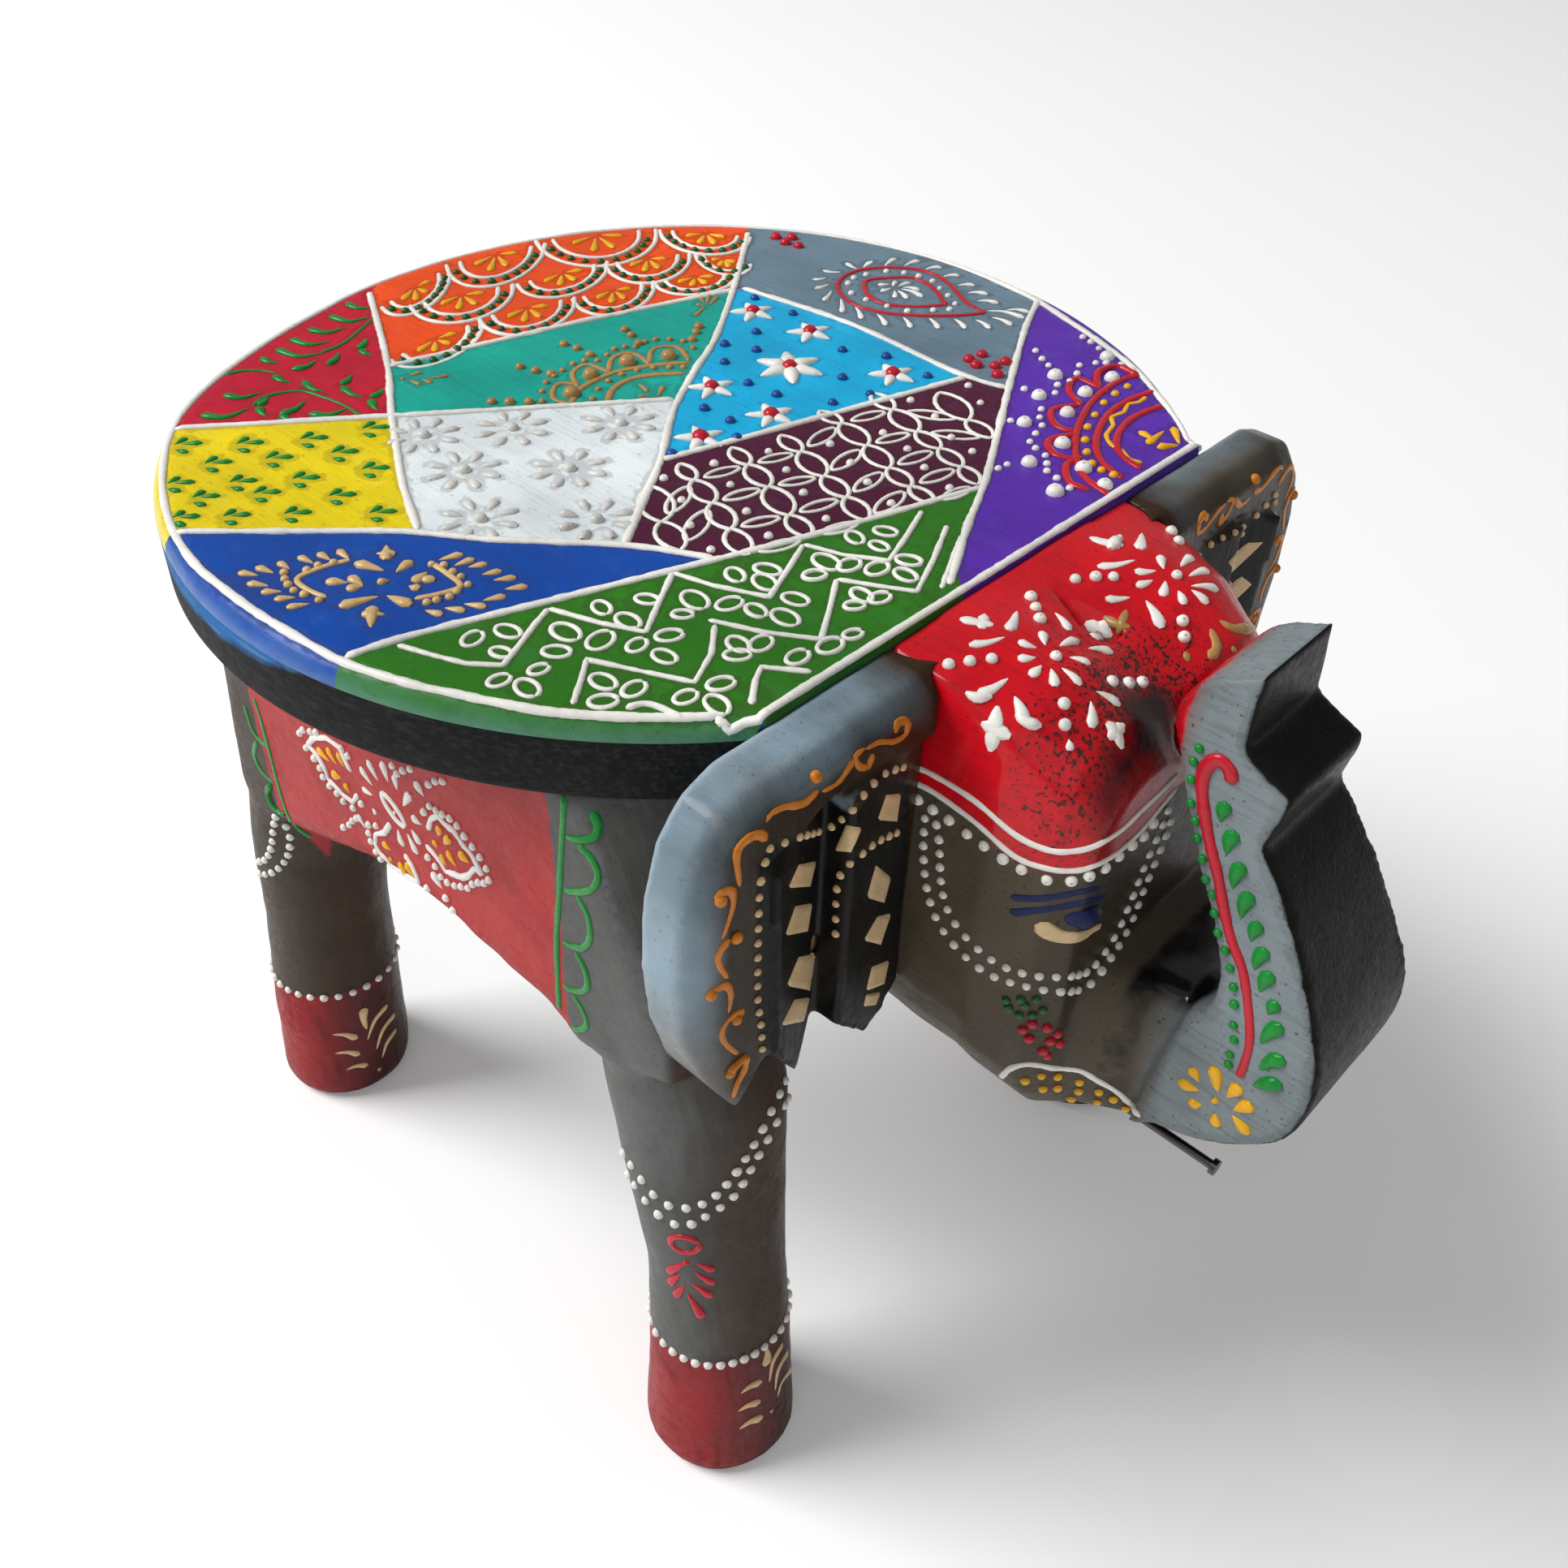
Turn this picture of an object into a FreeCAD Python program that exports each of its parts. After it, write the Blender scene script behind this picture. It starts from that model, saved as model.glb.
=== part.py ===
import FreeCAD, Part
import math
import os

from FreeCAD import Vector

# Carved and painted elephant stool: a round seat board on an elephant's body.
# The body is two thick sawn side planks, each with a front and a rear leg, and a
# belly block between them. The head with its raised trunk is one carved block,
# set against the straight front edge of the seat, with an ear slab on each side.
# Lengths are in millimetres. X runs forward to the trunk, Y to the elephant's
# left, Z up from the floor. While the pieces are made, X is zero at the seat's
# centre; when they are written, it is zero at the middle of the whole length.

# Seat board
stool_height = 254.0
seat_thickness = 20.0
seat_half_length = 127.0
seat_half_width = 133.0
seat_front = 101.5
seat_top_bevel = 2.4
seat_under_bevel = 1.6

# Side planks and their legs
plank_thickness = 42.0
plank_face = 107.0
plank_rear = 74.0
plank_corner_cut = 8.0
shoulder_overhang = 2.0
shoulder_start_share = 0.72
shoulder_foot_share = 0.74
leg_spread = 90.0
front_foot_place = 100.5
rear_foot_place = 89.0
foot_radius = 21.7
foot_bevel = 2.5

# Belly block between the planks
belly_inset = 3.0
belly_height = 160.0

# Head block with its trunk
head_length = 51.5
head_half_width = 44.0
head_top_drop = 0.6
jaw_height = 122.5
trunk_reach = 105.0
trunk_top = 264.5
trunk_thickness = 43.0
trunk_tip_width = 35.0
trunk_taper_start = 184.0
trunk_tip_front_width = 22.0

# Ears
ear_half_width = 114.5
ear_bottom = 156.0
ear_rim_thickness = 15.0
ear_rim_cut = 4.5
ear_fold_rise = 3.6
ear_fold_fall = 4.6
ear_overlap = 8.0

# Square cut nails that hold the seat board down
seat_nail_side = 2.6
seat_nail_length = 44.0
seat_nail_head_side = 6.0
seat_nail_head_thickness = 1.2
seat_nail_inset = 21.0
belly_nail_spread = 34.0

# Nail tusks
tusk_radius = 1.2
tusk_length = 40.0
tusk_reach = 88.0
tusk_head_radius = 2.1
tusk_head_thickness = 1.4
tusk_spread = 13.0
tusk_height_share = 0.06

# Hidden square pegs
plank_peg_side = 9.0
plank_peg_length = 48.0
neck_peg_side = 9.0
neck_peg_length = 50.0
neck_peg_spread = 20.0
ear_peg_side = 7.0
ear_peg_length = 24.0
ear_peg_depth = 10.0

# Clearances
bore_clearance = 0.1
bore_end_clearance = 0.3
cut_overrun = 5.0

# Points that a leg's level outline is drawn through, and the flats round each ring
ring_points = 8
leg_flat_count = 24
head_flat_count = 40

# Heights and places that follow from the sizes above
seat_underside = stool_height - seat_thickness
plank_inner = plank_face - plank_thickness
plank_middle = plank_face - plank_thickness / 2
trunk_front = seat_front + trunk_reach
head_height = stool_height - head_top_drop - jaw_height
length_middle = (trunk_front - seat_half_length) / 2

# Leg stations from the floor up: height as a share of the seat's underside, then
# the move forward of the leg's middle, half its length and half its width as
# shares of the foot's radius.
front_leg_shares = (
    (0.0, 0.0, 1.0, 1.0),
    (0.17, -0.05, 0.90, 0.92),
    (0.35, -0.16, 0.79, 0.88),
    (0.50, -0.41, 0.95, 0.94),
    (0.62, -0.60, 1.14, 0.93),
    (0.71, -0.76, 0.92, 0.86),
)
rear_leg_shares = (
    (0.0, 0.0, 1.0, 1.0),
    (0.17, 0.13, 0.96, 0.97),
    (0.35, 0.33, 0.88, 0.90),
    (0.50, 0.53, 0.87, 0.94),
    (0.62, 0.88, 0.95, 0.93),
    (0.72, 1.20, 0.82, 0.86),
)

# The belly line of a side plank: places along the plank as shares of its length,
# and heights as shares of the seat's underside.
belly_line_shares = (
    (0.0, 0.60),
    (0.11, 0.607),
    (0.32, 0.664),
    (0.52, 0.694),
    (0.68, 0.681),
    (0.80, 0.662),
    (0.815, 0.650),
)
# Where the plank's rear edge meets the leg, in shares alike.
rump_shares = (-0.066, 0.64)

# Level-by-level outlines of the skull: the station's place as a share of the
# head's length, then points from the crown's middle down to the jaw's middle,
# as shares of the head's half width and of its height.
skull_shares = (
    (0.0, ((0.0, 1.0), (0.50, 1.0), (0.91, 0.995), (0.995, 0.945), (1.0, 0.64), (0.99, 0.36),
           (0.86, 0.19), (0.50, 0.09), (0.0, 0.06))),
    (0.30, ((0.0, 0.982), (0.50, 1.005), (0.90, 0.985), (0.99, 0.925), (1.005, 0.62), (1.0, 0.35),
            (0.85, 0.17), (0.46, 0.06), (0.0, 0.03))),
    (0.62, ((0.0, 0.945), (0.49, 0.985), (0.87, 0.95), (0.975, 0.865), (0.995, 0.60), (0.98, 0.34),
            (0.82, 0.16), (0.45, 0.04), (0.0, 0.005))),
    (0.87, ((0.0, 0.885), (0.45, 0.93), (0.79, 0.89), (0.905, 0.80), (0.93, 0.58), (0.90, 0.33),
            (0.75, 0.16), (0.40, 0.035), (0.0, 0.0))),
    (1.0, ((0.0, 0.81), (0.38, 0.855), (0.68, 0.82), (0.79, 0.735), (0.81, 0.55), (0.78, 0.34),
           (0.65, 0.18), (0.35, 0.06), (0.0, 0.03))),
)
# The muzzle that runs from the skull into the foot of the trunk, in shares alike.
muzzle_shares = (
    (0.70, ((0.0, 0.47), (0.45, 0.465), (0.78, 0.43), (0.86, 0.33), (0.76, 0.18), (0.40, 0.04),
            (0.0, 0.01))),
    (1.0, ((0.0, 0.455), (0.38, 0.45), (0.62, 0.42), (0.69, 0.32), (0.61, 0.17), (0.33, 0.065),
           (0.0, 0.04))),
    (1.27, ((0.0, 0.435), (0.24, 0.435), (0.405, 0.41), (0.46, 0.30), (0.41, 0.17), (0.24, 0.09),
            (0.0, 0.08))),
    (1.50, ((0.0, 0.43), (0.20, 0.43), (0.33, 0.40), (0.365, 0.29), (0.33, 0.17), (0.20, 0.12),
            (0.0, 0.115))),
)
# The trunk's side outline: shares of its reach in front of the seat's straight
# edge, and of its height above the jaw.
trunk_front_shares = (
    (0.645, 0.12), (0.77, 0.145), (0.915, 0.215), (0.98, 0.28), (1.0, 0.345),
    (0.995, 0.43), (0.95, 0.515), (0.887, 0.60), (0.812, 0.684), (0.737, 0.749),
)
trunk_fork_shares = ((0.76, 0.842), (0.645, 0.88), (0.638, 1.0))
trunk_rear_shares = (
    (0.571, 0.975), (0.508, 0.935), (0.491, 0.898), (0.516, 0.839), (0.573, 0.751),
    (0.655, 0.639), (0.735, 0.521), (0.745, 0.455), (0.70, 0.41),
)

# The groove between the skull's two lobes, as shares of the head's length and
# height, and its half width and depth as shares of the head's half width.
groove_line_shares = ((0.18, 1.015), (1.04, 0.80))
groove_half_width_share = 0.13
groove_depth_share = 0.075

# The ear's outline from the head out along the top and back along the scalloped
# foot: shares of the ear's width outside the head and of its height.
ear_top_shares = ((0.0, 0.985), (0.72, 0.985))
ear_side_shares = (
    (0.72, 0.985), (0.84, 0.955), (0.93, 0.875), (0.985, 0.74), (1.0, 0.57),
    (0.98, 0.41), (0.925, 0.26), (0.81, 0.11),
)
ear_foot_shares = ((0.68, 0.22), (0.51, 0.03), (0.40, 0.19), (0.21, 0.0), (0.0, 0.05))
# The two raised folds on the ear's face, in shares alike.
outer_fold_shares = ((0.72, 0.80), (0.70, 0.25), (0.51, 0.04), (0.415, 0.18), (0.42, 0.86))
inner_fold_shares = ((0.42, 0.86), (0.415, 0.18), (0.21, 0.01), (0.0, 0.06), (0.0, 0.83))


def save(shape, name):
    """Moves a piece into the part's frame and writes it as its own file."""
    placed = shape.copy()
    placed.translate(Vector(-length_middle, 0, 0))
    placed.exportStep(os.path.join("parts", name + ".step"))
    print(name, "solids", len(placed.Solids), "volume", round(placed.Volume))


def mirrored(shape):
    """The same piece on the elephant's other side."""
    return shape.mirror(Vector(0, 0, 0), Vector(0, 1, 0))


def side_point(place, height):
    """A point of a side outline, drawn in the plane through the middle."""
    return Vector(place, 0, height)


def open_spline(points):
    """One smooth edge through the points."""
    curve = Part.BSplineCurve()
    curve.interpolate(points)
    return curve.toShape()


def carved_ring(points, flat_count):
    """A closed ring of narrow flats, as a rasp leaves them, along the smooth curve through the points."""
    curve = Part.BSplineCurve()
    curve.interpolate(Points=points, PeriodicFlag=True, Parameters=list(range(len(points) + 1)))
    share = len(points) / flat_count
    corners = [curve.value(step * share) for step in range(flat_count)]
    return Part.makePolygon(corners + corners[:1])


def straight(points):
    """Straight edges from point to point."""
    return [Part.makeLine(a, b) for a, b in zip(points, points[1:])]


def slab(edges, low, high):
    """A solid cut from a plank to a side outline, between two places across."""
    face = Part.Face(Part.Wire(Part.__sortEdges__(edges)))
    face.translate(Vector(0, low, 0))
    return face.extrude(Vector(0, high - low, 0))


def level_oval(middle, along, across):
    """A level oval round a middle point, with its two half lengths."""
    half_long, half_short = max(along, across), min(along, across)
    if along >= across:
        ends = (middle + Vector(half_long, 0, 0), middle + Vector(0, half_short, 0))
    else:
        ends = (middle + Vector(0, half_long, 0), middle - Vector(half_short, 0, 0))
    return Part.Wire([Part.Ellipse(ends[0], ends[1], middle).toShape()])


def leg_ring(foot_place, station, top_share, inset=0.0):
    """One level outline of a leg, at the height and place that its shares give."""
    height_share, move_share, length_share, width_share = station
    across = leg_spread + (plank_middle - leg_spread) * height_share / top_share
    middle = Vector(foot_place + move_share * foot_radius, -across, height_share * seat_underside)
    along = length_share * foot_radius - inset
    side = width_share * foot_radius - inset
    points = []
    for step in range(ring_points):
        angle = 2 * math.pi * step / ring_points
        points.append(middle + Vector(along * math.cos(angle), side * math.sin(angle), 0))
    return carved_ring(points, leg_flat_count)


def leg(foot_place, stations):
    """One leg of the right side plank, lofted through its stations, with a bevelled sole."""
    top_share = stations[-1][0]
    rings = [leg_ring(foot_place, station, top_share) for station in stations]
    rings[0].translate(Vector(0, 0, foot_bevel))
    sole = leg_ring(foot_place, stations[0], top_share, foot_bevel)
    return Part.makeLoft([sole] + rings, True, True)


def plank_panel():
    """The right side plank above the legs, sawn to the belly line."""
    length = seat_front + plank_rear

    def at(along_share, height_share):
        return side_point(along_share * length - plank_rear, height_share * seat_underside)

    belly = [at(*shares) for shares in belly_line_shares]
    rump = at(*rump_shares)
    chest = at(1.0, 0.70)
    top_rear = at(0.0, 1.0)
    top_front = at(1.0, 1.0)
    edges = straight([top_front, top_rear, rump, belly[0]])
    edges.append(open_spline(belly))
    edges += straight([belly[-1], chest, top_front])
    panel = slab(edges, -plank_face, -plank_inner)
    corners = [
        edge for edge in panel.Edges
        if edge.BoundBox.YMax < -plank_face + cut_overrun
        and edge.BoundBox.XMax < top_rear.x + cut_overrun
        and edge.BoundBox.ZLength > seat_thickness
    ]
    return panel.makeChamfer(plank_corner_cut, corners)


def shoulder_waste():
    """The slanting corner rasped off a plank, so that it stays under the seat's edge."""
    tucked = seat_half_width * math.sqrt(1 - (seat_front / seat_half_length) ** 2) - shoulder_overhang
    start = shoulder_start_share * seat_front
    top = [
        Vector(start, -plank_face, seat_underside),
        Vector(seat_front, -tucked, seat_underside),
        Vector(seat_front, -plank_face, seat_underside),
    ]
    foot = Vector(seat_front, -plank_face, shoulder_foot_share * seat_underside)
    sides = [[top[0], top[1], foot], [top[1], top[2], foot], [top[2], top[0], foot], top]
    faces = [Part.Face(Part.makePolygon(side + side[:1])) for side in sides]
    return Part.makeSolid(Part.makeShell(faces))


def side_plank():
    """The right side plank with both its legs, before its bores."""
    panel = plank_panel().cut(shoulder_waste())
    front = leg(front_foot_place, front_leg_shares)
    rear = leg(-rear_foot_place, rear_leg_shares)
    return panel.fuse([front, rear]).removeSplitter()


def belly_block():
    """The sawn block between the side planks."""
    rear = -plank_rear + belly_inset
    size = (seat_front - rear, 2 * plank_inner, seat_underside - belly_height)
    return Part.makeBox(*size, Vector(rear, -plank_inner, belly_height))


def seat_board():
    """The round board with both edges bevelled and its front sawn straight."""
    levels = (
        (seat_under_bevel, seat_underside),
        (0, seat_underside + seat_under_bevel),
        (0, stool_height - seat_top_bevel),
        (seat_top_bevel, stool_height),
    )
    rings = []
    for inset, height in levels:
        rings.append(level_oval(Vector(0, 0, height), seat_half_length - inset, seat_half_width - inset))
    board = Part.makeLoft(rings, True, True)
    waste = Part.makeBox(
        seat_half_length,
        2 * seat_half_width + 2 * cut_overrun,
        seat_thickness + 2 * cut_overrun,
        Vector(seat_front, -seat_half_width - cut_overrun, seat_underside - cut_overrun),
    )
    board = board.cut(waste)
    front = [
        edge for edge in board.Edges
        if edge.BoundBox.ZMin > stool_height - cut_overrun / 10 and edge.BoundBox.XMin > seat_front - cut_overrun / 10
    ]
    return board.makeChamfer(seat_top_bevel, front)


def head_ring(place_share, half_outline):
    """A closed station of the head, mirrored from its right half."""
    place = seat_front + place_share * head_length
    right = []
    for across_share, height_share in half_outline:
        height = jaw_height + height_share * head_height
        right.append(Vector(place, -across_share * head_half_width, height))
    left = [Vector(point.x, -point.y, point.z) for point in reversed(right[1:-1])]
    below = len(right) - 3
    return carved_ring(right[below:] + left + right[:below], head_flat_count)


def skull():
    """The domed skull with its cheeks and jaw."""
    return Part.makeLoft([head_ring(place, outline) for place, outline in skull_shares], True, True)


def muzzle():
    """The muzzle that narrows from the cheeks to the foot of the trunk."""
    return Part.makeLoft([head_ring(place, outline) for place, outline in muzzle_shares], True, True)


def crown_groove():
    """The wedge that parts the skull's two lobes."""
    ends = []
    for place_share, height_share in groove_line_shares:
        ends.append(Vector(seat_front + place_share * head_length, 0, jaw_height + height_share * head_height))
    half = Vector(0, groove_half_width_share * head_half_width, 0)
    depth = Vector(0, 0, groove_depth_share * head_half_width)
    start, end = ends
    corners = [start - depth, start + depth + half, start + depth - half, start - depth]
    return Part.Face(Part.makePolygon(corners)).extrude(end - start)


def trunk():
    """The raised trunk with its forked tip, a slab whose top narrows."""
    height = trunk_top - jaw_height

    def at(reach_share, height_share):
        return side_point(seat_front + reach_share * trunk_reach, jaw_height + height_share * height)

    front = [at(*shares) for shares in trunk_front_shares]
    fork = [at(*shares) for shares in trunk_fork_shares]
    rear = [at(*shares) for shares in trunk_rear_shares]
    edges = [open_spline(front)]
    edges += straight([front[-1]] + fork)
    edges.append(open_spline([fork[-1]] + rear))
    edges += straight([rear[-1], front[0]])
    body = slab(edges, -trunk_thickness / 2, trunk_thickness / 2)
    return body.cut(trunk_tip_waste())


def trunk_tip_waste():
    """The wedges sawn off both sides, so that the trunk narrows to its tip and front."""
    over = trunk_thickness / 2 + cut_overrun
    sections = []
    for place, width in ((seat_front, trunk_tip_width), (trunk_front, trunk_tip_front_width)):
        points = [
            Vector(place, trunk_thickness / 2, trunk_taper_start),
            Vector(place, width / 2, trunk_top + cut_overrun),
            Vector(place, over, trunk_top + cut_overrun),
            Vector(place, over, trunk_taper_start),
        ]
        sections.append(Part.makePolygon(points + points[:1]))
    wedge = Part.makeLoft(sections, True, True)
    return [wedge, mirrored(wedge)]


def head_block():
    """Skull, muzzle and trunk in one block, before its bores."""
    return skull().fuse([muzzle(), trunk()]).removeSplitter().cut(crown_groove())


def ear_point(across_share, height_share, place):
    """A point of the right ear's face outline."""
    width = ear_half_width - head_half_width
    height = stool_height - ear_bottom
    return Vector(place, -head_half_width - across_share * width, ear_bottom + height_share * height)


def ear_rim():
    """The ear's slab with its long straight top and its scalloped foot."""
    top = [ear_point(across, height, seat_front) for across, height in ear_top_shares]
    side = [ear_point(across, height, seat_front) for across, height in ear_side_shares]
    foot = [ear_point(across, height, seat_front) for across, height in ear_foot_shares]
    inner_top = top[0] + Vector(0, ear_overlap, 0)
    inner_foot = foot[-1] + Vector(0, ear_overlap, 0)
    edges = straight([inner_foot, inner_top, top[0]])
    edges += straight(top)
    edges += straight(side + foot + [inner_foot])
    face = Part.Face(Part.Wire(Part.__sortEdges__(edges)))
    body = face.extrude(Vector(ear_rim_thickness, 0, 0))
    front = seat_front + ear_rim_thickness
    middle = (stool_height + ear_bottom) / 2
    rim_edges = [
        edge for edge in body.Edges
        if edge.BoundBox.XMin > front - ear_rim_cut
        and edge.BoundBox.ZMax > middle
        and edge.BoundBox.YMin < top[0].y - ear_overlap
    ]
    return body.makeChamfer(ear_rim_cut, rim_edges)


def ear_fold(shares):
    """A carved fold: it stands out at its outer edge and falls towards the head."""
    front = seat_front + ear_rim_thickness
    points = [ear_point(across, height, front) for across, height in shares]
    if shares[-1][0] == 0:
        points = [point if point.y < -head_half_width else point + Vector(0, ear_overlap, 0) for point in points]
    outer = min(point.y for point in points)
    inner = max(point.y for point in points)
    face = Part.Face(Part.makePolygon(points + points[:1]))
    face.translate(Vector(-ear_fold_fall - cut_overrun, 0, 0))
    block = face.extrude(Vector(ear_fold_fall + cut_overrun + ear_fold_rise, 0, 0))
    fall = [
        Vector(front + ear_fold_rise, outer, ear_bottom - cut_overrun),
        Vector(front - ear_fold_fall, inner, ear_bottom - cut_overrun),
        Vector(front + ear_fold_rise + cut_overrun, inner, ear_bottom - cut_overrun),
        Vector(front + ear_fold_rise + cut_overrun, outer, ear_bottom - cut_overrun),
    ]
    height = stool_height - ear_bottom + 2 * cut_overrun
    waste = Part.Face(Part.makePolygon(fall + fall[:1])).extrude(Vector(0, 0, height))
    hollow = face.extrude(Vector(ear_fold_fall + 2 * cut_overrun + ear_fold_rise, 0, 0))
    return block.cut(waste), hollow


def ear():
    """The right ear: the rim slab with its two folds, before its bores."""
    body = ear_rim()
    for shares in (outer_fold_shares, inner_fold_shares):
        fold, hollow = ear_fold(shares)
        body = body.cut(hollow).fuse(fold)
    return body.removeSplitter()


def peg(side, length, start, direction, room=0.0, end_room=0.0):
    """A level square peg from a point, along X or along Y, or the hole that it needs."""
    across = (Vector(1, 1, 1) - direction) * (side + 2 * room)
    size = across + direction * (length + 2 * end_room)
    corner = start - across / 2 - direction * end_room
    return Part.makeBox(size.x, size.y, size.z, corner)


def mortise(side, length, start, direction):
    """The hole for a peg, with its clearances at the sides and at both ends."""
    return peg(side, length, start, direction, bore_clearance, bore_end_clearance)


def seat_nail_places():
    """Nails in a row above each side plank, and two pairs above the belly block."""
    front = seat_front - seat_nail_inset
    rear = -plank_rear + seat_nail_inset
    middle = (front + rear) / 2
    places = []
    for side in (-1, 1):
        for place in (rear, middle, front):
            places.append((place, side * plank_middle))
        for place in (rear, front):
            places.append((place, side * belly_nail_spread))
    return places


def square_bar(side, length, top):
    """An upright square bar that hangs down from a point."""
    corner = top - Vector(side / 2, side / 2, length)
    return Part.makeBox(side, side, length, corner)


def seat_nail(place, across, room=0.0):
    """One cut nail with its head level with the seat's top, or with room round it."""
    top = Vector(place, across, stool_height)
    head = square_bar(seat_nail_head_side + 2 * room, seat_nail_head_thickness, top)
    return head.fuse(square_bar(seat_nail_side + 2 * room, seat_nail_length + room, top))


def tusk_nail(side, room=0.0):
    """A long nail for a tusk, its head standing out in front of the jaw."""
    forward = Vector(1, 0, 0)
    height = jaw_height + tusk_height_share * head_height
    start = Vector(seat_front + tusk_reach - tusk_length - room, side * tusk_spread, height)
    shank = Part.makeCylinder(tusk_radius + room, tusk_length + room, start, forward)
    head_start = start + forward * (tusk_length + room)
    head = Part.makeCylinder(tusk_head_radius + room, tusk_head_thickness, head_start, forward)
    return shank.fuse(head)


def plank_pegs():
    """Where pegs join each side plank to the belly block, and their direction."""
    height = (seat_underside + belly_height) / 2
    front = seat_front - seat_nail_inset * 2
    rear = -plank_rear + seat_nail_inset * 2
    starts = []
    for side in (-1, 1):
        for place in (rear, front):
            starts.append(Vector(place, side * plank_inner - plank_peg_length / 2, height))
    return starts, Vector(0, 1, 0)


def neck_pegs():
    """Where pegs join the head to the belly block, and their direction."""
    height = (seat_underside + belly_height) / 2
    start = seat_front - neck_peg_length / 2
    return [Vector(start, side * neck_peg_spread, height) for side in (-1, 1)], Vector(1, 0, 0)


def ear_pegs():
    """Where a peg joins each ear to the front of its plank, and its direction."""
    start = seat_front + ear_peg_depth - ear_peg_length
    across = plank_inner + ear_peg_depth
    height = (ear_bottom + seat_underside) / 2
    return [Vector(start, side * across, height) for side in (-1, 1)], Vector(1, 0, 0)


def main():
    os.makedirs("parts", exist_ok=True)

    plank_starts, across = plank_pegs()
    neck_starts, forward = neck_pegs()
    ear_starts, forward = ear_pegs()
    plank_holes = [mortise(plank_peg_side, plank_peg_length, start, across) for start in plank_starts]
    neck_holes = [mortise(neck_peg_side, neck_peg_length, start, forward) for start in neck_starts]
    ear_holes = [mortise(ear_peg_side, ear_peg_length, start, forward) for start in ear_starts]
    nail_holes = [seat_nail(place, side, bore_clearance) for place, side in seat_nail_places()]
    tusk_holes = [tusk_nail(side, bore_clearance) for side in (-1, 1)]

    head = head_block()
    right_ear = ear().cut(head)
    right_plank = side_plank().cut(right_ear)
    left_ear = mirrored(right_ear)
    left_plank = mirrored(right_plank)

    save(seat_board().cut(nail_holes), "seat_board")
    save(right_plank.cut(plank_holes + ear_holes + nail_holes), "side_plank_right")
    save(left_plank.cut(plank_holes + ear_holes + nail_holes), "side_plank_left")
    save(belly_block().cut(plank_holes + neck_holes + nail_holes), "belly_block")
    save(head.cut(neck_holes + tusk_holes), "head_block")
    save(right_ear.cut(ear_holes), "ear_right")
    save(left_ear.cut(ear_holes), "ear_left")
    nails = [seat_nail(place, side) for place, side in seat_nail_places()]
    save(Part.makeCompound(nails), "seat_nails")
    pegs = [peg(plank_peg_side, plank_peg_length, start, across) for start in plank_starts]
    save(Part.makeCompound(pegs), "plank_pegs")
    pegs = [peg(neck_peg_side, neck_peg_length, start, forward) for start in neck_starts]
    save(Part.makeCompound(pegs), "neck_pegs")
    pegs = [peg(ear_peg_side, ear_peg_length, start, forward) for start in ear_starts]
    save(Part.makeCompound(pegs), "ear_pegs")
    save(Part.makeCompound([tusk_nail(side) for side in (-1, 1)]), "tusk_nails")


main()
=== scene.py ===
import logging
import math
from dataclasses import dataclass, field
from enum import Enum
from typing import Callable, ClassVar, Sequence

import bpy
import numpy as np
from mathutils import Matrix, Vector, geometry, noise
from mathutils.bvhtree import BVHTree
from mathutils.kdtree import KDTree


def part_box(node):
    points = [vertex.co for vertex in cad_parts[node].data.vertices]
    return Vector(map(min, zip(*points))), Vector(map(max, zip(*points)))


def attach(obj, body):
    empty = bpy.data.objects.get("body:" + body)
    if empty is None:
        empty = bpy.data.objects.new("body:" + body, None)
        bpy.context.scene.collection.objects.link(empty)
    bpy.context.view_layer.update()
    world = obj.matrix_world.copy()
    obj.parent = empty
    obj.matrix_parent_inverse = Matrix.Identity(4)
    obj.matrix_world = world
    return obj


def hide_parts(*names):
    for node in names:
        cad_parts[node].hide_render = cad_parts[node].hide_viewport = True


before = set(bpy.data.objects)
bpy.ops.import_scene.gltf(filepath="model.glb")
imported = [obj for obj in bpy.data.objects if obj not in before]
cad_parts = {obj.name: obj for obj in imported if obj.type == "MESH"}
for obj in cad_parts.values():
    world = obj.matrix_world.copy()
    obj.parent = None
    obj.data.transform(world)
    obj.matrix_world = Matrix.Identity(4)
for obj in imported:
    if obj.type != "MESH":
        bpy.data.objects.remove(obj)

# The looks of the carved elephant stool: the carved pieces softened and painted
# in zones, the seat's painted patches, and the raised lines and dots on them.
# Lengths are in metres, apart from those in photo pixels and those said to be
# in millimetres.

LOG = logging.getLogger("stool")
MM = 0.001
MERGE = 0.02 * MM
HAIR = 0.1 * MM
Rgb = tuple[float, float, float]
Pixel = tuple[float, float]


# Camera


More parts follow.
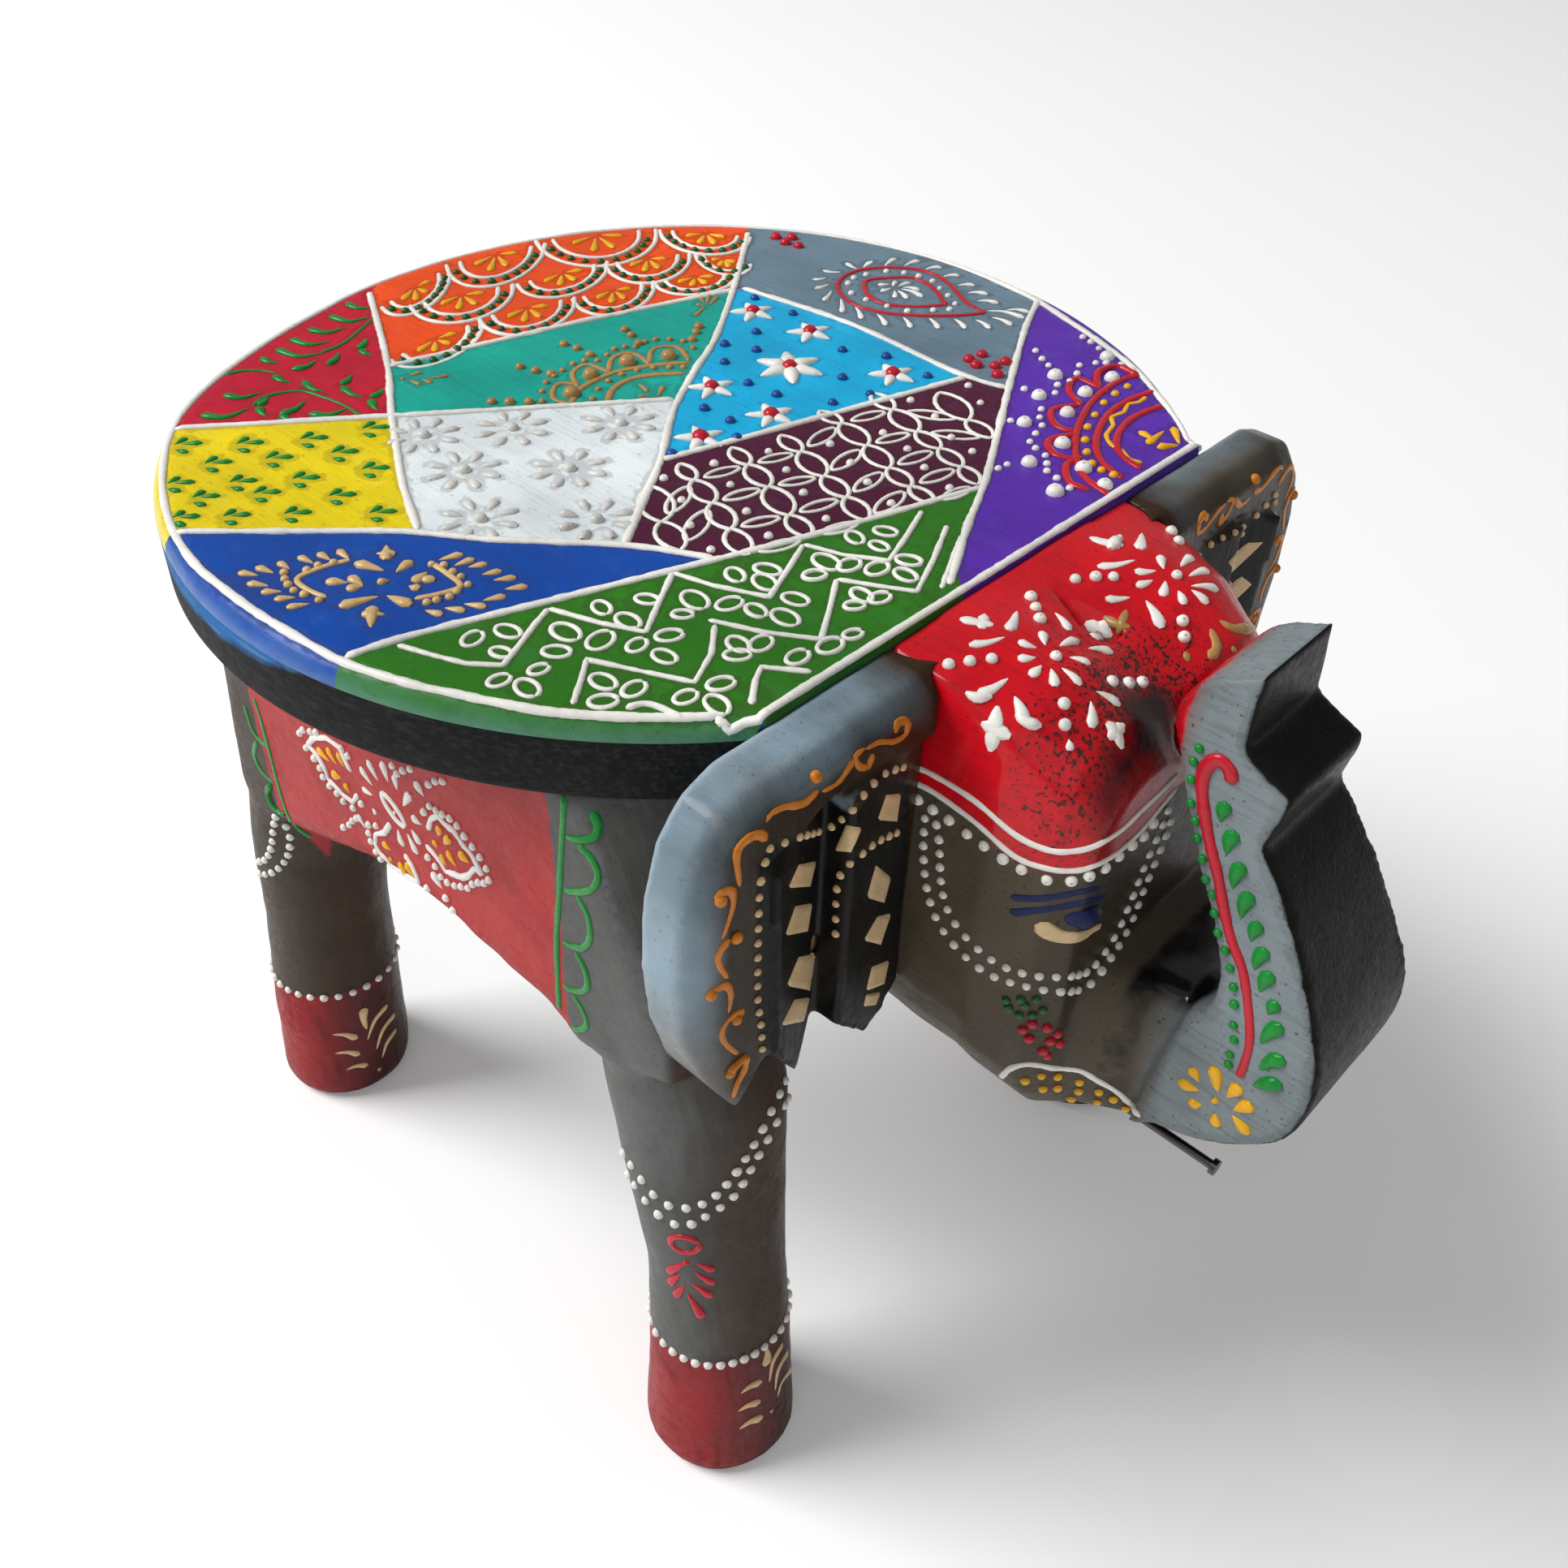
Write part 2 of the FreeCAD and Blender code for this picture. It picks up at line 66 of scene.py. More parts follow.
@dataclass(frozen=True)
class PhotoView:
    """The photograph's camera, as fitted to the stool.

    Args:
        place: where the camera stands.
        yaw: the bearing that it looks along, in degrees from +X towards +Y.
        pitch: how far it looks down, in degrees.
        roll: how far it leans, in degrees.
        focal: the focal length in photo pixels.
        side: the photo's width and height in pixels.
        sensor: the sensor's width in millimetres.
        near: from how far on the camera sees, in metres.
        far: up to how far.
    """

    place: tuple[float, float, float] = (0.21475, -0.2449, 0.4312)
    yaw: float = 131.8
    pitch: float = 40.7
    roll: float = 2.3
    focal: float = 1851.8
    side: int = 1932
    sensor: float = 36.0
    near: float = 0.01
    far: float = 50.0

    def axes(self) -> tuple[Vector, Vector, Vector]:
        """Forward, right and up of the camera.

        Returns:
            The three directions, each of length 1.
        """
        yaw, pitch, roll = map(math.radians, (self.yaw, self.pitch, self.roll))
        level = math.cos(pitch)
        forward = Vector((math.cos(yaw) * level, math.sin(yaw) * level, -math.sin(pitch)))
        across = Vector((math.sin(yaw), -math.cos(yaw), 0.0))
        above = across.cross(forward)
        right = across * math.cos(roll) + above * math.sin(roll)
        up = above * math.cos(roll) - across * math.sin(roll)
        return forward, right, up

    def ray(self, pixel: Pixel) -> tuple[Vector, Vector]:
        """Start and direction of the line of sight through a photo pixel.

        Args:
            pixel: the photo pixel.

        Returns:
            The start and the direction, of length 1.
        """
        forward, right, up = self.axes()
        middle = self.side / 2
        direction = forward * self.focal + right * (pixel[0] - middle) - up * (pixel[1] - middle)
        return Vector(self.place), direction.normalized()

    def on_level(self, pixel: Pixel, height: float) -> Vector:
        """The point that a pixel shows on a level plane."""
        start, direction = self.ray(pixel)
        return start + direction * ((height - start.z) / direction.z)

    def on_front(self, pixel: Pixel, along: float) -> Vector:
        """The point that a pixel shows on an upright plane across the stool."""
        start, direction = self.ray(pixel)
        return start + direction * ((along - start.x) / direction.x)

    def make(self) -> bpy.types.Object:
        """Adds the camera and makes it the scene's own.

        Returns:
            The camera.
        """
        forward, right, up = self.axes()
        data = bpy.data.cameras.new("photo_camera")
        data.sensor_width = self.sensor
        data.lens = self.focal / self.side * self.sensor
        data.clip_start = self.near
        data.clip_end = self.far
        camera = bpy.data.objects.new("photo_camera", data)
        turn = Matrix((right, up, -forward)).transposed().to_4x4()
        camera.matrix_world = Matrix.Translation(Vector(self.place)) @ turn
        bpy.context.scene.collection.objects.link(camera)
        bpy.context.scene.camera = camera
        return camera


VIEW = PhotoView()


# Small helpers for operators


def deselect_all() -> None:
    """Clears the selection in object mode."""
    if bpy.context.object is not None and bpy.context.object.mode != "OBJECT":
        bpy.ops.object.mode_set(mode="OBJECT")
    bpy.ops.object.select_all(action="DESELECT")


def pick(piece: bpy.types.Object) -> None:
    """Makes a piece the only selected and the active one.

    Args:
        piece: the piece.
    """
    deselect_all()
    piece.select_set(True)
    bpy.context.view_layer.objects.active = piece


def new_piece(name: str, mesh: bpy.types.Mesh) -> bpy.types.Object:
    """A new object for a mesh, at the origin.

    Args:
        name: its name.
        mesh: its mesh.

    Returns:
        The object, in the scene's collection.
    """
    piece = bpy.data.objects.new(name, mesh)
    bpy.context.scene.collection.objects.link(piece)
    return piece


def apply_all(piece: bpy.types.Object) -> None:
    """Applies all modifiers of a piece in order.

    Args:
        piece: the mesh object.
    """
    pick(piece)
    for name in [modifier.name for modifier in piece.modifiers]:
        bpy.ops.object.modifier_apply(modifier=name)


def select_faces(piece: bpy.types.Object, test: Callable[[bpy.types.MeshPolygon], bool]) -> None:
    """Selects the faces that pass a test, in object mode, and nothing else.

    Args:
        piece: the mesh object.
        test: says whether a face is selected.
    """
    mesh = piece.data
    for vertex in mesh.vertices:
        vertex.select = False
    for edge in mesh.edges:
        edge.select = False
    for face in mesh.polygons:
        face.select = test(face)


def select_edges(piece: bpy.types.Object, test: Callable[[Vector, Vector], bool]) -> None:
    """Selects the edges whose two ends pass a test, in object mode, and nothing else.

    Args:
        piece: the mesh object.
        test: says whether an edge between two places is selected.
    """
    mesh = piece.data
    for face in mesh.polygons:
        face.select = False
    for vertex in mesh.vertices:
        vertex.select = False
    for edge in mesh.edges:
        ends = [mesh.vertices[index].co for index in edge.vertices]
        edge.select = test(ends[0], ends[1])


def vertex_places(mesh: bpy.types.Mesh) -> np.ndarray:
    """All vertex places of a mesh as rows.

    Args:
        mesh: the mesh.

    Returns:
        One row of X, Y and Z for each vertex.
    """
    places = np.empty(len(mesh.vertices) * 3)
    mesh.vertices.foreach_get("co", places)
    return places.reshape(-1, 3)


def vertex_normals(mesh: bpy.types.Mesh) -> np.ndarray:
    """All vertex normals of a mesh as rows.

    Args:
        mesh: the mesh.

    Returns:
        One row of X, Y and Z for each vertex.
    """
    normals = np.empty(len(mesh.vertices) * 3)
    mesh.vertices.foreach_get("normal", normals)
    return normals.reshape(-1, 3)


def set_attribute(mesh: bpy.types.Mesh, name: str, values: np.ndarray) -> None:
    """Stores one number for each vertex under a name."""
    attribute = mesh.attributes.new(name, "FLOAT", "POINT")
    attribute.data.foreach_set("value", np.asarray(values, dtype=np.float32))


# Lines


def smooth_path(points: Sequence[Sequence[float]], step: float) -> list[Vector]:
    """A smooth path through points, at even steps.

    Args:
        points: the places that the path goes through.
        step: the distance between the points of the path.

    Returns:
        The points of the path.
    """
    knots = [Vector(point) for point in points]
    if len(knots) < 2:
        return knots
    ends = [knots[0] * 2 - knots[1]] + knots + [knots[-1] * 2 - knots[-2]]
    path = []
    for before, start, end, after in zip(ends, ends[1:], ends[2:], ends[3:]):
        parts = max(1, round((end - start).length / step))
        for part in range(parts):
            t = part / parts
            bend = (end - before) * t + (before * 2 - start * 5 + end * 4 - after) * t**2
            bend += (start * 3 - before - end * 3 + after) * t**3
            path.append(start + bend * 0.5)
    return path + [knots[-1]]


def even_places(path: Sequence[Vector], step: float) -> list[Vector]:
    """Places along a path with an even step between them, ends included.

    Args:
        path: the points of the path.
        step: the distance wanted between two places.

    Returns:
        The places from end to end.
    """
    lengths = [0.0]
    for start, end in zip(path, path[1:]):
        lengths.append(lengths[-1] + (end - start).length)
    count = max(1, round(lengths[-1] / step))
    places = []
    index = 0
    for number in range(count + 1):
        target = lengths[-1] * number / count
        while index < len(lengths) - 2 and lengths[index + 1] < target:
            index += 1
        span = lengths[index + 1] - lengths[index]
        share = (target - lengths[index]) / span if span > 0 else 0.0
        places.append(path[index].lerp(path[index + 1], share))
    return places


# Surfaces that paint is laid on


@dataclass(frozen=True)
class Spot:
    """A place on a painted surface with the surface's normal there."""

    place: Vector
    normal: Vector


class Canvas:
    """The finished surface of some pieces, which paint follows."""

    def __init__(self, *pieces: bpy.types.Object) -> None:
        """Keeps the shape of the pieces.

        Args:
            pieces: mesh objects at the origin, with no modifiers left.
        """
        places: list[Vector] = []
        faces: list[tuple[int, ...]] = []
        for piece in pieces:
            first = len(places)
            places += [vertex.co.copy() for vertex in piece.data.vertices]
            faces += [tuple(first + index for index in face.vertices) for face in piece.data.polygons]
        self.tree = BVHTree.FromPolygons(places, faces)

    def seen(self, pixel: Pixel) -> Spot | None:
        """What the photo shows at a pixel, or None beside the pieces.

        Args:
            pixel: the photo pixel.

        Returns:
            The spot, or None.
        """
        start, direction = VIEW.ray(pixel)
        place, normal, _, _ = self.tree.ray_cast(start, direction)
        return None if place is None else Spot(place, normal)

    def outward(self, start: Vector, direction: Vector) -> Vector | None:
        """Where a line from inside the pieces comes out."""
        return self.tree.ray_cast(start, direction)[0]

    def nearest(self, place: Vector) -> Spot:
        """The surface's nearest spot to a place."""
        found, normal, _, _ = self.tree.find_nearest(place)
        return Spot(found, normal)

    def path(self, pixels: Sequence[Pixel], step: float = 7.0) -> list[Vector]:
        """The path on the surface under a smooth line of photo pixels."""
        spots = [self.seen((point.x, point.y)) for point in smooth_path(pixels, step)]
        return [spot.place for spot in spots if spot is not None]


class Patch:
    """A small drawing board laid on a canvas, with its own flat X and Y in millimetres."""

    def __init__(self, canvas: Canvas, middle: Spot, towards: Vector) -> None:
        """Lays the board.

        Args:
            canvas: the surface below.
            middle: where the board's zero lies.
            towards: a place that the board's X axis points to.
        """
        self.canvas = canvas
        self.middle = middle
        along = towards - middle.place
        along -= middle.normal * along.dot(middle.normal)
        self.along = along.normalized()
        self.across = middle.normal.cross(self.along)

    def at(self, x: float, y: float) -> Vector:
        """The surface's place under a point of the board."""
        flat = self.middle.place + self.along * (x * MM) + self.across * (y * MM)
        return self.canvas.nearest(flat).place


# Raised paint


@dataclass(frozen=True)
class Bead:
    """The form of a raised line of paint.

    Args:
        width: how wide the line is.
        rise: its height as a share of half its width.
        knots: how much its width wavers, as a share.
        head: its width at the start, as a share.
        tail: its width at the end, as a share.
        blunt: how square its ends are, from 0 to 1.
    """

    width: float
    rise: float = 0.75
    knots: float = 0.12
    head: float = 1.0
    tail: float = 1.0
    blunt: float = 0.0


class Relief:
    """Raised paint of one colour on one canvas, gathered stroke by stroke."""

    STEP = 1.3 * MM
    SIDES = 2
    WAVER = 160.0
    THICKNESS = 0.45 * MM
    SUNK = 0.25 * MM
    LEAST_ROUND = 0.12
    LINE_WEAR = -0.4
    PLATE_WEAR = -0.2
    # A drop is a dome of width 1 with a small dip in its top.
    DOME_CUT = -0.15
    DOME_FLAT = 0.7
    DIP_DEPTH = 0.14
    DIP_SPREAD = 0.016
    DIP_RADIUS = 0.15
    DIP_WEAR = 0.75
    DROP_WEAR = -0.45
    DROP_UNEVEN = 0.14
    DROP_NOISE = 900.0

    def __init__(self, name: str, canvas: Canvas, slot: str) -> None:
        """Starts an empty relief.

        Args:
            name: the name of the piece that it becomes.
            canvas: the surface that it lies on.
            slot: the record's material slot.
        """
        self.name = name
        self.canvas = canvas
        self.slot = slot
        self.lines: list[tuple[list[Vector], Bead]] = []
        self.dots: list[tuple[Vector, float]] = []
        self.plates: list[list[list[Spot]]] = []

    def plate(self, grid: list[list[Spot]]) -> None:
        """Adds a flat patch of thick paint over a grid of spots."""
        self.plates.append(grid)

    def line(self, path: Sequence[Vector], bead: Bead) -> None:
        """Adds a raised line along a path on the surface."""
        if len(path) > 1:
            self.lines.append((list(path), bead))

    def dot(self, place: Vector, width: float) -> None:
        """Adds a round drop of paint."""
        self.dots.append((place, width))

    def row(self, path: Sequence[Vector], step: float, width: float) -> None:
        """Adds drops at even steps along a path."""
        for place in even_places(path, step):
            self.dot(place, width)

    def mirrored(self, name: str, canvas: Canvas) -> "Relief":
        """The same relief on the elephant's other side.

        Args:
            name: the name of the new piece.
            canvas: the surface of the other side.

        Returns:
            The new relief.
        """
        twin = Relief(name, canvas, self.slot)
        flip = Vector((1.0, -1.0, 1.0))
        twin.lines = [([point * flip for point in path], bead) for path, bead in self.lines]
        twin.dots = [(place * flip, width) for place, width in self.dots]
        twin.plates = [
            [[Spot(spot.place * flip, spot.normal * flip) for spot in reversed(row)] for row in grid]
            for grid in self.plates
        ]
        return twin

    def places(self) -> list[Vector]:
        """Places along all its lines and at its drops.

        Returns:
            The places.
        """
        found = [place for place, _ in self.dots]
        for path, _ in self.lines:
            found += even_places(path, self.STEP)
        return found

    def _radius(self, place: Vector, share: float, length: float, bead: Bead) -> float:
        """Half the width of a bead at a share of its length.

        Args:
            place: where the bead is measured.
            share: how far along it that is, from 0 to 1.
            length: the bead's length.
            bead: its form.

        Returns:
            The radius, in metres.
        """
        half = bead.width / 2
        radius = half * (bead.head + (bead.tail - bead.head) * share)
        radius *= 1 + bead.knots * noise.noise(place * self.WAVER * 4) + bead.knots * noise.noise(place * self.WAVER)
        end = min(share, 1 - share) * length
        round_end = half * (1 - bead.blunt)
        if end < round_end:
            radius *= math.sqrt(max(self.LEAST_ROUND, 1 - (1 - end / round_end) ** 2))
        return radius

    def _curve(self) -> tuple[bpy.types.Object, np.ndarray]:
        """All lines as one mesh of round beads, with the rise of each vertex.

        Returns:
            The mesh object and the rises.
        """
        curve = bpy.data.curves.new(self.name + "_lines", "CURVE")
        curve.dimensions = "3D"
        curve.bevel_depth = 1.0
        curve.bevel_resolution = self.SIDES
        curve.use_fill_caps = True
        counts = []
        for path, bead in self.lines:
            length = sum((end - start).length for start, end in zip(path, path[1:]))
            step = min(self.STEP, bead.width / 2, max(length / 5, bead.width / 6))
            places = even_places(path, step)
            counts.append(len(places))
            spline = curve.splines.new("POLY")
            spline.points.add(len(places) - 1)
            for index, place in enumerate(places):
                spot = self.canvas.nearest(place).place
                spline.points[index].co = (*spot, 1.0)
                spline.points[index].radius = self._radius(spot, index / (len(places) - 1), length, bead)
        piece = bpy.data.objects.new(self.name, curve)
        bpy.context.scene.collection.objects.link(piece)
        pick(piece)
        bpy.ops.object.convert(target="MESH")
        piece = bpy.context.object
        set_attribute(piece.data, "edge", np.full(len(piece.data.vertices), self.LINE_WEAR))
        ring = len(piece.data.vertices) // sum(counts)
        rises = np.repeat([bead.rise for _, bead in self.lines], np.array(counts) * ring)
        return piece, rises

    def _press(self, piece: bpy.types.Object, rises: np.ndarray) -> None:
        """Presses the round beads flatter onto the surface.

        Args:
            piece: the beads as a mesh.
            rises: for each vertex, how much of its height stays.
        """
        for vertex, rise in zip(piece.data.vertices, rises):
            spot = self.canvas.nearest(vertex.co)
            height = (vertex.co - spot.place).dot(spot.normal)
            vertex.co -= spot.normal * (height * (1 - rise))

    def _flats(self) -> bpy.types.Object:
        """All flat patches as one mesh object.

        Returns:
            The mesh object.
        """
        places: list[Vector] = []
        faces: list[tuple[int, ...]] = []
        for grid in self.plates:
            first, rows, columns = len(places), len(grid), len(grid[0])
            for row, spots in enumerate(grid):
                for column, spot in enumerate(spots):
                    rim = row in (0, rows - 1) or column in (0, columns - 1)
                    places.append(spot.place + spot.normal * (-self.SUNK if rim else self.THICKNESS))
            for row in range(rows - 1):
                for column in range(columns - 1):
                    corner = first + row * columns + column
                    faces.append((corner, corner + 1, corner + columns + 1, corner + columns))
        mesh = bpy.data.meshes.new(self.name + "_flats")
        mesh.from_pydata([tuple(place) for place in places], [], faces)
        set_attribute(mesh, "edge", np.full(len(places), self.PLATE_WEAR))
        return new_piece(self.name + "_flats", mesh)

    def _drops(self) -> bpy.types.Object:
        """All drops as one mesh object, each a copy of the same small dome.

        Returns:
            The mesh object.
        """
        deselect_all()
        bpy.ops.mesh.primitive_ico_sphere_add(subdivisions=2, radius=0.5)
        dome = bpy.context.object
        bpy.ops.object.mode_set(mode="EDIT")
        bpy.ops.mesh.select_all(action="SELECT")
        bpy.ops.mesh.bisect(plane_co=(0, 0, self.DOME_CUT), plane_no=(0, 0, 1), clear_inner=True, use_fill=True)
        bpy.ops.transform.resize(value=(1.0, 1.0, self.DOME_FLAT))
        bpy.ops.object.mode_set(mode="OBJECT")
        shape = vertex_places(dome.data)
        dent = np.exp(-((shape[:, 0] ** 2 + shape[:, 1] ** 2) / self.DIP_SPREAD))
        shape[:, 2] -= self.DIP_DEPTH * dent * (shape[:, 2] > self.DIP_RADIUS)
        faces = [tuple(face.vertices) for face in dome.data.polygons]
        bpy.data.objects.remove(dome)
        in_dip = (np.hypot(shape[:, 0], shape[:, 1]) < self.DIP_RADIUS) & (shape[:, 2] > 0)
        wear = np.where(in_dip, self.DIP_WEAR, self.DROP_WEAR)
        places, all_faces = [], []
        for number, (place, width) in enumerate(self.dots):
            spot = self.canvas.nearest(place)
            size = width * (1 + self.DROP_UNEVEN * noise.noise(place * self.DROP_NOISE))
            turn = spot.normal.to_track_quat("Z", "Y").to_matrix()
            stamped = shape @ (np.array(turn.transposed()) * size) + np.array(spot.place)
            all_faces += [tuple(index + number * len(shape) for index in face) for face in faces]
            places.append(stamped)
        mesh = bpy.data.meshes.new(self.name + "_drops")
        mesh.from_pydata(np.vstack(places).tolist(), [], all_faces)
        set_attribute(mesh, "edge", np.tile(wear, len(self.dots)))
        return new_piece(self.name + "_drops", mesh)

    def build(self, material: bpy.types.Material) -> bpy.types.Object:
        """Makes the relief as one piece and dresses it.

        Args:
            material: its paint.

        Returns:
            The finished piece.
        """
        parts = []
        if self.lines:
            piece, rises = self._curve()
            self._press(piece, rises)
            parts.append(piece)
        if self.dots:
            parts.append(self._drops())
        if self.plates:
            parts.append(self._flats())
        deselect_all()
        for part in parts:
            part.select_set(True)
        bpy.context.view_layer.objects.active = parts[0]
        if len(parts) > 1:
            bpy.ops.object.join()
        piece = bpy.context.object
        piece.name = self.name
        piece.data.name = self.name
        bpy.ops.object.shade_smooth()
        piece.data.materials.clear()
        piece.data.materials.append(material)
        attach(piece, "root")
        LOG.info("%s: %d lines, %d drops", self.name, len(self.lines), len(self.dots))
        return piece


# Paints


class Nodes:
    """A node tree with short ways to add and join nodes."""

    def __init__(self, tree: bpy.types.NodeTree) -> None:
        """Keeps the tree."""
        self.tree = tree

    def add(self, kind: str, inputs: dict | None = None, **settings: object) -> bpy.types.Node:
        """Adds a node.

        Args:
            kind: the node's type.
            inputs: sockets or plain values for its inputs, by name or number.
            settings: the node's own settings.

        Returns:
            The new node.
        """
        node = self.tree.nodes.new(kind)
        for name, value in settings.items():
            setattr(node, name, value)
        for name, value in (inputs or {}).items():
            if isinstance(value, bpy.types.NodeSocket):
                self.tree.links.new(value, node.inputs[name])
            else:
                node.inputs[name].default_value = value
        return node

    def noise(self, vector: bpy.types.NodeSocket, scale: float, detail: float = 3.0) -> bpy.types.NodeSocket:
        """A noise value between 0 and 1."""
        node = self.add("ShaderNodeTexNoise", {"Vector": vector, "Scale": scale, "Detail": detail})
        return node.outputs["Fac"]

    def ramp(
        self, value: object, low: float, high: float, start: object = 0.0, end: object = 1.0
    ) -> bpy.types.NodeSocket:
        """The value brought from one range to another, held at its ends."""
        inputs = {"Value": value, "From Min": low, "From Max": high, "To Min": start, "To Max": end}
        return self.add("ShaderNodeMapRange", inputs, clamp=True).outputs["Result"]

    def math(self, operation: str, first: object, second: object) -> bpy.types.NodeSocket:
        """One sum of two values."""
        return self.add("ShaderNodeMath", {0: first, 1: second}, operation=operation).outputs[0]

    def mix(self, factor: object, first: object, second: object, mode: str = "MIX") -> bpy.types.NodeSocket:
        """Two colours mixed."""
        settings = {"data_type": "RGBA", "blend_type": mode}
        return self.add("ShaderNodeMix", {0: factor, 6: first, 7: second}, **settings).outputs[2]


def opaque(colour: Rgb) -> tuple[float, float, float, float]:
    """A colour with full cover."""
    return (*colour, 1.0)


BLOTCH_SCALE = 38.0
FINE_SCALE = 420.0
SPECK_SCALE = 900.0
SPECK_COLOUR = (0.012, 0.010, 0.009)
# From where to where a noise counts, and what it comes to.
STREAK_RANGE = (0.48, 0.70)
TONE_RANGE = (0.30, 0.70, 0.80, 1.10)
RAGGED_FINE = (0.30, 0.70, -0.25, 0.25)
RAGGED_BLOTCH = (0.35, 0.65, -0.25, 0.25)
WORN_RANGE = (0.35, 0.60)
CROWD_RANGE = (0.6, 1.6, 0.0, 0.17)
SPECK_RANGE = (0.66, 0.74)
DULL_FINE = (0.3, 0.7, 0.0, 0.15)
# How much each effect dulls the paint or lifts and sinks its surface.
DULL_SHARES = {"grain": 0.35, "worn": 0.5}
HEIGHT_SHARES = {"streak": 0.8, "worn": 0.5, "speck": 0.8, "fine": 0.35}
MOST_SPECKS = 0.9


def aged_paint_group() -> bpy.types.NodeTree:
    """The shared effect of old brushed paint, made once.

    Returns:
        A group with the inputs Vector, Brush, Paint, Bare, Streaks, Specks, Edge and Wear,
        and the outputs Colour, Dullness and Height.
    """
    known = bpy.data.node_groups.get("aged_paint")
    if known is not None:
        return known
    group = bpy.data.node_groups.new("aged_paint", "ShaderNodeTree")
    for name, kind in (
        ("Vector", "NodeSocketVector"), ("Brush", "NodeSocketVector"), ("Paint", "NodeSocketColor"),
        ("Bare", "NodeSocketColor"), ("Streaks", "NodeSocketFloat"), ("Specks", "NodeSocketFloat"),
        ("Edge", "NodeSocketFloat"), ("Wear", "NodeSocketFloat"),
    ):
        group.interface.new_socket(name, in_out="INPUT", socket_type=kind)
    for name, kind in (
        ("Colour", "NodeSocketColor"), ("Dullness", "NodeSocketFloat"), ("Height", "NodeSocketFloat"),
    ):
        group.interface.new_socket(name, in_out="OUTPUT", socket_type=kind)
    nodes = Nodes(group)
    given = nodes.add("NodeGroupInput").outputs
    blotch = nodes.noise(given["Vector"], BLOTCH_SCALE, 4.0)
    fine = nodes.noise(given["Vector"], FINE_SCALE, 3.0)
    streak = nodes.noise(given["Brush"], 1.0, 6.0)
    grain = nodes.math("MULTIPLY", nodes.ramp(streak, *STREAK_RANGE), given["Streaks"])
    colour = nodes.mix(grain, given["Paint"], given["Bare"])
    tone = nodes.ramp(blotch, *TONE_RANGE)
    shade = nodes.add("ShaderNodeCombineColor", {0: tone, 1: tone, 2: tone}).outputs[0]
    colour = nodes.mix(1.0, colour, shade, "MULTIPLY")
    ragged = nodes.math("ADD", given["Edge"], nodes.ramp(fine, *RAGGED_FINE))
    ragged = nodes.math("ADD", ragged, nodes.ramp(blotch, *RAGGED_BLOTCH))
    worn = nodes.math("MULTIPLY", nodes.ramp(ragged, *WORN_RANGE), given["Wear"])
    colour = nodes.mix(worn, colour, given["Bare"])
    crowd = nodes.ramp(given["Specks"], *CROWD_RANGE)
    speck = nodes.math("ADD", nodes.noise(given["Vector"], SPECK_SCALE, 2.0), crowd)
    most = nodes.math("MINIMUM", given["Specks"], MOST_SPECKS)
    speck = nodes.math("MULTIPLY", nodes.ramp(speck, *SPECK_RANGE), most)
    colour = nodes.mix(speck, colour, opaque(SPECK_COLOUR))
    dull = nodes.math(
        "ADD", nodes.math("MULTIPLY", grain, DULL_SHARES["grain"]), nodes.math("MULTIPLY", worn, DULL_SHARES["worn"])
    )
    dull = nodes.math("ADD", dull, nodes.ramp(fine, *DULL_FINE))
    height = nodes.math("MULTIPLY", streak, HEIGHT_SHARES["streak"])
    height = nodes.math("SUBTRACT", height, nodes.math("MULTIPLY", worn, HEIGHT_SHARES["worn"]))
    height = nodes.math("SUBTRACT", height, nodes.math("MULTIPLY", speck, HEIGHT_SHARES["speck"]))
    height = nodes.math("ADD", height, nodes.math("MULTIPLY", fine, HEIGHT_SHARES["fine"]))
    nodes.add("NodeGroupOutput", {"Colour": colour, "Dullness": dull, "Height": height})
    return group


@dataclass(frozen=True)
class Zone:
    """A painted area of a carved piece.

    Args:
        attribute: the vertex attribute that is above zero inside it, in millimetres.
        colour: its paint.
        soft: how wide its edge is, in millimetres.
        bare: what shows where it is thin or rubbed off.
        coat: how much varnish lies on it, or None for as much as around it.
        specks: how many dark specks lie in it, or None for as many as around it.
    """

    attribute: str
    colour: Rgb
    soft: float = 0.5
    bare: Rgb = (0.02, 0.013, 0.008)
    coat: float | None = None
    specks: float | None = None


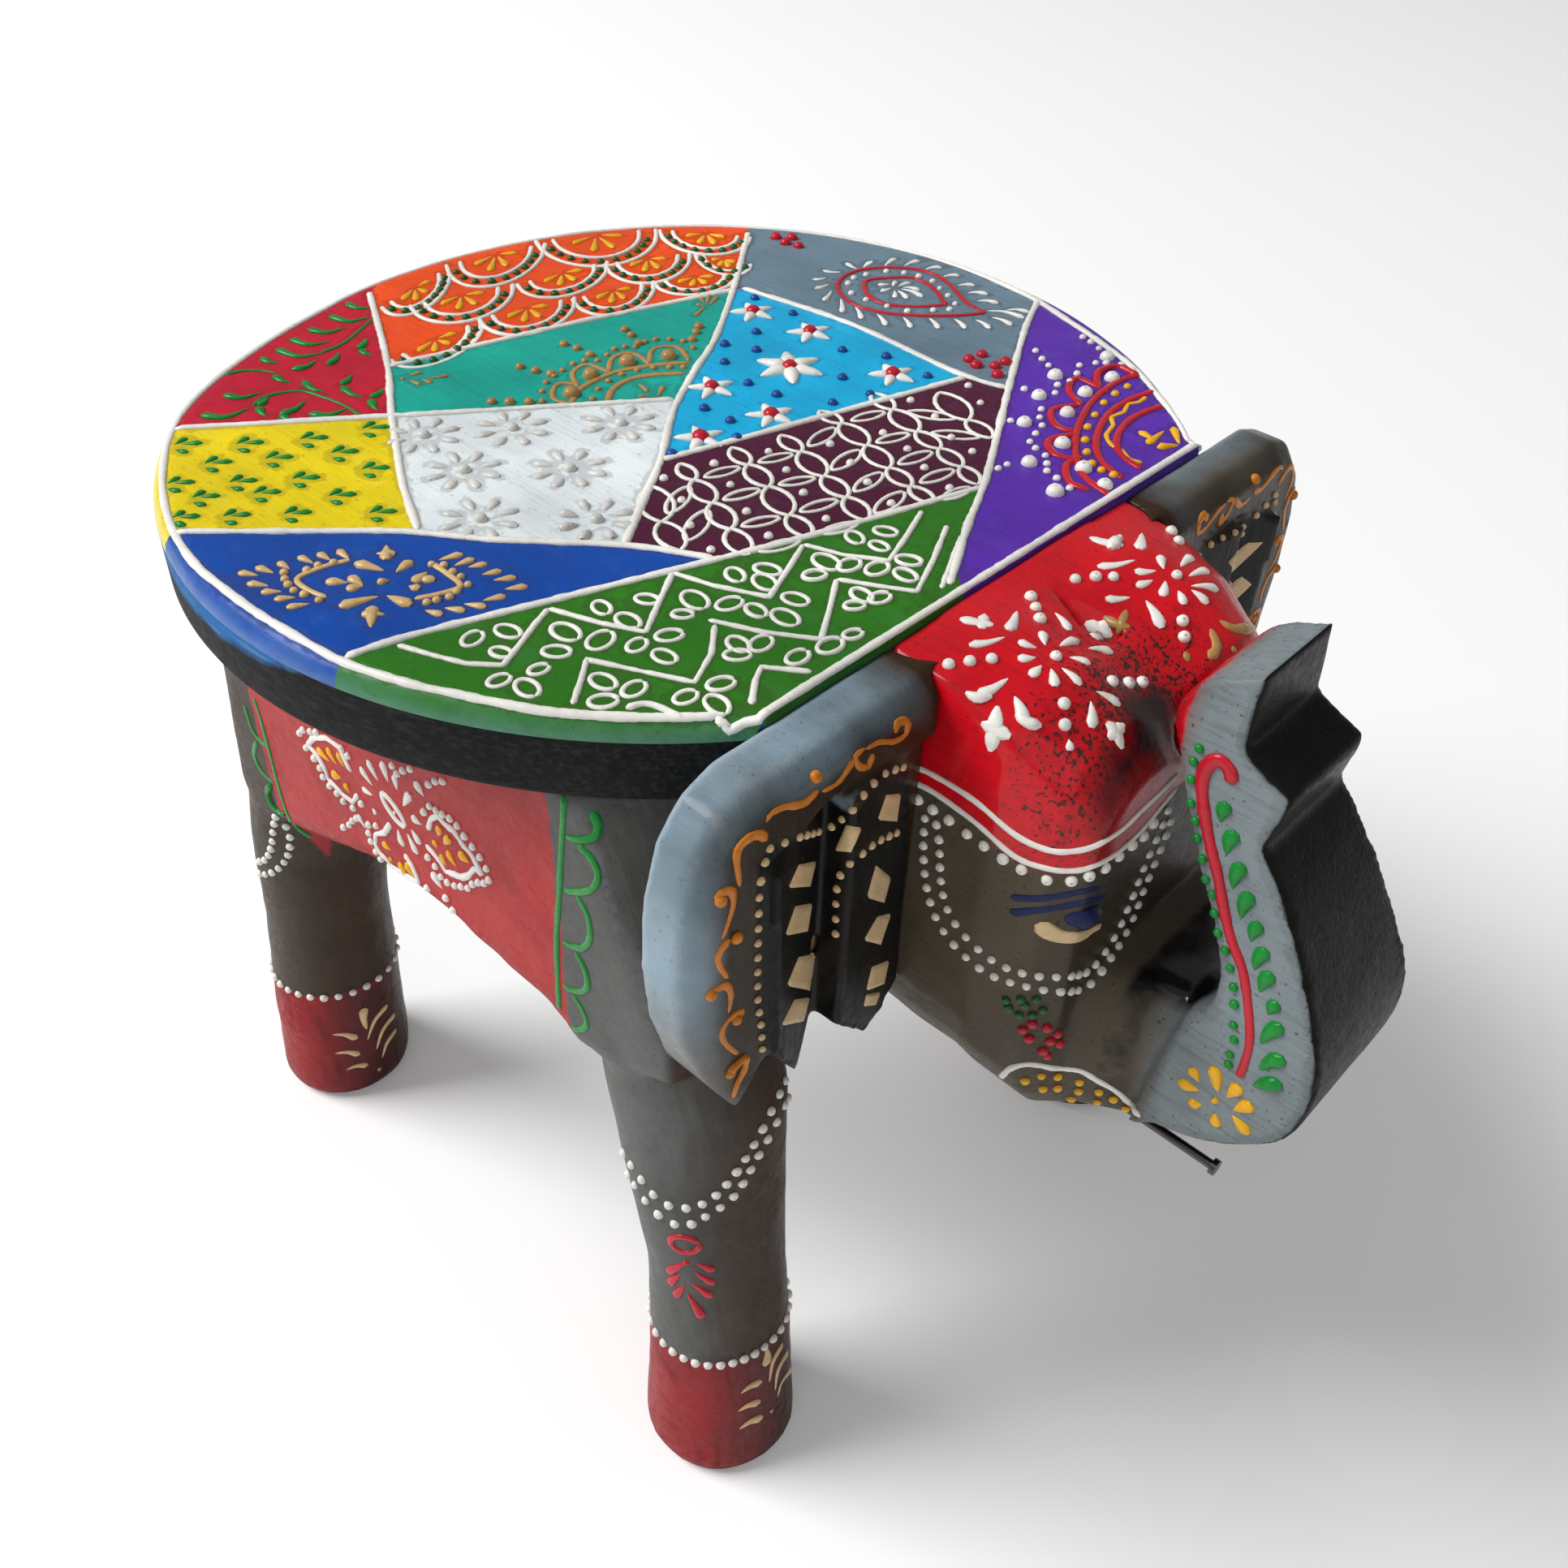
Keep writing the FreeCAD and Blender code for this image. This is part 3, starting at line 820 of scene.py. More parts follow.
@dataclass(frozen=True)
class Paint:
    """A brushed and aged paint.

    Args:
        name: the material's name.
        colour: the paint.
        bare: what shows where it is thin or rubbed off.
        streaks: how much of the brush strokes shows.
        specks: how many dark specks lie in it.
        wear: how far its edges are rubbed.
        roughness: of its smoothest places.
        coat: how much varnish lies over it.
        brush: how closely the streaks lie along X, Y and Z, per metre.
        relief: how deep the brush strokes are, in millimetres.
        shine: how strongly the paint itself reflects.
        zones: other paints on parts of the piece.
    """

    WAVER_SCALE: ClassVar[float] = 160.0
    WAVER: ClassVar[float] = 0.6
    COAT_ROUGHNESS: ClassVar[float] = 0.12

    name: str
    colour: Rgb
    bare: Rgb
    streaks: float = 0.3
    specks: float = 0.3
    wear: float = 0.0
    roughness: float = 0.38
    coat: float = 0.3
    brush: tuple[float, float, float] = (60.0, 900.0, 900.0)
    relief: float = 0.25
    shine: float = 0.14
    zones: tuple[Zone, ...] = ()

    def material(self) -> bpy.types.Material:
        """Makes the paint's material.

        Returns:
            The material.
        """
        made = bpy.data.materials.new(self.name)
        made.use_nodes = True
        nodes = Nodes(made.node_tree)
        surface = made.node_tree.nodes["Principled BSDF"]
        place = nodes.add("ShaderNodeTexCoord").outputs["Object"]
        brush = nodes.add("ShaderNodeMapping", {"Vector": place, "Scale": self.brush}).outputs[0]
        paint: object = opaque(self.colour)
        bare: object = opaque(self.bare)
        coat: object = self.coat
        specks: object = self.specks
        waver = nodes.ramp(nodes.noise(place, self.WAVER_SCALE, 2.0), 0.3, 0.7, -self.WAVER, self.WAVER)
        for zone in self.zones:
            reach = nodes.add("ShaderNodeAttribute", attribute_name=zone.attribute).outputs["Fac"]
            inside = nodes.ramp(nodes.math("ADD", reach, waver), -zone.soft, zone.soft)
            paint = nodes.mix(inside, paint, opaque(zone.colour))
            bare = nodes.mix(inside, bare, opaque(zone.bare))
            if zone.coat is not None:
                coat = nodes.ramp(inside, 0.0, 1.0, coat, zone.coat)
            if zone.specks is not None:
                specks = nodes.ramp(inside, 0.0, 1.0, specks, zone.specks)
        edge = nodes.add("ShaderNodeAttribute", attribute_name="edge").outputs["Fac"]
        inputs = {
            "Vector": place, "Brush": brush, "Paint": paint, "Bare": bare, "Streaks": self.streaks,
            "Specks": specks, "Edge": edge, "Wear": self.wear,
        }
        aged = nodes.add("ShaderNodeGroup", node_tree=aged_paint_group())
        for name, value in inputs.items():
            if isinstance(value, bpy.types.NodeSocket):
                made.node_tree.links.new(value, aged.inputs[name])
            else:
                aged.inputs[name].default_value = value
        bump = nodes.add("ShaderNodeBump", {"Height": aged.outputs["Height"], "Distance": self.relief * MM})
        links = made.node_tree.links
        links.new(aged.outputs["Colour"], surface.inputs["Base Color"])
        links.new(nodes.math("ADD", aged.outputs["Dullness"], self.roughness), surface.inputs["Roughness"])
        links.new(bump.outputs["Normal"], surface.inputs["Normal"])
        surface.inputs["Specular IOR Level"].default_value = self.shine
        if isinstance(coat, bpy.types.NodeSocket):
            links.new(coat, surface.inputs["Coat Weight"])
        else:
            surface.inputs["Coat Weight"].default_value = coat
        surface.inputs["Coat Roughness"].default_value = self.COAT_ROUGHNESS
        return made


@dataclass(frozen=True)
class Metal:
    """A plain metal.

    Args:
        name: the material's name.
        colour: what it reflects.
        roughness: how dull it is.
    """

    name: str
    colour: Rgb
    roughness: float

    def material(self) -> bpy.types.Material:
        """Makes the metal's material.

        Returns:
            The material.
        """
        made = bpy.data.materials.new(self.name)
        made.use_nodes = True
        surface = made.node_tree.nodes["Principled BSDF"]
        surface.inputs["Base Color"].default_value = opaque(self.colour)
        surface.inputs["Metallic"].default_value = 1.0
        surface.inputs["Roughness"].default_value = self.roughness
        return made


# Carved pieces


@dataclass
class CarvedPiece:
    """A piece of the frame whose carved form is softened.

    Args:
        node: the frame's node that it stands for.
        name: its own name.
        slot: the record's material slot; not used.
        grid: how fine its surface is, in metres.
        soften: how many rounds of smoothing it gets.
        uneven: how deep the carver's unevenness is, in metres.
    """

    CARVING_SCALE: ClassVar[float] = 14 * MM
    EDGE_ROUNDS: ClassVar[int] = 4
    EDGE_GAIN: ClassVar[float] = 12.0

    node: str
    name: str
    slot: str
    grid: float
    soften: int
    uneven: float = 0.5 * MM
    piece: bpy.types.Object | None = field(default=None, init=False)

    def build(self) -> bpy.types.Object:
        """Makes the piece from the frame's solid.

        Returns:
            The softened piece.
        """
        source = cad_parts[self.node]
        piece = new_piece(self.name, source.data.copy())
        piece.data.name = self.name
        piece.data.materials.clear()
        pick(piece)
        bpy.ops.object.mode_set(mode="EDIT")
        bpy.ops.mesh.select_all(action="SELECT")
        bpy.ops.mesh.remove_doubles(threshold=MERGE)
        bpy.ops.object.mode_set(mode="OBJECT")
        self._prepare(piece)
        remesh = piece.modifiers.new("even_mesh", "REMESH")
        remesh.mode = "VOXEL"
        remesh.voxel_size = self.grid
        smooth = piece.modifiers.new("softened", "SMOOTH")
        smooth.factor = 0.5
        smooth.iterations = self.soften
        texture = bpy.data.textures.new(self.name + "_carving", "CLOUDS")
        texture.noise_scale = self.CARVING_SCALE
        texture.noise_depth = 1
        carving = piece.modifiers.new("carving_marks", "DISPLACE")
        carving.texture = texture
        carving.texture_coords = "LOCAL"
        carving.strength = self.uneven
        carving.mid_level = 0.5
        apply_all(piece)
        bpy.ops.object.shade_smooth()
        self._mark_edges(piece.data)
        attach(piece, "root")
        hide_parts(self.node)
        self.piece = piece
        LOG.info("%s: %d faces", self.name, len(piece.data.polygons))
        return piece

    def _prepare(self, piece: bpy.types.Object) -> None:
        """Changes the copy before it is softened; most pieces need nothing."""

    def _mark_edges(self, mesh: bpy.types.Mesh) -> None:
        """Stores how far each vertex stands out, for the wear on edges.

        Args:
            mesh: the piece's mesh.
        """
        ends = np.empty(len(mesh.edges) * 2, dtype=np.int64)
        mesh.edges.foreach_get("vertices", ends)
        ends = ends.reshape(-1, 2)
        places, normals = vertex_places(mesh), vertex_normals(mesh)
        degree = np.bincount(ends.ravel(), minlength=len(places)).reshape(-1, 1)

        def around(values: np.ndarray) -> np.ndarray:
            """The mean of each vertex's neighbours.

            Args:
                values: one row for each vertex.

            Returns:
                The means, one row for each vertex.
            """
            total = np.zeros_like(values)
            np.add.at(total, ends[:, 0], values[ends[:, 1]])
            np.add.at(total, ends[:, 1], values[ends[:, 0]])
            return total / np.maximum(degree, 1)

        out = ((places - around(places)) * normals).sum(axis=1, keepdims=True) / self.grid
        for _ in range(self.EDGE_ROUNDS):
            out = (out + around(out)) / 2
        set_attribute(mesh, "edge", np.clip(out[:, 0] * self.EDGE_GAIN, -1.0, 1.0))

    def mark(self, name: str, reach: Callable[[np.ndarray, np.ndarray], np.ndarray]) -> None:
        """Stores a zone's signed reach on each vertex.

        Args:
            name: the attribute's name.
            reach: gives millimetres inside the zone from places in millimetres and normals.
        """
        mesh = self.piece.data
        set_attribute(mesh, name, reach(vertex_places(mesh) / MM, vertex_normals(mesh)))

    def dress(self, paint: Paint) -> None:
        """Gives the piece its paint."""
        self.piece.data.materials.append(paint.material())


class CarvedEar(CarvedPiece):
    """An ear, whose foot is carved down to the level of its outer fold."""

    # In millimetres, apart from the slope.
    SLAB = 15
    FOOT_HEIGHT = 24
    LIP = (70, 84)
    FOLD_EDGE = 92
    FOLD_TOP = 2.6
    FOLD_SLOPE = 0.38

    def _prepare(self, piece: bpy.types.Object) -> None:
        """Takes off the thin lip that stands along the outer fold's foot.

        Args:
            piece: the ear.
        """
        low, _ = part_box(self.node)
        level = low.x + self.SLAB * MM
        for vertex in piece.data.vertices:
            place = vertex.co
            out = abs(place.y) / MM
            on_face = abs(place.x - level) < 0.5 * MM and place.z < low.z + self.FOOT_HEIGHT * MM
            if on_face and self.LIP[0] < out < self.LIP[1]:
                vertex.co.x = level + (self.FOLD_TOP - (self.FOLD_EDGE - out) * self.FOLD_SLOPE) * MM


# Seat board


@dataclass(frozen=True)
class SeatLine:
    """A white line between two of the seat's painted patches, in photo pixels."""

    points: tuple[Pixel, ...]


LEFT_CROSS_LINE = SeatLine(((452, 350), (462, 385), (478, 450), (482, 505), (490, 560), (497, 600), (515, 652)))
LEFT_LEVEL_LINE = SeatLine(((213, 528), (480, 513), (830, 492)))
FAR_LEVEL_LINE = SeatLine(((478, 452), (700, 400), (905, 357)))
MIDDLE_CROSS_LINE = SeatLine(
    ((925, 275), (905, 352), (880, 420), (860, 450), (830, 505), (815, 565), (800, 600), (770, 670))
)
FAR_RIGHT_LINE = SeatLine(((915, 355), (1050, 400), (1180, 460), (1240, 478)))
RIGHT_LEVEL_LINE = SeatLine(((815, 567), (1000, 517), (1190, 465)))
RIGHT_CROSS_LINE = SeatLine(((1280, 370), (1265, 400), (1245, 470), (1215, 590), (1195, 640), (1170, 720)))
NEAR_LEVEL_LINE = SeatLine(((213, 655), (350, 655), (500, 655), (600, 665), (770, 672), (880, 688)))
NEAR_SLANT_LINE = SeatLine(((425, 810), (500, 785), (700, 735), (880, 690), (1000, 660), (1210, 600)))
SEAT_LINES = (
    LEFT_CROSS_LINE, LEFT_LEVEL_LINE, FAR_LEVEL_LINE, MIDDLE_CROSS_LINE, FAR_RIGHT_LINE, RIGHT_LEVEL_LINE,
    RIGHT_CROSS_LINE, NEAR_LEVEL_LINE, NEAR_SLANT_LINE,
)


BORDER_PIXELS = (
    (885, 899), (820, 892), (760, 887), (700, 880), (620, 866), (560, 853), (500, 840), (430, 818), (400, 803),
    (350, 775), (310, 750), (270, 720), (235, 690), (212, 655), (203, 630), (198, 600), (200, 560), (205, 528),
    (225, 505), (255, 475), (300, 440), (350, 408), (400, 380), (452, 350), (520, 326), (600, 304), (700, 286),
    (800, 277), (870, 275), (925, 277), (1000, 284), (1050, 292), (1100, 303), (1150, 317), (1200, 335), (1250, 357),
    (1280, 372), (1320, 398), (1350, 418), (1400, 456), (1430, 490), (1450, 513), (1470, 540),
)
RIM_TRIMS = (
    (-180, 5.0), (-164, 5.5), (-148, 4.0), (-134, 0.5), (-120, 0.0), (25, 0.0), (37, 2.0), (48, 5.0), (66, 6.5),
    (93, 6.5), (107, 5.5), (120, 4.0), (136, 3.0), (156, 3.5), (180, 5.0),
)
SPILLS = (
    (-180, -3.0), (-128, -3.0), (-120, 1.0), (-112, 4.0), (-102, 5.5), (-92, 4.5), (-84, 2.0), (-76, -3.0),
    (180, -3.0),
)


class SeatPatch(Enum):
    """The seat's painted patches, each with a photo pixel inside it."""

    CRIMSON = (360, 440)
    ORANGE = (680, 350)
    TEAL = (650, 450)
    SLATE = (1080, 360)
    CYAN = (980, 460)
    WHITE = (650, 590)
    MAROON = (1020, 580)
    PURPLE = (1330, 520)
    YELLOW = (350, 590)
    BLUE = (470, 710)
    GREEN = (850, 790)


@dataclass
class SeatBoard:
    """The round seat board with its painted patches.

    Args:
        half_length: of its oval, along X.
        top_bevel: the rounding of its upper edge.
        under_bevel: the bevel of its lower edge.
        border_inset: how far inside the rim the white border line stays.
        front_inset: the same along the straight front.
        line_width: the width of the white lines.
        corners: how many corners the oval has.
        snap: how near to the rim a line's end is drawn onto it.
        grid: the step of the top's mesh.
        front_cuts: how often the straight front is divided.
        least_rise: the normal's Z from which a face of the edge has its patch's paint.
        least_front: the same for the normal's X on the straight front.
        cross: how far a line runs on past another one, in millimetres.
        weld: how near to each other two corners of the top are one, in millimetres.
        scuff_start: how far below the top the edge is scuffed, in millimetres.
        line_step: the distance between the points of a line between two patches.
        border_step: the same for the border line.
        corner_gap: how far the border line's corners at the front lie from its ends.
        smooth_angle: the edge angle up to which the board is shaded round, in degrees.
        dirt_shade_start: how much dirt and painted shade lie beside a raised line.
        least_dirt_shade: the same far from the lines.
    """

    half_length: float = 127 * MM
    top_bevel: float = 5.0 * MM
    under_bevel: float = 1.6 * MM
    border_inset: float = 2.2 * MM
    front_inset: float = 1.2 * MM
    line_width: float = 2.1 * MM
    corners: int = 256
    snap: float = 10 * MM
    grid: float = 1.7 * MM
    front_cuts: int = 63
    least_rise: float = 0.08
    least_front: float = 0.9
    cross: float = 4.0
    weld: float = 0.01
    scuff_start: float = 2.6
    line_step: float = 8 * MM
    border_step: float = 3 * MM
    corner_gap: float = 2 * MM
    smooth_angle: float = 40.0
    dirt_shade_start: float = 1.1
    least_dirt_shade: float = -0.4

    def __post_init__(self) -> None:
        """Reads the board's place from the frame."""
        low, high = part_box("seat_board")
        self.low, self.high = low, high
        self.middle = Vector((low.x + self.half_length, 0.0, high.z))
        self.half_width = high.y

    def inside(self, place: Vector) -> float:
        """How far inside the board's outline a place lies, in metres, roughly.

        Args:
            place: a place on the top.

        Returns:
            The distance, below zero outside.
        """
        across = Vector(((place.x - self.middle.x) / self.half_length, place.y / self.half_width))
        oval = (1 - across.length) * (self.half_length + self.half_width) / 2
        return min(oval - self._trim(place), self.high.x - place.x)

    def _trim(self, place: Vector) -> float:
        """How much the saw took off the oval in the direction of a place, in metres."""
        return float(np.interp(self._turn(place), *zip(*RIM_TRIMS))) * MM

    def _turn(self, place: Vector) -> float:
        """The direction of a place from the oval's middle, in degrees."""
        return math.degrees(math.atan2(place.y / self.half_width, (place.x - self.middle.x) / self.half_length))

    def _block(self) -> bpy.types.Object:
        """The board's body: an oval disc, cut straight at the front, with both edges bevelled.

        Returns:
            The board, with one flat face on top.
        """
        deselect_all()
        depth = self.high.z - self.low.z
        bpy.ops.mesh.primitive_cylinder_add(
            vertices=self.corners, radius=1.0, depth=depth, end_fill_type="NGON",
            location=(self.middle.x, 0.0, self.low.z + depth / 2),
        )
        board = bpy.context.object
        board.scale = (self.half_length, self.half_width, 1.0)
        bpy.ops.object.transform_apply(location=True, rotation=False, scale=True)
        for vertex in board.data.vertices:
            outward = Vector((vertex.co.x - self.middle.x, vertex.co.y, 0.0)).normalized()
            vertex.co -= outward * self._trim(vertex.co)
        bpy.ops.object.mode_set(mode="EDIT")
        bpy.ops.mesh.select_all(action="SELECT")
        bpy.ops.mesh.bisect(plane_co=(self.high.x, 0, 0), plane_no=(1, 0, 0), clear_outer=True, use_fill=True)
        bpy.ops.object.mode_set(mode="OBJECT")
        front = self.high.x - HAIR
        select_edges(board, lambda a, b: min(a.x, b.x) > front and abs(a.z - b.z) < MM)
        bpy.ops.object.mode_set(mode="EDIT")
        bpy.ops.mesh.subdivide(number_cuts=self.front_cuts)
        bpy.ops.object.mode_set(mode="OBJECT")
        top = self.high.z - HAIR
        select_edges(board, lambda a, b: min(a.z, b.z) > top and min(a.x, b.x) < front)
        bpy.ops.object.mode_set(mode="EDIT")
        bpy.ops.mesh.bevel(offset=self.top_bevel, segments=4, profile=0.5, clamp_overlap=False)
        bpy.ops.object.mode_set(mode="OBJECT")
        under = self.low.z + HAIR
        select_edges(board, lambda a, b: max(a.z, b.z) < under)
        bpy.ops.object.mode_set(mode="EDIT")
        bpy.ops.mesh.bevel(offset=self.under_bevel, segments=2, profile=0.5, clamp_overlap=False)
        bpy.ops.object.mode_set(mode="OBJECT")
        return board

    def _open_top(self, board: bpy.types.Object) -> list[Vector]:
        """Takes the top face off and returns its corners in order.

        Args:
            board: the board.

        Returns:
            The corners.
        """
        top = self.high.z - HAIR / 2
        faces = [face for face in board.data.polygons if all(board.data.vertices[i].co.z > top for i in face.vertices)]
        widest = max(faces, key=lambda face: face.area)
        rim = [board.data.vertices[index].co.copy() for index in widest.vertices]
        number = widest.index
        pick(board)
        select_faces(board, lambda face: face.index == number)
        bpy.ops.object.mode_set(mode="EDIT")
        bpy.ops.mesh.delete(type="ONLY_FACE")
        bpy.ops.object.mode_set(mode="OBJECT")
        return rim

    def _snapped(self, place: Vector, rim: list[Vector]) -> Vector:
        """A line's end, moved onto the rim where it lies close to it.

        Args:
            place: the line's end.
            rim: the corners of the top.

        Returns:
            The place on the rim, or the end itself.
        """
        if self.inside(place) > self.snap:
            return place
        return min(rim, key=lambda corner: (corner - place).length)

    def line_paths(self, rim: list[Vector]) -> list[list[Vector]]:
        """The white lines on the board's top, ending on the rim or on each other.

        Args:
            rim: the corners of the top.

        Returns:
            One path for each line.
        """
        paths = []
        self.drawn = []
        for line in SEAT_LINES:
            knots = [VIEW.on_level(pixel, self.high.z) for pixel in line.points]
            path = smooth_path(knots, self.line_step)
            self.drawn.append([place for place in path if self.inside(place) > self.line_width])
            path[0] = self._snapped(path[0], rim)
            path[-1] = self._snapped(path[-1], rim)
            paths.append(path)
        return paths

    def _patchwork(
        self, rim: list[Vector], paths: list[list[Vector]], materials: list[bpy.types.Material]
    ) -> bpy.types.Object:
        """The board's top, divided along the white lines, each patch with its own material.

        Args:
            rim: the top's corners in order.
            paths: the white lines.
            materials: the patches' materials, in the order of SeatPatch.

        Returns:
            The top as a piece of its own.
        """
        corners, edges = self._outlines(rim, paths)
        places, lines, faces, _, origins, _ = geometry.delaunay_2d_cdt(
            corners + self._grid_points(), edges, [], 1, self.weld
        )
        walls = {frozenset(line) for line, origin in zip(lines, origins) if origin}
        patch = self._flooded(places, faces, walls)
        LOG.info("seat patches: %d triangles, %d without a patch", len(faces), patch.count(-1))
        mesh = bpy.data.meshes.new("seat_top")
        mesh.from_pydata([(p.x * MM, p.y * MM, self.high.z) for p in places], [], [tuple(face) for face in faces])
        for material in materials:
            mesh.materials.append(material)
        mesh.polygons.foreach_set("material_index", [max(0, number) for number in patch])
        return new_piece("seat_top", mesh)

    def _outlines(
        self, rim: list[Vector], paths: list[list[Vector]]
    ) -> tuple[list[Vector], list[tuple[int, int]]]:
        """The rim and the white lines as flat corners and edges, in millimetres.

        Args:
            rim: the top's corners in order.
            paths: the white lines.

        Returns:
            The corners, and the edges between them.
        """
        corners = [Vector((corner.x, corner.y)) / MM for corner in rim]
        edges = [(index, (index + 1) % len(rim)) for index in range(len(rim))]
        for path in paths:
            flat = [Vector((point.x, point.y)) / MM for point in path]
            for end, near in ((0, 1), (-1, -2)):
                if self.inside(path[end]) > self.snap:
                    flat[end] = flat[end] + (flat[end] - flat[near]).normalized() * self.cross
            first = len(corners)
            corners += flat
            edges += [(first + index, first + index + 1) for index in range(len(flat) - 1)]
        return corners, edges

    def _flooded(self, places: list[Vector], faces: list[list[int]], walls: set[frozenset]) -> list[int]:
        """Spreads each patch from its seed up to the white lines.

        Args:
            places: the triangles' corners, in millimetres.
            faces: the triangles.
            walls: the edges that no patch crosses.

        Returns:
            For each triangle its patch's number, or -1 for none.
        """
        neighbours: dict[frozenset, list[int]] = {}
        for number, face in enumerate(faces):
            for start, end in zip(face, face[1:] + face[:1]):
                neighbours.setdefault(frozenset((start, end)), []).append(number)
        patch = [-1] * len(faces)
        for index, seed in enumerate(SeatPatch):
            place = VIEW.on_level(seed.value, self.high.z) / MM
            gaps = [self._outside(Vector((place.x, place.y)), [places[i] for i in face]) for face in faces]
            waiting = [gaps.index(min(gaps))]
            while waiting:
                number = waiting.pop()
                if patch[number] >= 0:
                    continue
                patch[number] = index
                face = faces[number]
                for start, end in zip(face, face[1:] + face[:1]):
                    side = frozenset((start, end))
                    if side not in walls:
                        waiting += [other for other in neighbours[side] if patch[other] < 0]
        return patch

    def _grid_points(self) -> list[Vector]:
        """Points all over the top, for the dirt and painted shade between the raised lines, in millimetres.

        Returns:
            The points, as X and Y.
        """
        points = []
        across = int(2 * self.half_width / self.grid)
        for row in range(across):
            for column in range(across):
                x = self.low.x + (column + 0.5 * (row % 2)) * self.grid
                place = Vector((x, -self.half_width + row * self.grid, self.high.z))
                if self.inside(place) > self.top_bevel + self.grid:
                    points.append(Vector((place.x, place.y)) / MM)
        return points

    @staticmethod
    def _outside(point: Vector, triangle: list[Vector]) -> float:
        """How far a point lies outside a triangle, at most zero inside.

        Args:
            point: the point.
            triangle: the triangle's corners.

        Returns:
            The distance, in millimetres.
        """
        sides = zip(triangle, triangle[1:] + triangle[:1])
        turn = [(b - a).normalized().cross(point - a) for a, b in sides]
        return max(-min(turn), 0.0) if sum(turn) > 0 else max(max(turn), 0.0)

    def build(self, paints: dict[SeatPatch, Paint], side: Paint) -> bpy.types.Object:
        """Makes the board as one piece.

        Args:
            paints: the paint of each patch.
            side: the paint of its side and underside.

        Returns:
            The finished board.
        """
        board = self._block()
        rim = self._open_top(board)
        top = self._patchwork(rim, self.line_paths(rim), [paints[patch].material() for patch in SeatPatch])
        board.data.materials.clear()
        for material in top.data.materials:
            board.data.materials.append(material)
        board.data.materials.append(side.material())
        self._paint_edge(board, top)
        deselect_all()
        top.select_set(True)
        board.select_set(True)
        bpy.context.view_layer.objects.active = board
        bpy.ops.object.join()
        board.name = "painted_seat"
        board.data.name = "painted_seat"
        bpy.ops.object.mode_set(mode="EDIT")
        bpy.ops.mesh.select_all(action="SELECT")
        bpy.ops.mesh.remove_doubles(threshold=MERGE)
        bpy.ops.mesh.normals_make_consistent(inside=False)
        bpy.ops.object.mode_set(mode="OBJECT")
        bpy.ops.object.shade_smooth_by_angle(angle=math.radians(self.smooth_angle))
        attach(board, "root")
        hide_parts("seat_board", "seat_nails")
        LOG.info("painted_seat: %d faces", len(board.data.polygons))
        return board

    def _paint_edge(self, board: bpy.types.Object, top: bpy.types.Object) -> None:
        """Gives the faces of the board's upper edge the material of the nearest patch.

        Args:
            board: the board, with the side's material last.
            top: the patchwork on it.
        """
        tree = BVHTree.FromPolygons(
            [vertex.co.copy() for vertex in top.data.vertices], [tuple(face.vertices) for face in top.data.polygons]
        )
        for face in board.data.polygons:
            face.material_index = len(SeatPatch)
            if face.normal.z > self.least_rise or face.normal.x > self.least_front:
                _, _, number, _ = tree.find_nearest(face.center)
                face.material_index = top.data.polygons[number].material_index

    def border(self) -> list[Vector]:
        """The white border line's path round the oval and along the straight front.

        Returns:
            The path.
        """
        front = self.high.x - self.front_inset
        path = []
        knots = [VIEW.on_level(pixel, self.high.z) for pixel in BORDER_PIXELS]
        for point in smooth_path(knots, self.border_step):
            outward = Vector((point.x - self.middle.x, point.y, 0.0)).normalized()
            lack = self.border_inset - self.inside(point)
            if lack > 0:
                point = point - outward * lack
            path.append(Vector((min(point.x, front), point.y, self.high.z)))
        widths = (path[-1].y + self.corner_gap, path[0].y - self.corner_gap)
        return path + [Vector((front, across, self.high.z)) for across in widths] + [path[0]]

    def soil_and_shade(self, raised: list[Vector], reach: float) -> None:
        """Marks where dirt and painted shade lie along raised paint.

        Args:
            raised: places along the raised paint.
            reach: how far from it the dirt and painted shade lie.
        """
        mesh = bpy.data.objects["painted_seat"].data
        near = KDTree(len(raised))
        for index, place in enumerate(raised):
            near.insert(place, index)
        near.balance()
        gaps = np.array([near.find(vertex.co)[2] for vertex in mesh.vertices])
        # Dirt and painted shade, strongest right beside the raised paint.
        set_attribute(mesh, "edge", np.clip(self.dirt_shade_start - gaps / reach, self.least_dirt_shade, 1.0))
        places = vertex_places(mesh)
        set_attribute(mesh, "scuff", (self.high.z - places[:, 2]) / MM - self.scuff_start)
        turns = [self._turn(vertex.co) for vertex in mesh.vertices]
        spill = np.interp(turns, *zip(*SPILLS))
        set_attribute(mesh, "spill", (places[:, 2] - self.high.z + self.top_bevel) / MM + spill)


# Raised patterns on the seat


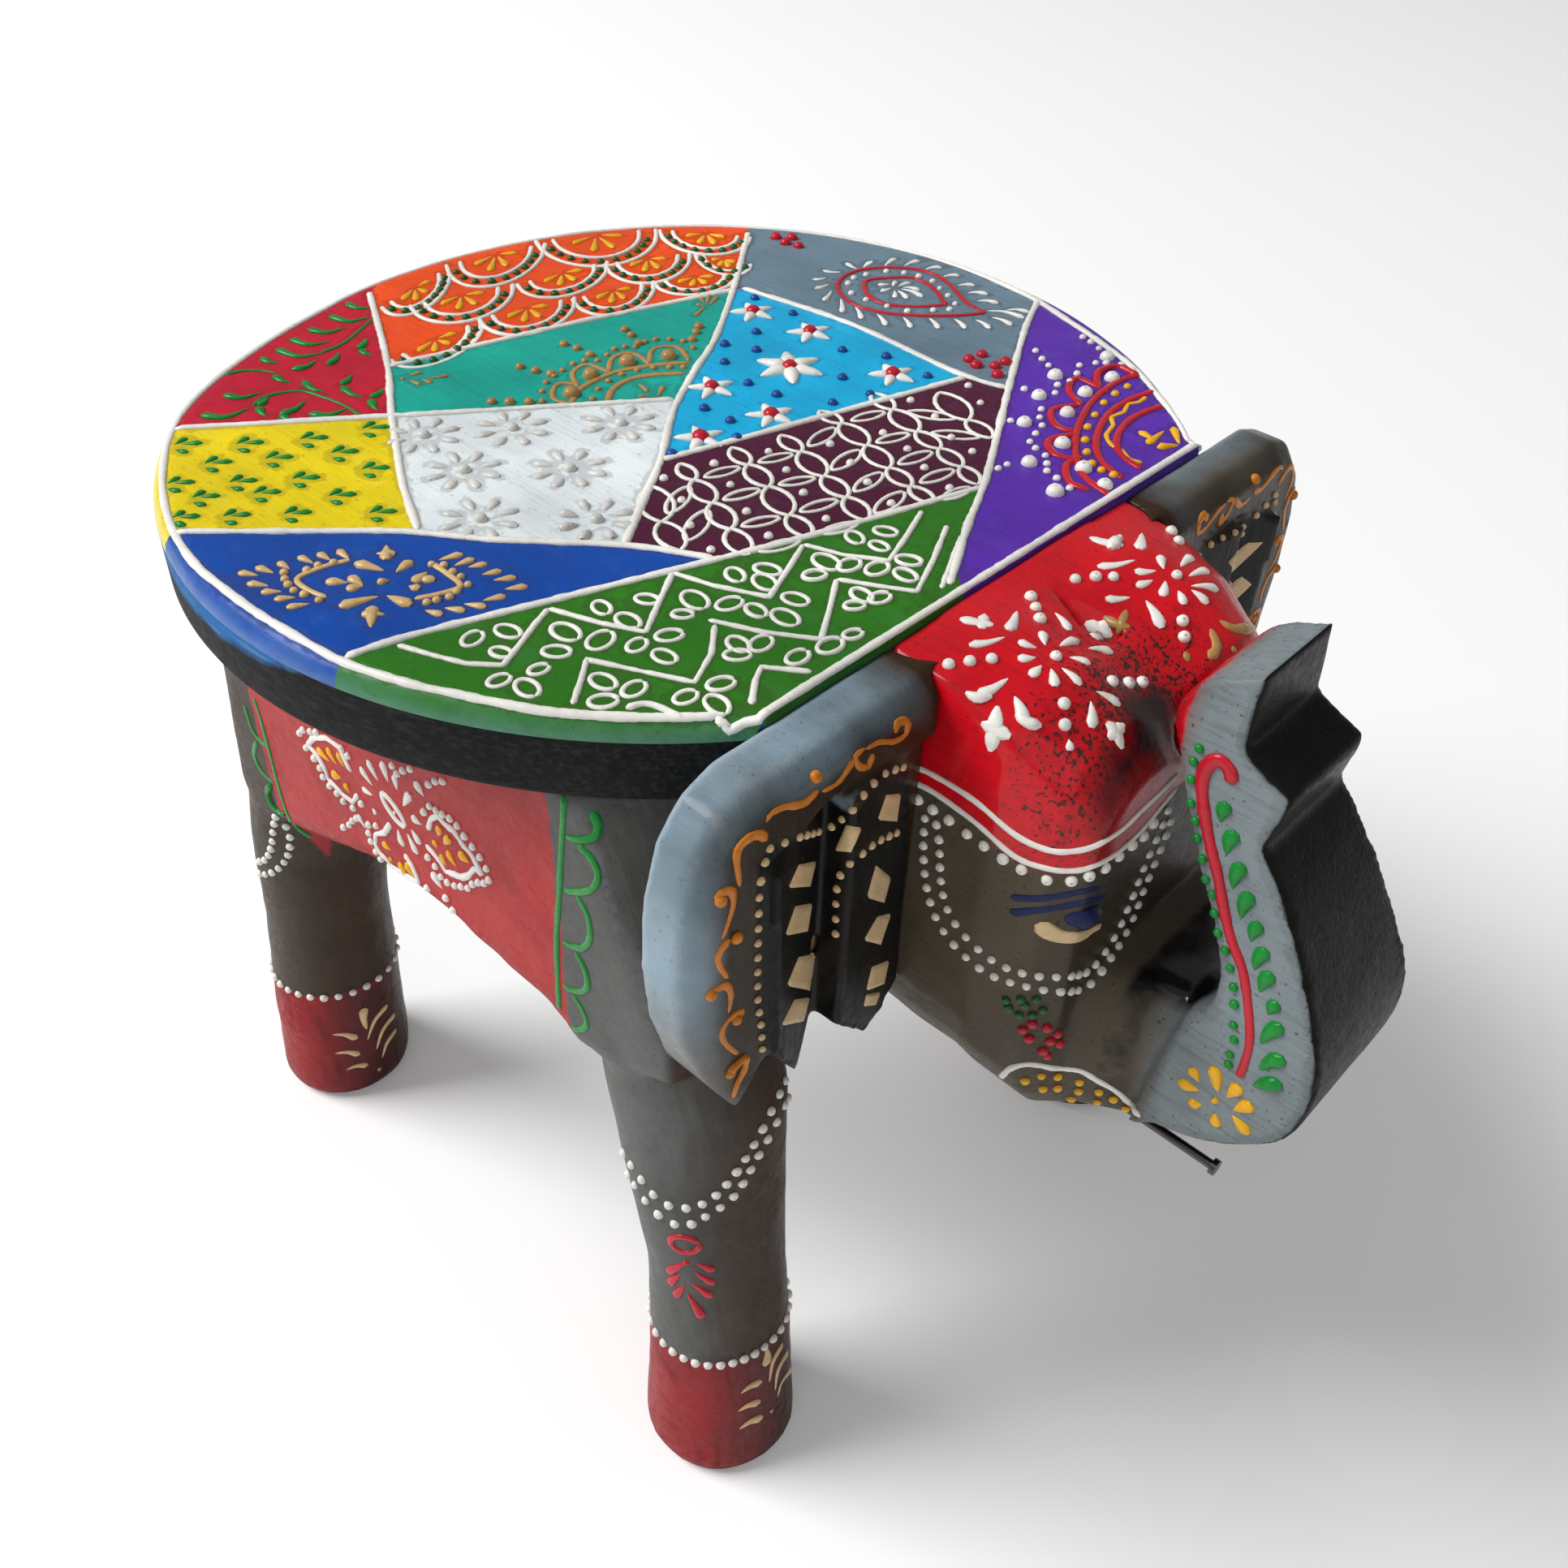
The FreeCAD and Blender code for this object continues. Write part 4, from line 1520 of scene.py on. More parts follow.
class ReliefPaint(Enum):
    """The raised paints of the whole stool.

    After the two colours, each has its streaks, specks, wear, roughness and coat.
    """

    WHITE = Paint("white_relief", (0.84, 0.82, 0.77), (0.30, 0.24, 0.17), 0.08, 0.08, 0.7, 0.3, 0.3)
    CREAM = Paint("cream_relief", (0.70, 0.50, 0.27), (0.22, 0.14, 0.07), 0.15, 0.15, 0.5, 0.35, 0.25)
    SOFT_WHITE = Paint("soft_white_relief", (0.64, 0.63, 0.60), (0.30, 0.22, 0.12), 0.2, 0.15, 0.0, 0.3, 0.35)
    GREEN = Paint("green_relief", (0.006, 0.24, 0.03), (0.01, 0.07, 0.01), 0.2, 0.1, 0.3, 0.28, 0.3)
    DARK_GREEN = Paint("dark_green_relief", (0.015, 0.10, 0.018), (0.03, 0.05, 0.01), 0.2, 0.1, 0.0, 0.28, 0.4)
    RED = Paint("red_relief", (0.52, 0.010, 0.025), (0.16, 0.006, 0.010), 0.15, 0.1, 0.0, 0.28, 0.4)
    YELLOW = Paint("yellow_relief", (0.86, 0.44, 0.008), (0.40, 0.16, 0.01), 0.15, 0.1, 0.0, 0.28, 0.4)
    ORANGE = Paint("orange_relief", (0.60, 0.19, 0.012), (0.16, 0.06, 0.01), 0.2, 0.2, 0.0, 0.3, 0.3)
    GOLD = Paint("gold_relief", (0.42, 0.24, 0.075), (0.13, 0.07, 0.02), 0.3, 0.1, 0.0, 0.32, 0.4)
    TAN = Paint("tan_relief", (0.66, 0.44, 0.19), (0.20, 0.12, 0.05), 0.2, 0.1, 0.0, 0.32, 0.4)
    INK = Paint("blue_ink", (0.010, 0.018, 0.085), (0.012, 0.011, 0.012), 0.4, 0.3, 0.0, 0.45, 0.1)
    BLUE = Paint("blue_relief", (0.008, 0.07, 0.30), (0.005, 0.03, 0.12), 0.15, 0.1, 0.0, 0.3, 0.4)


class Painter:
    """Lays raised paint on one canvas, from photo pixels or from places in its plane."""

    PLATE_ROWS = 9
    PLATE_COLUMNS = 7
    RING_STEPS = 16
    BLOOM_AIM = Vector((1.0, 0.3, 0.2))
    # What a Bead has after its width.
    LEAF_FORM = (0.6, 0.06, 1.0, 0.22)
    LOOP_FORM = (0.7, 0.15)
    PETAL_FORM = (0.55, 0.1, 0.45, 1.0)

    def __init__(self, prefix: str, canvas: Canvas, slot: str = "relief_paint") -> None:
        """Starts with no paint laid.

        Args:
            prefix: the start of the names of its pieces.
            canvas: the surface to paint.
            slot: the record's material slot.
        """
        self.prefix = prefix
        self.canvas = canvas
        self.slot = slot
        self.reliefs: dict[ReliefPaint, Relief] = {}

    def paint(self, paint: ReliefPaint) -> Relief:
        """The relief of one paint, begun when first used.

        Args:
            paint: the raised paint.

        Returns:
            Its relief.
        """
        if paint not in self.reliefs:
            self.reliefs[paint] = Relief(f"{self.prefix}_{paint.name.lower()}", self.canvas, self.slot)
        return self.reliefs[paint]

    def stroke(self, paint: ReliefPaint, pixels: Sequence[Pixel], bead: Bead) -> None:
        """Draws a raised line under a smooth line of photo pixels."""
        self.paint(paint).line(self.canvas.path(pixels), bead)

    def corner_stroke(self, paint: ReliefPaint, pixels: Sequence[Pixel], bead: Bead) -> None:
        """Draws a raised line from corner to corner, with straight stretches.

        Args:
            paint: the raised paint.
            pixels: the corners.
            bead: the line's form.
        """
        path: list[Vector] = []
        for start, end in zip(pixels, pixels[1:]):
            path += self.canvas.path((start, end))
        self.paint(paint).line(path, bead)

    def leaf(self, paint: ReliefPaint, head: Pixel, tail: Pixel, width: float, bow: float = 0.0) -> None:
        """Draws a teardrop from its round head to its thin tail.

        Args:
            paint: the raised paint.
            head: the pixel of the round end.
            tail: the pixel of the thin end.
            width: how wide the round end is.
            bow: how far its middle is bent sideways, as a share of its length.
        """
        aside = ((head[1] - tail[1]) * bow, (tail[0] - head[0]) * bow)
        middle = ((head[0] + tail[0]) / 2 + aside[0], (head[1] + tail[1]) / 2 + aside[1])
        path = self.canvas.path((head, middle, tail), 4.0)
        self.paint(paint).line(path, Bead(width, *self.LEAF_FORM))

    def dots(self, paint: ReliefPaint, pixels: Sequence[Pixel], width: float) -> None:
        """Draws round drops at photo pixels.

        Args:
            paint: the raised paint.
            pixels: where the drops lie.
            width: how wide each one is.
        """
        for pixel in pixels:
            spot = self.canvas.seen(pixel)
            if spot is not None:
                self.paint(paint).dot(spot.place, width)

    def dotted(self, paint: ReliefPaint, pixels: Sequence[Pixel], step: float, width: float) -> None:
        """Draws a row of drops along a smooth line of photo pixels.

        Args:
            paint: the raised paint.
            pixels: the pixels that the line goes through.
            step: the distance between two drops.
            width: how wide each one is.
        """
        path = self.canvas.path(pixels)
        if len(path) > 1:
            self.paint(paint).row(path, step, width)

    def plate(self, paint: ReliefPaint, corners: Sequence[Pixel]) -> None:
        """Draws a flat patch of paint between four photo pixels, in order round it.

        Args:
            paint: the raised paint.
            corners: the four pixels.
        """
        a, b, c, d = (np.array(corner, dtype=float) for corner in corners)
        grid = []
        for down in np.linspace(0.0, 1.0, self.PLATE_ROWS):
            row = []
            for across in np.linspace(0.0, 1.0, self.PLATE_COLUMNS):
                pixel = (a + (b - a) * across) * (1 - down) + (d + (c - d) * across) * down
                row.append(self.canvas.seen(tuple(pixel)))
            grid.append(row)
        if all(spot is not None for row in grid for spot in row):
            self.paint(paint).plate(grid)

    def loop(
        self, paint: ReliefPaint, ends: tuple[Pixel, Pixel], width: float, slim: float = 0.36, point: float = 1.0
    ) -> None:
        """Draws an open oval between two photo pixels.

        Args:
            paint: the raised paint.
            ends: the two far ends of the oval.
            width: the width of its line.
            slim: half its breadth as a share of its length.
            point: 1 for round ends, more for pointed ones.
        """
        first, last = (self.canvas.seen(end) for end in ends)
        if first is None or last is None:
            return
        middle = first.place.lerp(last.place, 0.5)
        along = (last.place - first.place) / 2
        across = first.normal.cross(along) * (2 * slim)
        ring = []
        for number in range(self.RING_STEPS + 1):
            angle = 2 * math.pi * number / self.RING_STEPS
            side = math.copysign(abs(math.sin(angle)) ** point, math.sin(angle))
            ring.append(middle + along * math.cos(angle) + across * side)
        self.paint(paint).line(ring, Bead(width, *self.LOOP_FORM))

    def bloom(
        self, paint: ReliefPaint, pixel: Pixel, reach: float, petals: int, width: float, gap: float, turn: float
    ) -> None:
        """Draws a flower of teardrop petals round a photo pixel.

        Args:
            paint: the raised paint.
            pixel: the flower's middle.
            reach: from its middle to its petals' ends, in metres.
            petals: how many.
            width: the petals' width.
            gap: where a petal starts, as a share of the reach.
            turn: the first petal's turn in degrees.
        """
        spot = self.canvas.seen(pixel)
        if spot is None:
            return
        board = Patch(self.canvas, spot, spot.place + self.BLOOM_AIM)
        for number in range(petals):
            angle = math.radians(turn) + 2 * math.pi * number / petals
            x, y = math.cos(angle), math.sin(angle)
            inner = board.at(x * reach * gap / MM, y * reach * gap / MM)
            outer = board.at(x * reach / MM, y * reach / MM)
            self.paint(paint).line([inner, inner.lerp(outer, 0.5), outer], Bead(width, *self.PETAL_FORM))

    def build(self) -> list[bpy.types.Object]:
        """Makes each paint's relief a piece."""
        return [relief.build(material_of(paint)) for paint, relief in self.reliefs.items()]

    def mirrored(self, prefix: str, canvas: Canvas) -> "Painter":
        """The same paint laid on the elephant's other side.

        Args:
            prefix: the start of the new pieces' names.
            canvas: the surface of the other side.

        Returns:
            A painter with the same paint.
        """
        twin = Painter(prefix, canvas, self.slot)
        for paint, relief in self.reliefs.items():
            twin.reliefs[paint] = relief.mirrored(f"{prefix}_{paint.name.lower()}", canvas)
        return twin


ARCH_STEPS = 8


def material_of(paint: ReliefPaint) -> bpy.types.Material:
    """The material of a raised paint, made when first used."""
    known = bpy.data.materials.get(paint.value.name)
    return known if known is not None else paint.value.material()


def arch(left: Pixel, bottom: Pixel, right: Pixel, share: float = 1.0) -> list[Pixel]:
    """A half oval of photo pixels that hangs between two ends.

    Args:
        left: one end.
        bottom: its lowest point.
        right: the other end.
        share: its size as a share of the whole.

    Returns:
        The pixels from end to end.
    """
    middle = Vector(((left[0] + right[0]) / 2, (left[1] + right[1]) / 2))
    along = (Vector(right) - Vector(left)) / 2 * share
    down = (Vector(bottom) - middle) * share
    turns = [math.pi * step / ARCH_STEPS for step in range(ARCH_STEPS + 1)]
    points = [middle - along * math.cos(turn) + down * math.sin(turn) for turn in turns]
    return [(point.x, point.y) for point in points]


class SeatPainter(Painter):
    """The raised patterns of the seat's patches."""

    VINE_STEMS = (
        ((395, 435), (420, 425), (440, 410), (462, 390)),
        ((312, 500), (330, 488), (370, 482), (400, 490), (425, 500), (448, 515)),
        ((278, 462), (300, 457), (325, 457), (340, 460)),
    )
    VINE_LEAVES = (
        ((427, 374), (458, 379)), ((406, 390), (455, 391)), ((380, 406), (425, 404)), ((358, 418), (405, 421)),
        ((341, 431), (397, 435)), ((322, 441), (343, 447)), ((338, 463), (359, 471)), ((360, 455), (390, 444)),
        ((404, 450), (418, 434)), ((442, 430), (451, 417)), ((444, 431), (460, 438)), ((374, 470), (400, 483)),
        ((420, 474), (433, 462)), ((422, 477), (446, 489)), ((456, 490), (472, 479)), ((457, 493), (465, 505)),
        ((276, 487), (320, 484)), ((248, 512), (306, 503)), ((318, 500), (330, 488)), ((319, 502), (328, 513)),
        ((345, 510), (376, 494)), ((346, 511), (365, 518)), ((381, 510), (428, 503)),
    )
    SPRIG_FEET = (
        (215, 550), (291, 549), (327, 567), (370, 543), (408, 560), (446, 530), (446, 580), (206, 598), (252, 573),
        (283, 596), (360, 592), (237, 615), (312, 610), (405, 613), (275, 638), (350, 635), (455, 634), (212, 640),
    )
    SPRIG_LEAVES = (((15, -10), (0, -2)), ((34, -4), (8, -3)), ((16, 8), (1, 4)))
    SCALES = (
        ((660, 297), (748, 328), (808, 282)), ((813, 283), (868, 314), (925, 292)),
        ((550, 326), (612, 352), (672, 300)), ((470, 378), (525, 380), (552, 330)),
        ((637, 350), (702, 364), (748, 322)), ((745, 325), (805, 349), (850, 312)),
        ((505, 376), (578, 396), (632, 350)), ((590, 392), (658, 411), (708, 366)),
        ((705, 368), (765, 387), (805, 346)), ((805, 347), (862, 363), (908, 335)),
        ((857, 313), (892, 338), (925, 325)), ((480, 442), (550, 443), (592, 394)),
    )
    MANDALA_ARCS = (
        ((748, 497), (755, 480), (775, 468), (805, 462), (842, 460)),
        ((703, 500), (712, 482), (735, 468), (765, 457), (810, 450), (850, 447)),
    )
    MANDALA_PETALS = (
        ((705, 499), (681, 490), (688, 473), (715, 474)), ((712, 476), (705, 460), (724, 449), (752, 459)),
        ((750, 458), (755, 441), (780, 435), (800, 448)), ((800, 447), (805, 430), (835, 428), (849, 444)),
    )
    MANDALA_HEARTS = ((704, 486), (728, 463), (773, 447), (824, 440))
    MANDALA_DOTS = (
        (668, 495), (668, 483), (673, 472), (683, 464), (693, 457), (706, 449), (720, 445), (736, 445), (748, 438),
        (757, 431), (770, 428), (783, 428), (795, 422), (808, 419), (825, 419), (842, 421), (854, 429), (730, 492),
        (737, 480), (750, 470), (766, 462), (785, 457), (805, 454), (825, 453), (842, 453),
    )
    MANDALA_RAYS = (
        (606, 496), (628, 496), (652, 496), (641, 453), (660, 458), (679, 462), (695, 425), (711, 430), (727, 438),
        (770, 407), (778, 414), (787, 424), (861, 403), (858, 410), (853, 419),
    )
    TEAL_LEAVES = (
        ((520, 459), (503, 463)), ((553, 463), (527, 467)), ((518, 474), (505, 469)), ((532, 472), (520, 467)),
        ((498, 467), (493, 466)), ((860, 362), (868, 374)), ((874, 361), (871, 375)), ((884, 366), (874, 376)),
        ((857, 389), (869, 378)), ((858, 375), (868, 377)), ((798, 482), (787, 473)), ((786, 489), (802, 487)),
        ((817, 476), (811, 489)),
    )
    PAISLEY_OUTER = (
        (1214, 386), (1190, 372), (1172, 352), (1145, 336), (1105, 330), (1060, 333), (1036, 344), (1033, 357),
        (1050, 374), (1085, 385), (1130, 389), (1180, 389), (1214, 386),
    )
    PAISLEY_INNER = (
        (1166, 376), (1150, 355), (1125, 343), (1090, 343), (1066, 347), (1068, 361), (1087, 374), (1125, 378),
        (1166, 376),
    )
    PAISLEY_LEAVES = (
        ((1001, 344), (1018, 342)), ((1014, 333), (1036, 335)), ((1043, 324), (1056, 331)), ((1074, 322), (1064, 330)),
        ((1104, 319), (1090, 328)), ((1133, 322), (1114, 328)), ((1160, 330), (1140, 332)), ((1182, 340), (1162, 341)),
        ((1201, 352), (1180, 352)), ((1217, 363), (1192, 361)), ((1230, 374), (1204, 371)), ((1004, 356), (1022, 350)),
        ((1015, 371), (1025, 358)), ((1038, 385), (1036, 368)), ((1062, 393), (1054, 378)), ((1092, 401), (1081, 387)),
        ((1123, 404), (1113, 391)), ((1157, 405), (1145, 392)), ((1190, 405), (1176, 393)), ((1220, 405), (1202, 394)),
        ((1247, 401), (1222, 391)), ((1262, 392), (1216, 383)), ((1268, 385), (1240, 382)),
    )
    PAISLEY_HEART = (
        ((1082, 351), (1096, 350)), ((1085, 359), (1098, 355)), ((1103, 367), (1102, 358)), ((1118, 368), (1106, 358)),
        ((1137, 366), (1110, 356)), ((1133, 358), (1112, 354)), ((1122, 349), (1107, 353)), ((1104, 347), (1100, 353)),
    )
    PAISLEY_DOTS = (
        (1067, 339), (1092, 335), (1114, 337), (1132, 341), (1149, 347), (1158, 356), (1168, 365), (1177, 375),
        (1170, 382), (1150, 383), (1118, 384), (1093, 378), (1067, 370), (1049, 362), (1045, 350), (1052, 343),
    )
    RED_SPOTS = (
        (1194, 444), (1210, 438), (1203, 451), (1226, 452), (1229, 463), (1239, 447), (956, 293), (968, 300),
        (984, 304), (976, 294),
    )
    STARS = ((928, 385), (998, 410), (1100, 462), (877, 478), (950, 512), (863, 540))
    GREAT_STAR = (973, 453)
    BLUE_DOTS = (
        (930, 368), (977, 387), (932, 410), (893, 425), (932, 432), (893, 447), (1038, 432), (1092, 440),
        (1038, 466), (922, 473), (957, 487), (1072, 486), (1026, 497), (868, 504), (900, 519), (908, 540),
        (828, 560), (1143, 464),
    )
    SOFT_FLOWERS = ((522, 537), (632, 528), (765, 522), (572, 580), (702, 578), (592, 640), (735, 641))
    LATTICE = (
        ((803, 600), (815, 643), (838, 678)),
        ((838, 572), (855, 592), (878, 620), (900, 652), (920, 684)),
        ((902, 552), (922, 573), (947, 600), (972, 635), (998, 662)),
        ((962, 537), (987, 557), (1015, 587), (1043, 613), (1068, 641)),
        ((1010, 507), (1037, 522), (1068, 549), (1095, 577), (1122, 600), (1150, 620)),
        ((1076, 485), (1100, 505), (1130, 532), (1158, 553), (1185, 575), (1205, 597)),
        ((1158, 484), (1192, 518), (1222, 540)),
    )
    LATTICE_DOTS = (
        (818, 590), (840, 617), (850, 648), (880, 572), (900, 598), (920, 631), (876, 678), (947, 661), (947, 557),
        (969, 580), (990, 608), (1018, 640), (1023, 548), (1048, 571), (1069, 595), (1098, 621), (1088, 534),
        (1118, 554), (1139, 577), (1170, 602), (1122, 494), (1152, 514), (1172, 540), (1198, 557), (1193, 476),
        (1208, 497),
    )
    PURPLE_ARCS = (
        ((1406, 578), (1381, 560), (1376, 540), (1390, 519), (1417, 505), (1440, 499)),
        ((1383, 590), (1356, 566), (1351, 540), (1365, 511), (1393, 492), (1422, 482)),
        ((1366, 610), (1333, 583), (1325, 545), (1333, 515), (1350, 490), (1378, 470), (1404, 462)),
    )
    PURPLE_PETALS = (
        ((1342, 604), (1318, 594), (1314, 573), (1333, 563)), ((1326, 566), (1300, 560), (1292, 543), (1325, 535)),
        ((1325, 533), (1301, 524), (1296, 505), (1330, 499)), ((1333, 499), (1317, 482), (1326, 466), (1356, 478)),
        ((1354, 478), (1352, 461), (1376, 452), (1402, 464)),
    )
    PURPLE_PEARLS = ((1335, 578), (1309, 548), (1315, 510), (1337, 485), (1370, 467), (1361, 599))
    PURPLE_BEADS = ((1300, 464), (1280, 489), (1262, 522), (1268, 571), (1300, 607), (1364, 441))
    PURPLE_DOTS = (
        (1334, 416), (1344, 422), (1354, 430), (1276, 433), (1284, 443), (1292, 451), (1262, 480), (1245, 519),
        (1230, 578), (1241, 573), (1318, 470), (1327, 461), (1330, 451), (1350, 448), (1363, 448), (1381, 450),
        (1396, 457), (1303, 475), (1300, 485), (1283, 505), (1281, 515), (1284, 525), (1276, 535), (1269, 545),
        (1276, 553), (1288, 562), (1290, 572), (1290, 581), (1302, 590), (1318, 602),
    )
    PURPLE_GRAINS = (
        (1372, 586), (1357, 580), (1345, 572), (1339, 558), (1337, 543), (1340, 527), (1349, 512), (1360, 497),
        (1374, 486), (1389, 477),
    )
    PURPLE_SQUIGGLE = (
        (1407, 570), (1392, 566), (1384, 556), (1370, 549), (1363, 536), (1372, 524), (1369, 514), (1385, 508),
        (1390, 498), (1403, 496), (1412, 489),
    )
    PURPLE_LEAVES = (
        ((1404, 532), (1424, 543)), ((1414, 547), (1434, 531)), ((1446, 527), (1453, 547)), ((1426, 552), (1452, 549)),
    )
    GOLD_CHEVRONS = (
        ((431, 690), (400, 698), (366, 713), (380, 727), (402, 736)),
        ((530, 693), (550, 706), (568, 722), (545, 731), (511, 738)),
    )
    GOLD_LEAVES = (
        ((294, 706), (318, 709)), ((316, 699), (337, 706)), ((343, 693), (357, 701)), ((368, 686), (386, 694)),
        ((392, 682), (407, 690)), ((417, 678), (430, 689)), ((305, 719), (331, 722)), ((322, 730), (347, 729)),
        ((338, 739), (364, 736)), ((353, 749), (381, 744)), ((570, 683), (541, 690)), ((584, 689), (560, 697)),
        ((600, 695), (577, 699)), ((618, 704), (594, 708)), ((636, 712), (608, 715)), ((650, 723), (622, 726)),
        ((623, 735), (595, 740)), ((599, 748), (572, 744)), ((573, 753), (548, 749)), ((545, 758), (524, 752)),
    )
    GOLD_HEARTS = (
        ((402, 717), (428, 718)), ((431, 711), (447, 721)), ((427, 727), (447, 722)), ((510, 718), (526, 705)),
        ((536, 715), (512, 713)), ((517, 726), (504, 722)), ((438, 694), (473, 703)), ((507, 692), (488, 705)),
        ((418, 748), (466, 735)), ((507, 746), (477, 734)), ((487, 683), (464, 682)), ((476, 690), (476, 672)),
        ((446, 757), (474, 757)), ((459, 748), (457, 773)),
    )
    GOLD_DOTS = (
        (378, 703), (392, 697), (411, 694), (351, 714), (355, 721), (362, 728), (375, 733), (393, 740), (350, 706),
        (547, 697), (558, 705), (568, 711), (577, 721), (563, 729), (554, 736), (538, 740), (526, 743), (532, 696),
    )
    GOLD_SEED = ((465, 719), (480, 715))
    TRELLIS = (
        ((490, 795), (535, 808), (575, 818), (620, 820), (640, 795), (660, 768), (676, 750)),
        ((676, 750), (740, 768), (796, 779), (812, 742), (829, 706)),
        ((829, 706), (880, 722), (948, 736), (972, 700), (990, 671)),
        ((990, 671), (1040, 684), (1095, 691), (1115, 664), (1136, 630)),
        ((706, 868), (716, 838), (723, 813), (780, 825), (856, 841), (877, 805), (881, 770)),
        ((873, 764), (940, 779), (1012, 788), (1022, 752), (1031, 714)),
        ((1031, 714), (1080, 722), (1130, 729), (1150, 690), (1167, 648)),
        ((926, 868), (931, 838), (938, 822), (1000, 828)),
        ((1160, 725), (1170, 700), (1185, 660)),
    )
    PETAL_RINGS = (
        ((573, 796), (592, 778)), ((612, 772), (640, 784)), ((605, 800), (630, 808)), ((735, 741), (748, 757)),
        ((783, 736), (812, 741)), ((762, 757), (786, 773)), ((900, 700), (912, 717)), ((930, 698), (962, 706)),
        ((933, 708), (952, 727)), ((1047, 655), (1060, 670)), ((1077, 652), (1106, 658)), ((1073, 668), (1094, 678)),
        ((683, 770), (712, 788)), ((728, 800), (752, 778)), ((668, 802), (704, 804)), ((602, 845), (628, 832)),
        ((640, 838), (660, 858)), ((652, 830), (676, 820)), ((730, 832), (757, 848)), ((770, 858), (793, 840)),
        ((725, 866), (762, 862)), ((845, 729), (868, 750)), ((884, 750), (914, 738)), ((828, 757), (855, 757)),
        ((776, 803), (794, 787)), ((808, 786), (842, 780)), ((806, 802), (832, 816)), ((922, 745), (942, 760)),
        ((965, 733), (996, 744)), ((954, 752), (982, 770)), ((900, 785), (920, 803)), ((928, 802), (948, 784)),
        ((892, 808), (926, 806)), ((832, 866), (858, 852)), ((872, 848), (905, 838)), ((872, 858), (895, 880)),
        ((1005, 684), (1032, 702)), ((1035, 703), (1058, 690)), ((990, 712), (1018, 706)), ((1070, 708), (1092, 694)),
        ((1104, 688), (1136, 694)), ((1104, 702), (1128, 716)), ((1052, 726), (1072, 742)), ((1072, 742), (1096, 732)),
        ((1040, 748), (1066, 745)), ((972, 818), (994, 802)), ((1010, 804), (1036, 788)), ((1040, 786), (1062, 778)),
    )
    GREEN_TAIL = ((771, 873), (800, 868), (845, 886))

    LINE_FORM = (0.65, 0.22)
    BORDER_FORM = (0.65, 0.18)
    VINE_BEAD = Bead(1.3 * MM, 0.5, 0.1, 1.0, 0.6)
    VINE_LEAF = (3.2 * MM, 0.12)
    SPRIG_LEAF = 2.6 * MM
    SCALE_BEAD = Bead(1.5 * MM, 0.7, 0.15)
    SCALE_INNER = 0.72
    SCALE_MIDDLE = 0.86
    SCALE_DASHES = (4.6 * MM, 2.4 * MM)
    SCALE_FAN = ((-0.42, 0.22), (-0.12, 0.50), (0.22, 0.46), (0.42, 0.12))
    SCALE_TAIL = 0.2
    SCALE_LEAF = 3.0 * MM
    MANDALA_BEAD = Bead(1.9 * MM, 0.45, 0.1)
    MANDALA_PETAL_BEAD = Bead(1.6 * MM, 0.45, 0.1)
    MANDALA_HEART = 4.6 * MM
    MANDALA_DOT = 1.9 * MM
    MANDALA_RAY = 2.8 * MM
    TEAL_LEAF = 2.0 * MM
    PAISLEY_BEAD = Bead(1.5 * MM, 0.6, 0.15)
    PAISLEY_LEAF = (2.3 * MM, 0.06)
    PAISLEY_DOT = 2.0 * MM
    RED_SPOT = 3.6 * MM
    STAR_SIZE = (6.6 * MM, 5)
    GREAT_STAR_SIZE = (9.5 * MM, 6)
    STAR_AIM = Vector((0.4, 1.0, 0.0))
    STAR_TURN = 0.2
    STAR_START = 0.14
    STAR_BREADTH = 0.50
    STAR_FORM = (0.24, 0.14, 1.2, 0.42)
    STAR_HEART = 4.6 * MM
    BLUE_DOT = 2.8 * MM
    SOFT_FLOWER = (9.0 * MM, 8, 3.4 * MM, 0.5, 11.0)
    SOFT_HEART = 3.4 * MM
    LATTICE_LOOP = (1.2 * MM, 0.26, 1.5)
    LATTICE_CROSS = (1.05 * MM, 0.17, 1.4)
    LATTICE_SPAN = (0.2, 0.85)
    LATTICE_DOT = 2.2 * MM
    PURPLE_BEAD = Bead(2.1 * MM, 0.55, 0.15)
    SQUIGGLE_BEAD = Bead(1.3 * MM, 0.6, 0.2)
    PURPLE_GRAIN = 2.3 * MM
    PURPLE_LEAF = 3.0 * MM
    PURPLE_PEARL = 4.3 * MM
    PURPLE_DROP = 4.4 * MM
    PURPLE_DOT = 2.0 * MM
    GOLD_BEAD = Bead(1.5 * MM, 0.5, 0.1)
    GOLD_LEAF = 2.9 * MM
    GOLD_HEART = 4.0 * MM
    GOLD_DOT = 2.0 * MM
    GOLD_SEED_WIDTH = 3.0 * MM
    TRELLIS_BEAD = Bead(1.45 * MM, 0.7, 0.22)
    TRELLIS_LOOP = (1.15 * MM, 0.34)
    TAIL_BEAD = Bead(1.5 * MM, 0.7, 0.2)

    def __init__(self, board: SeatBoard, canvas: Canvas) -> None:
        """Takes the board for the paths of its white lines."""
        super().__init__("seat", canvas)
        self.board = board

    def lines(self) -> None:
        """The white lines between the patches and round the edge."""
        white = self.paint(ReliefPaint.WHITE)
        for path in self.board.drawn:
            white.line(path, Bead(self.board.line_width, *self.LINE_FORM))
        white.line(self.board.border(), Bead(self.board.line_width, *self.BORDER_FORM))

    def vines(self) -> None:
        """Green leaf vines on the crimson patch."""
        for stem in self.VINE_STEMS:
            self.stroke(ReliefPaint.GREEN, stem, self.VINE_BEAD)
        for head, tail in self.VINE_LEAVES:
            self.leaf(ReliefPaint.GREEN, head, tail, *self.VINE_LEAF)

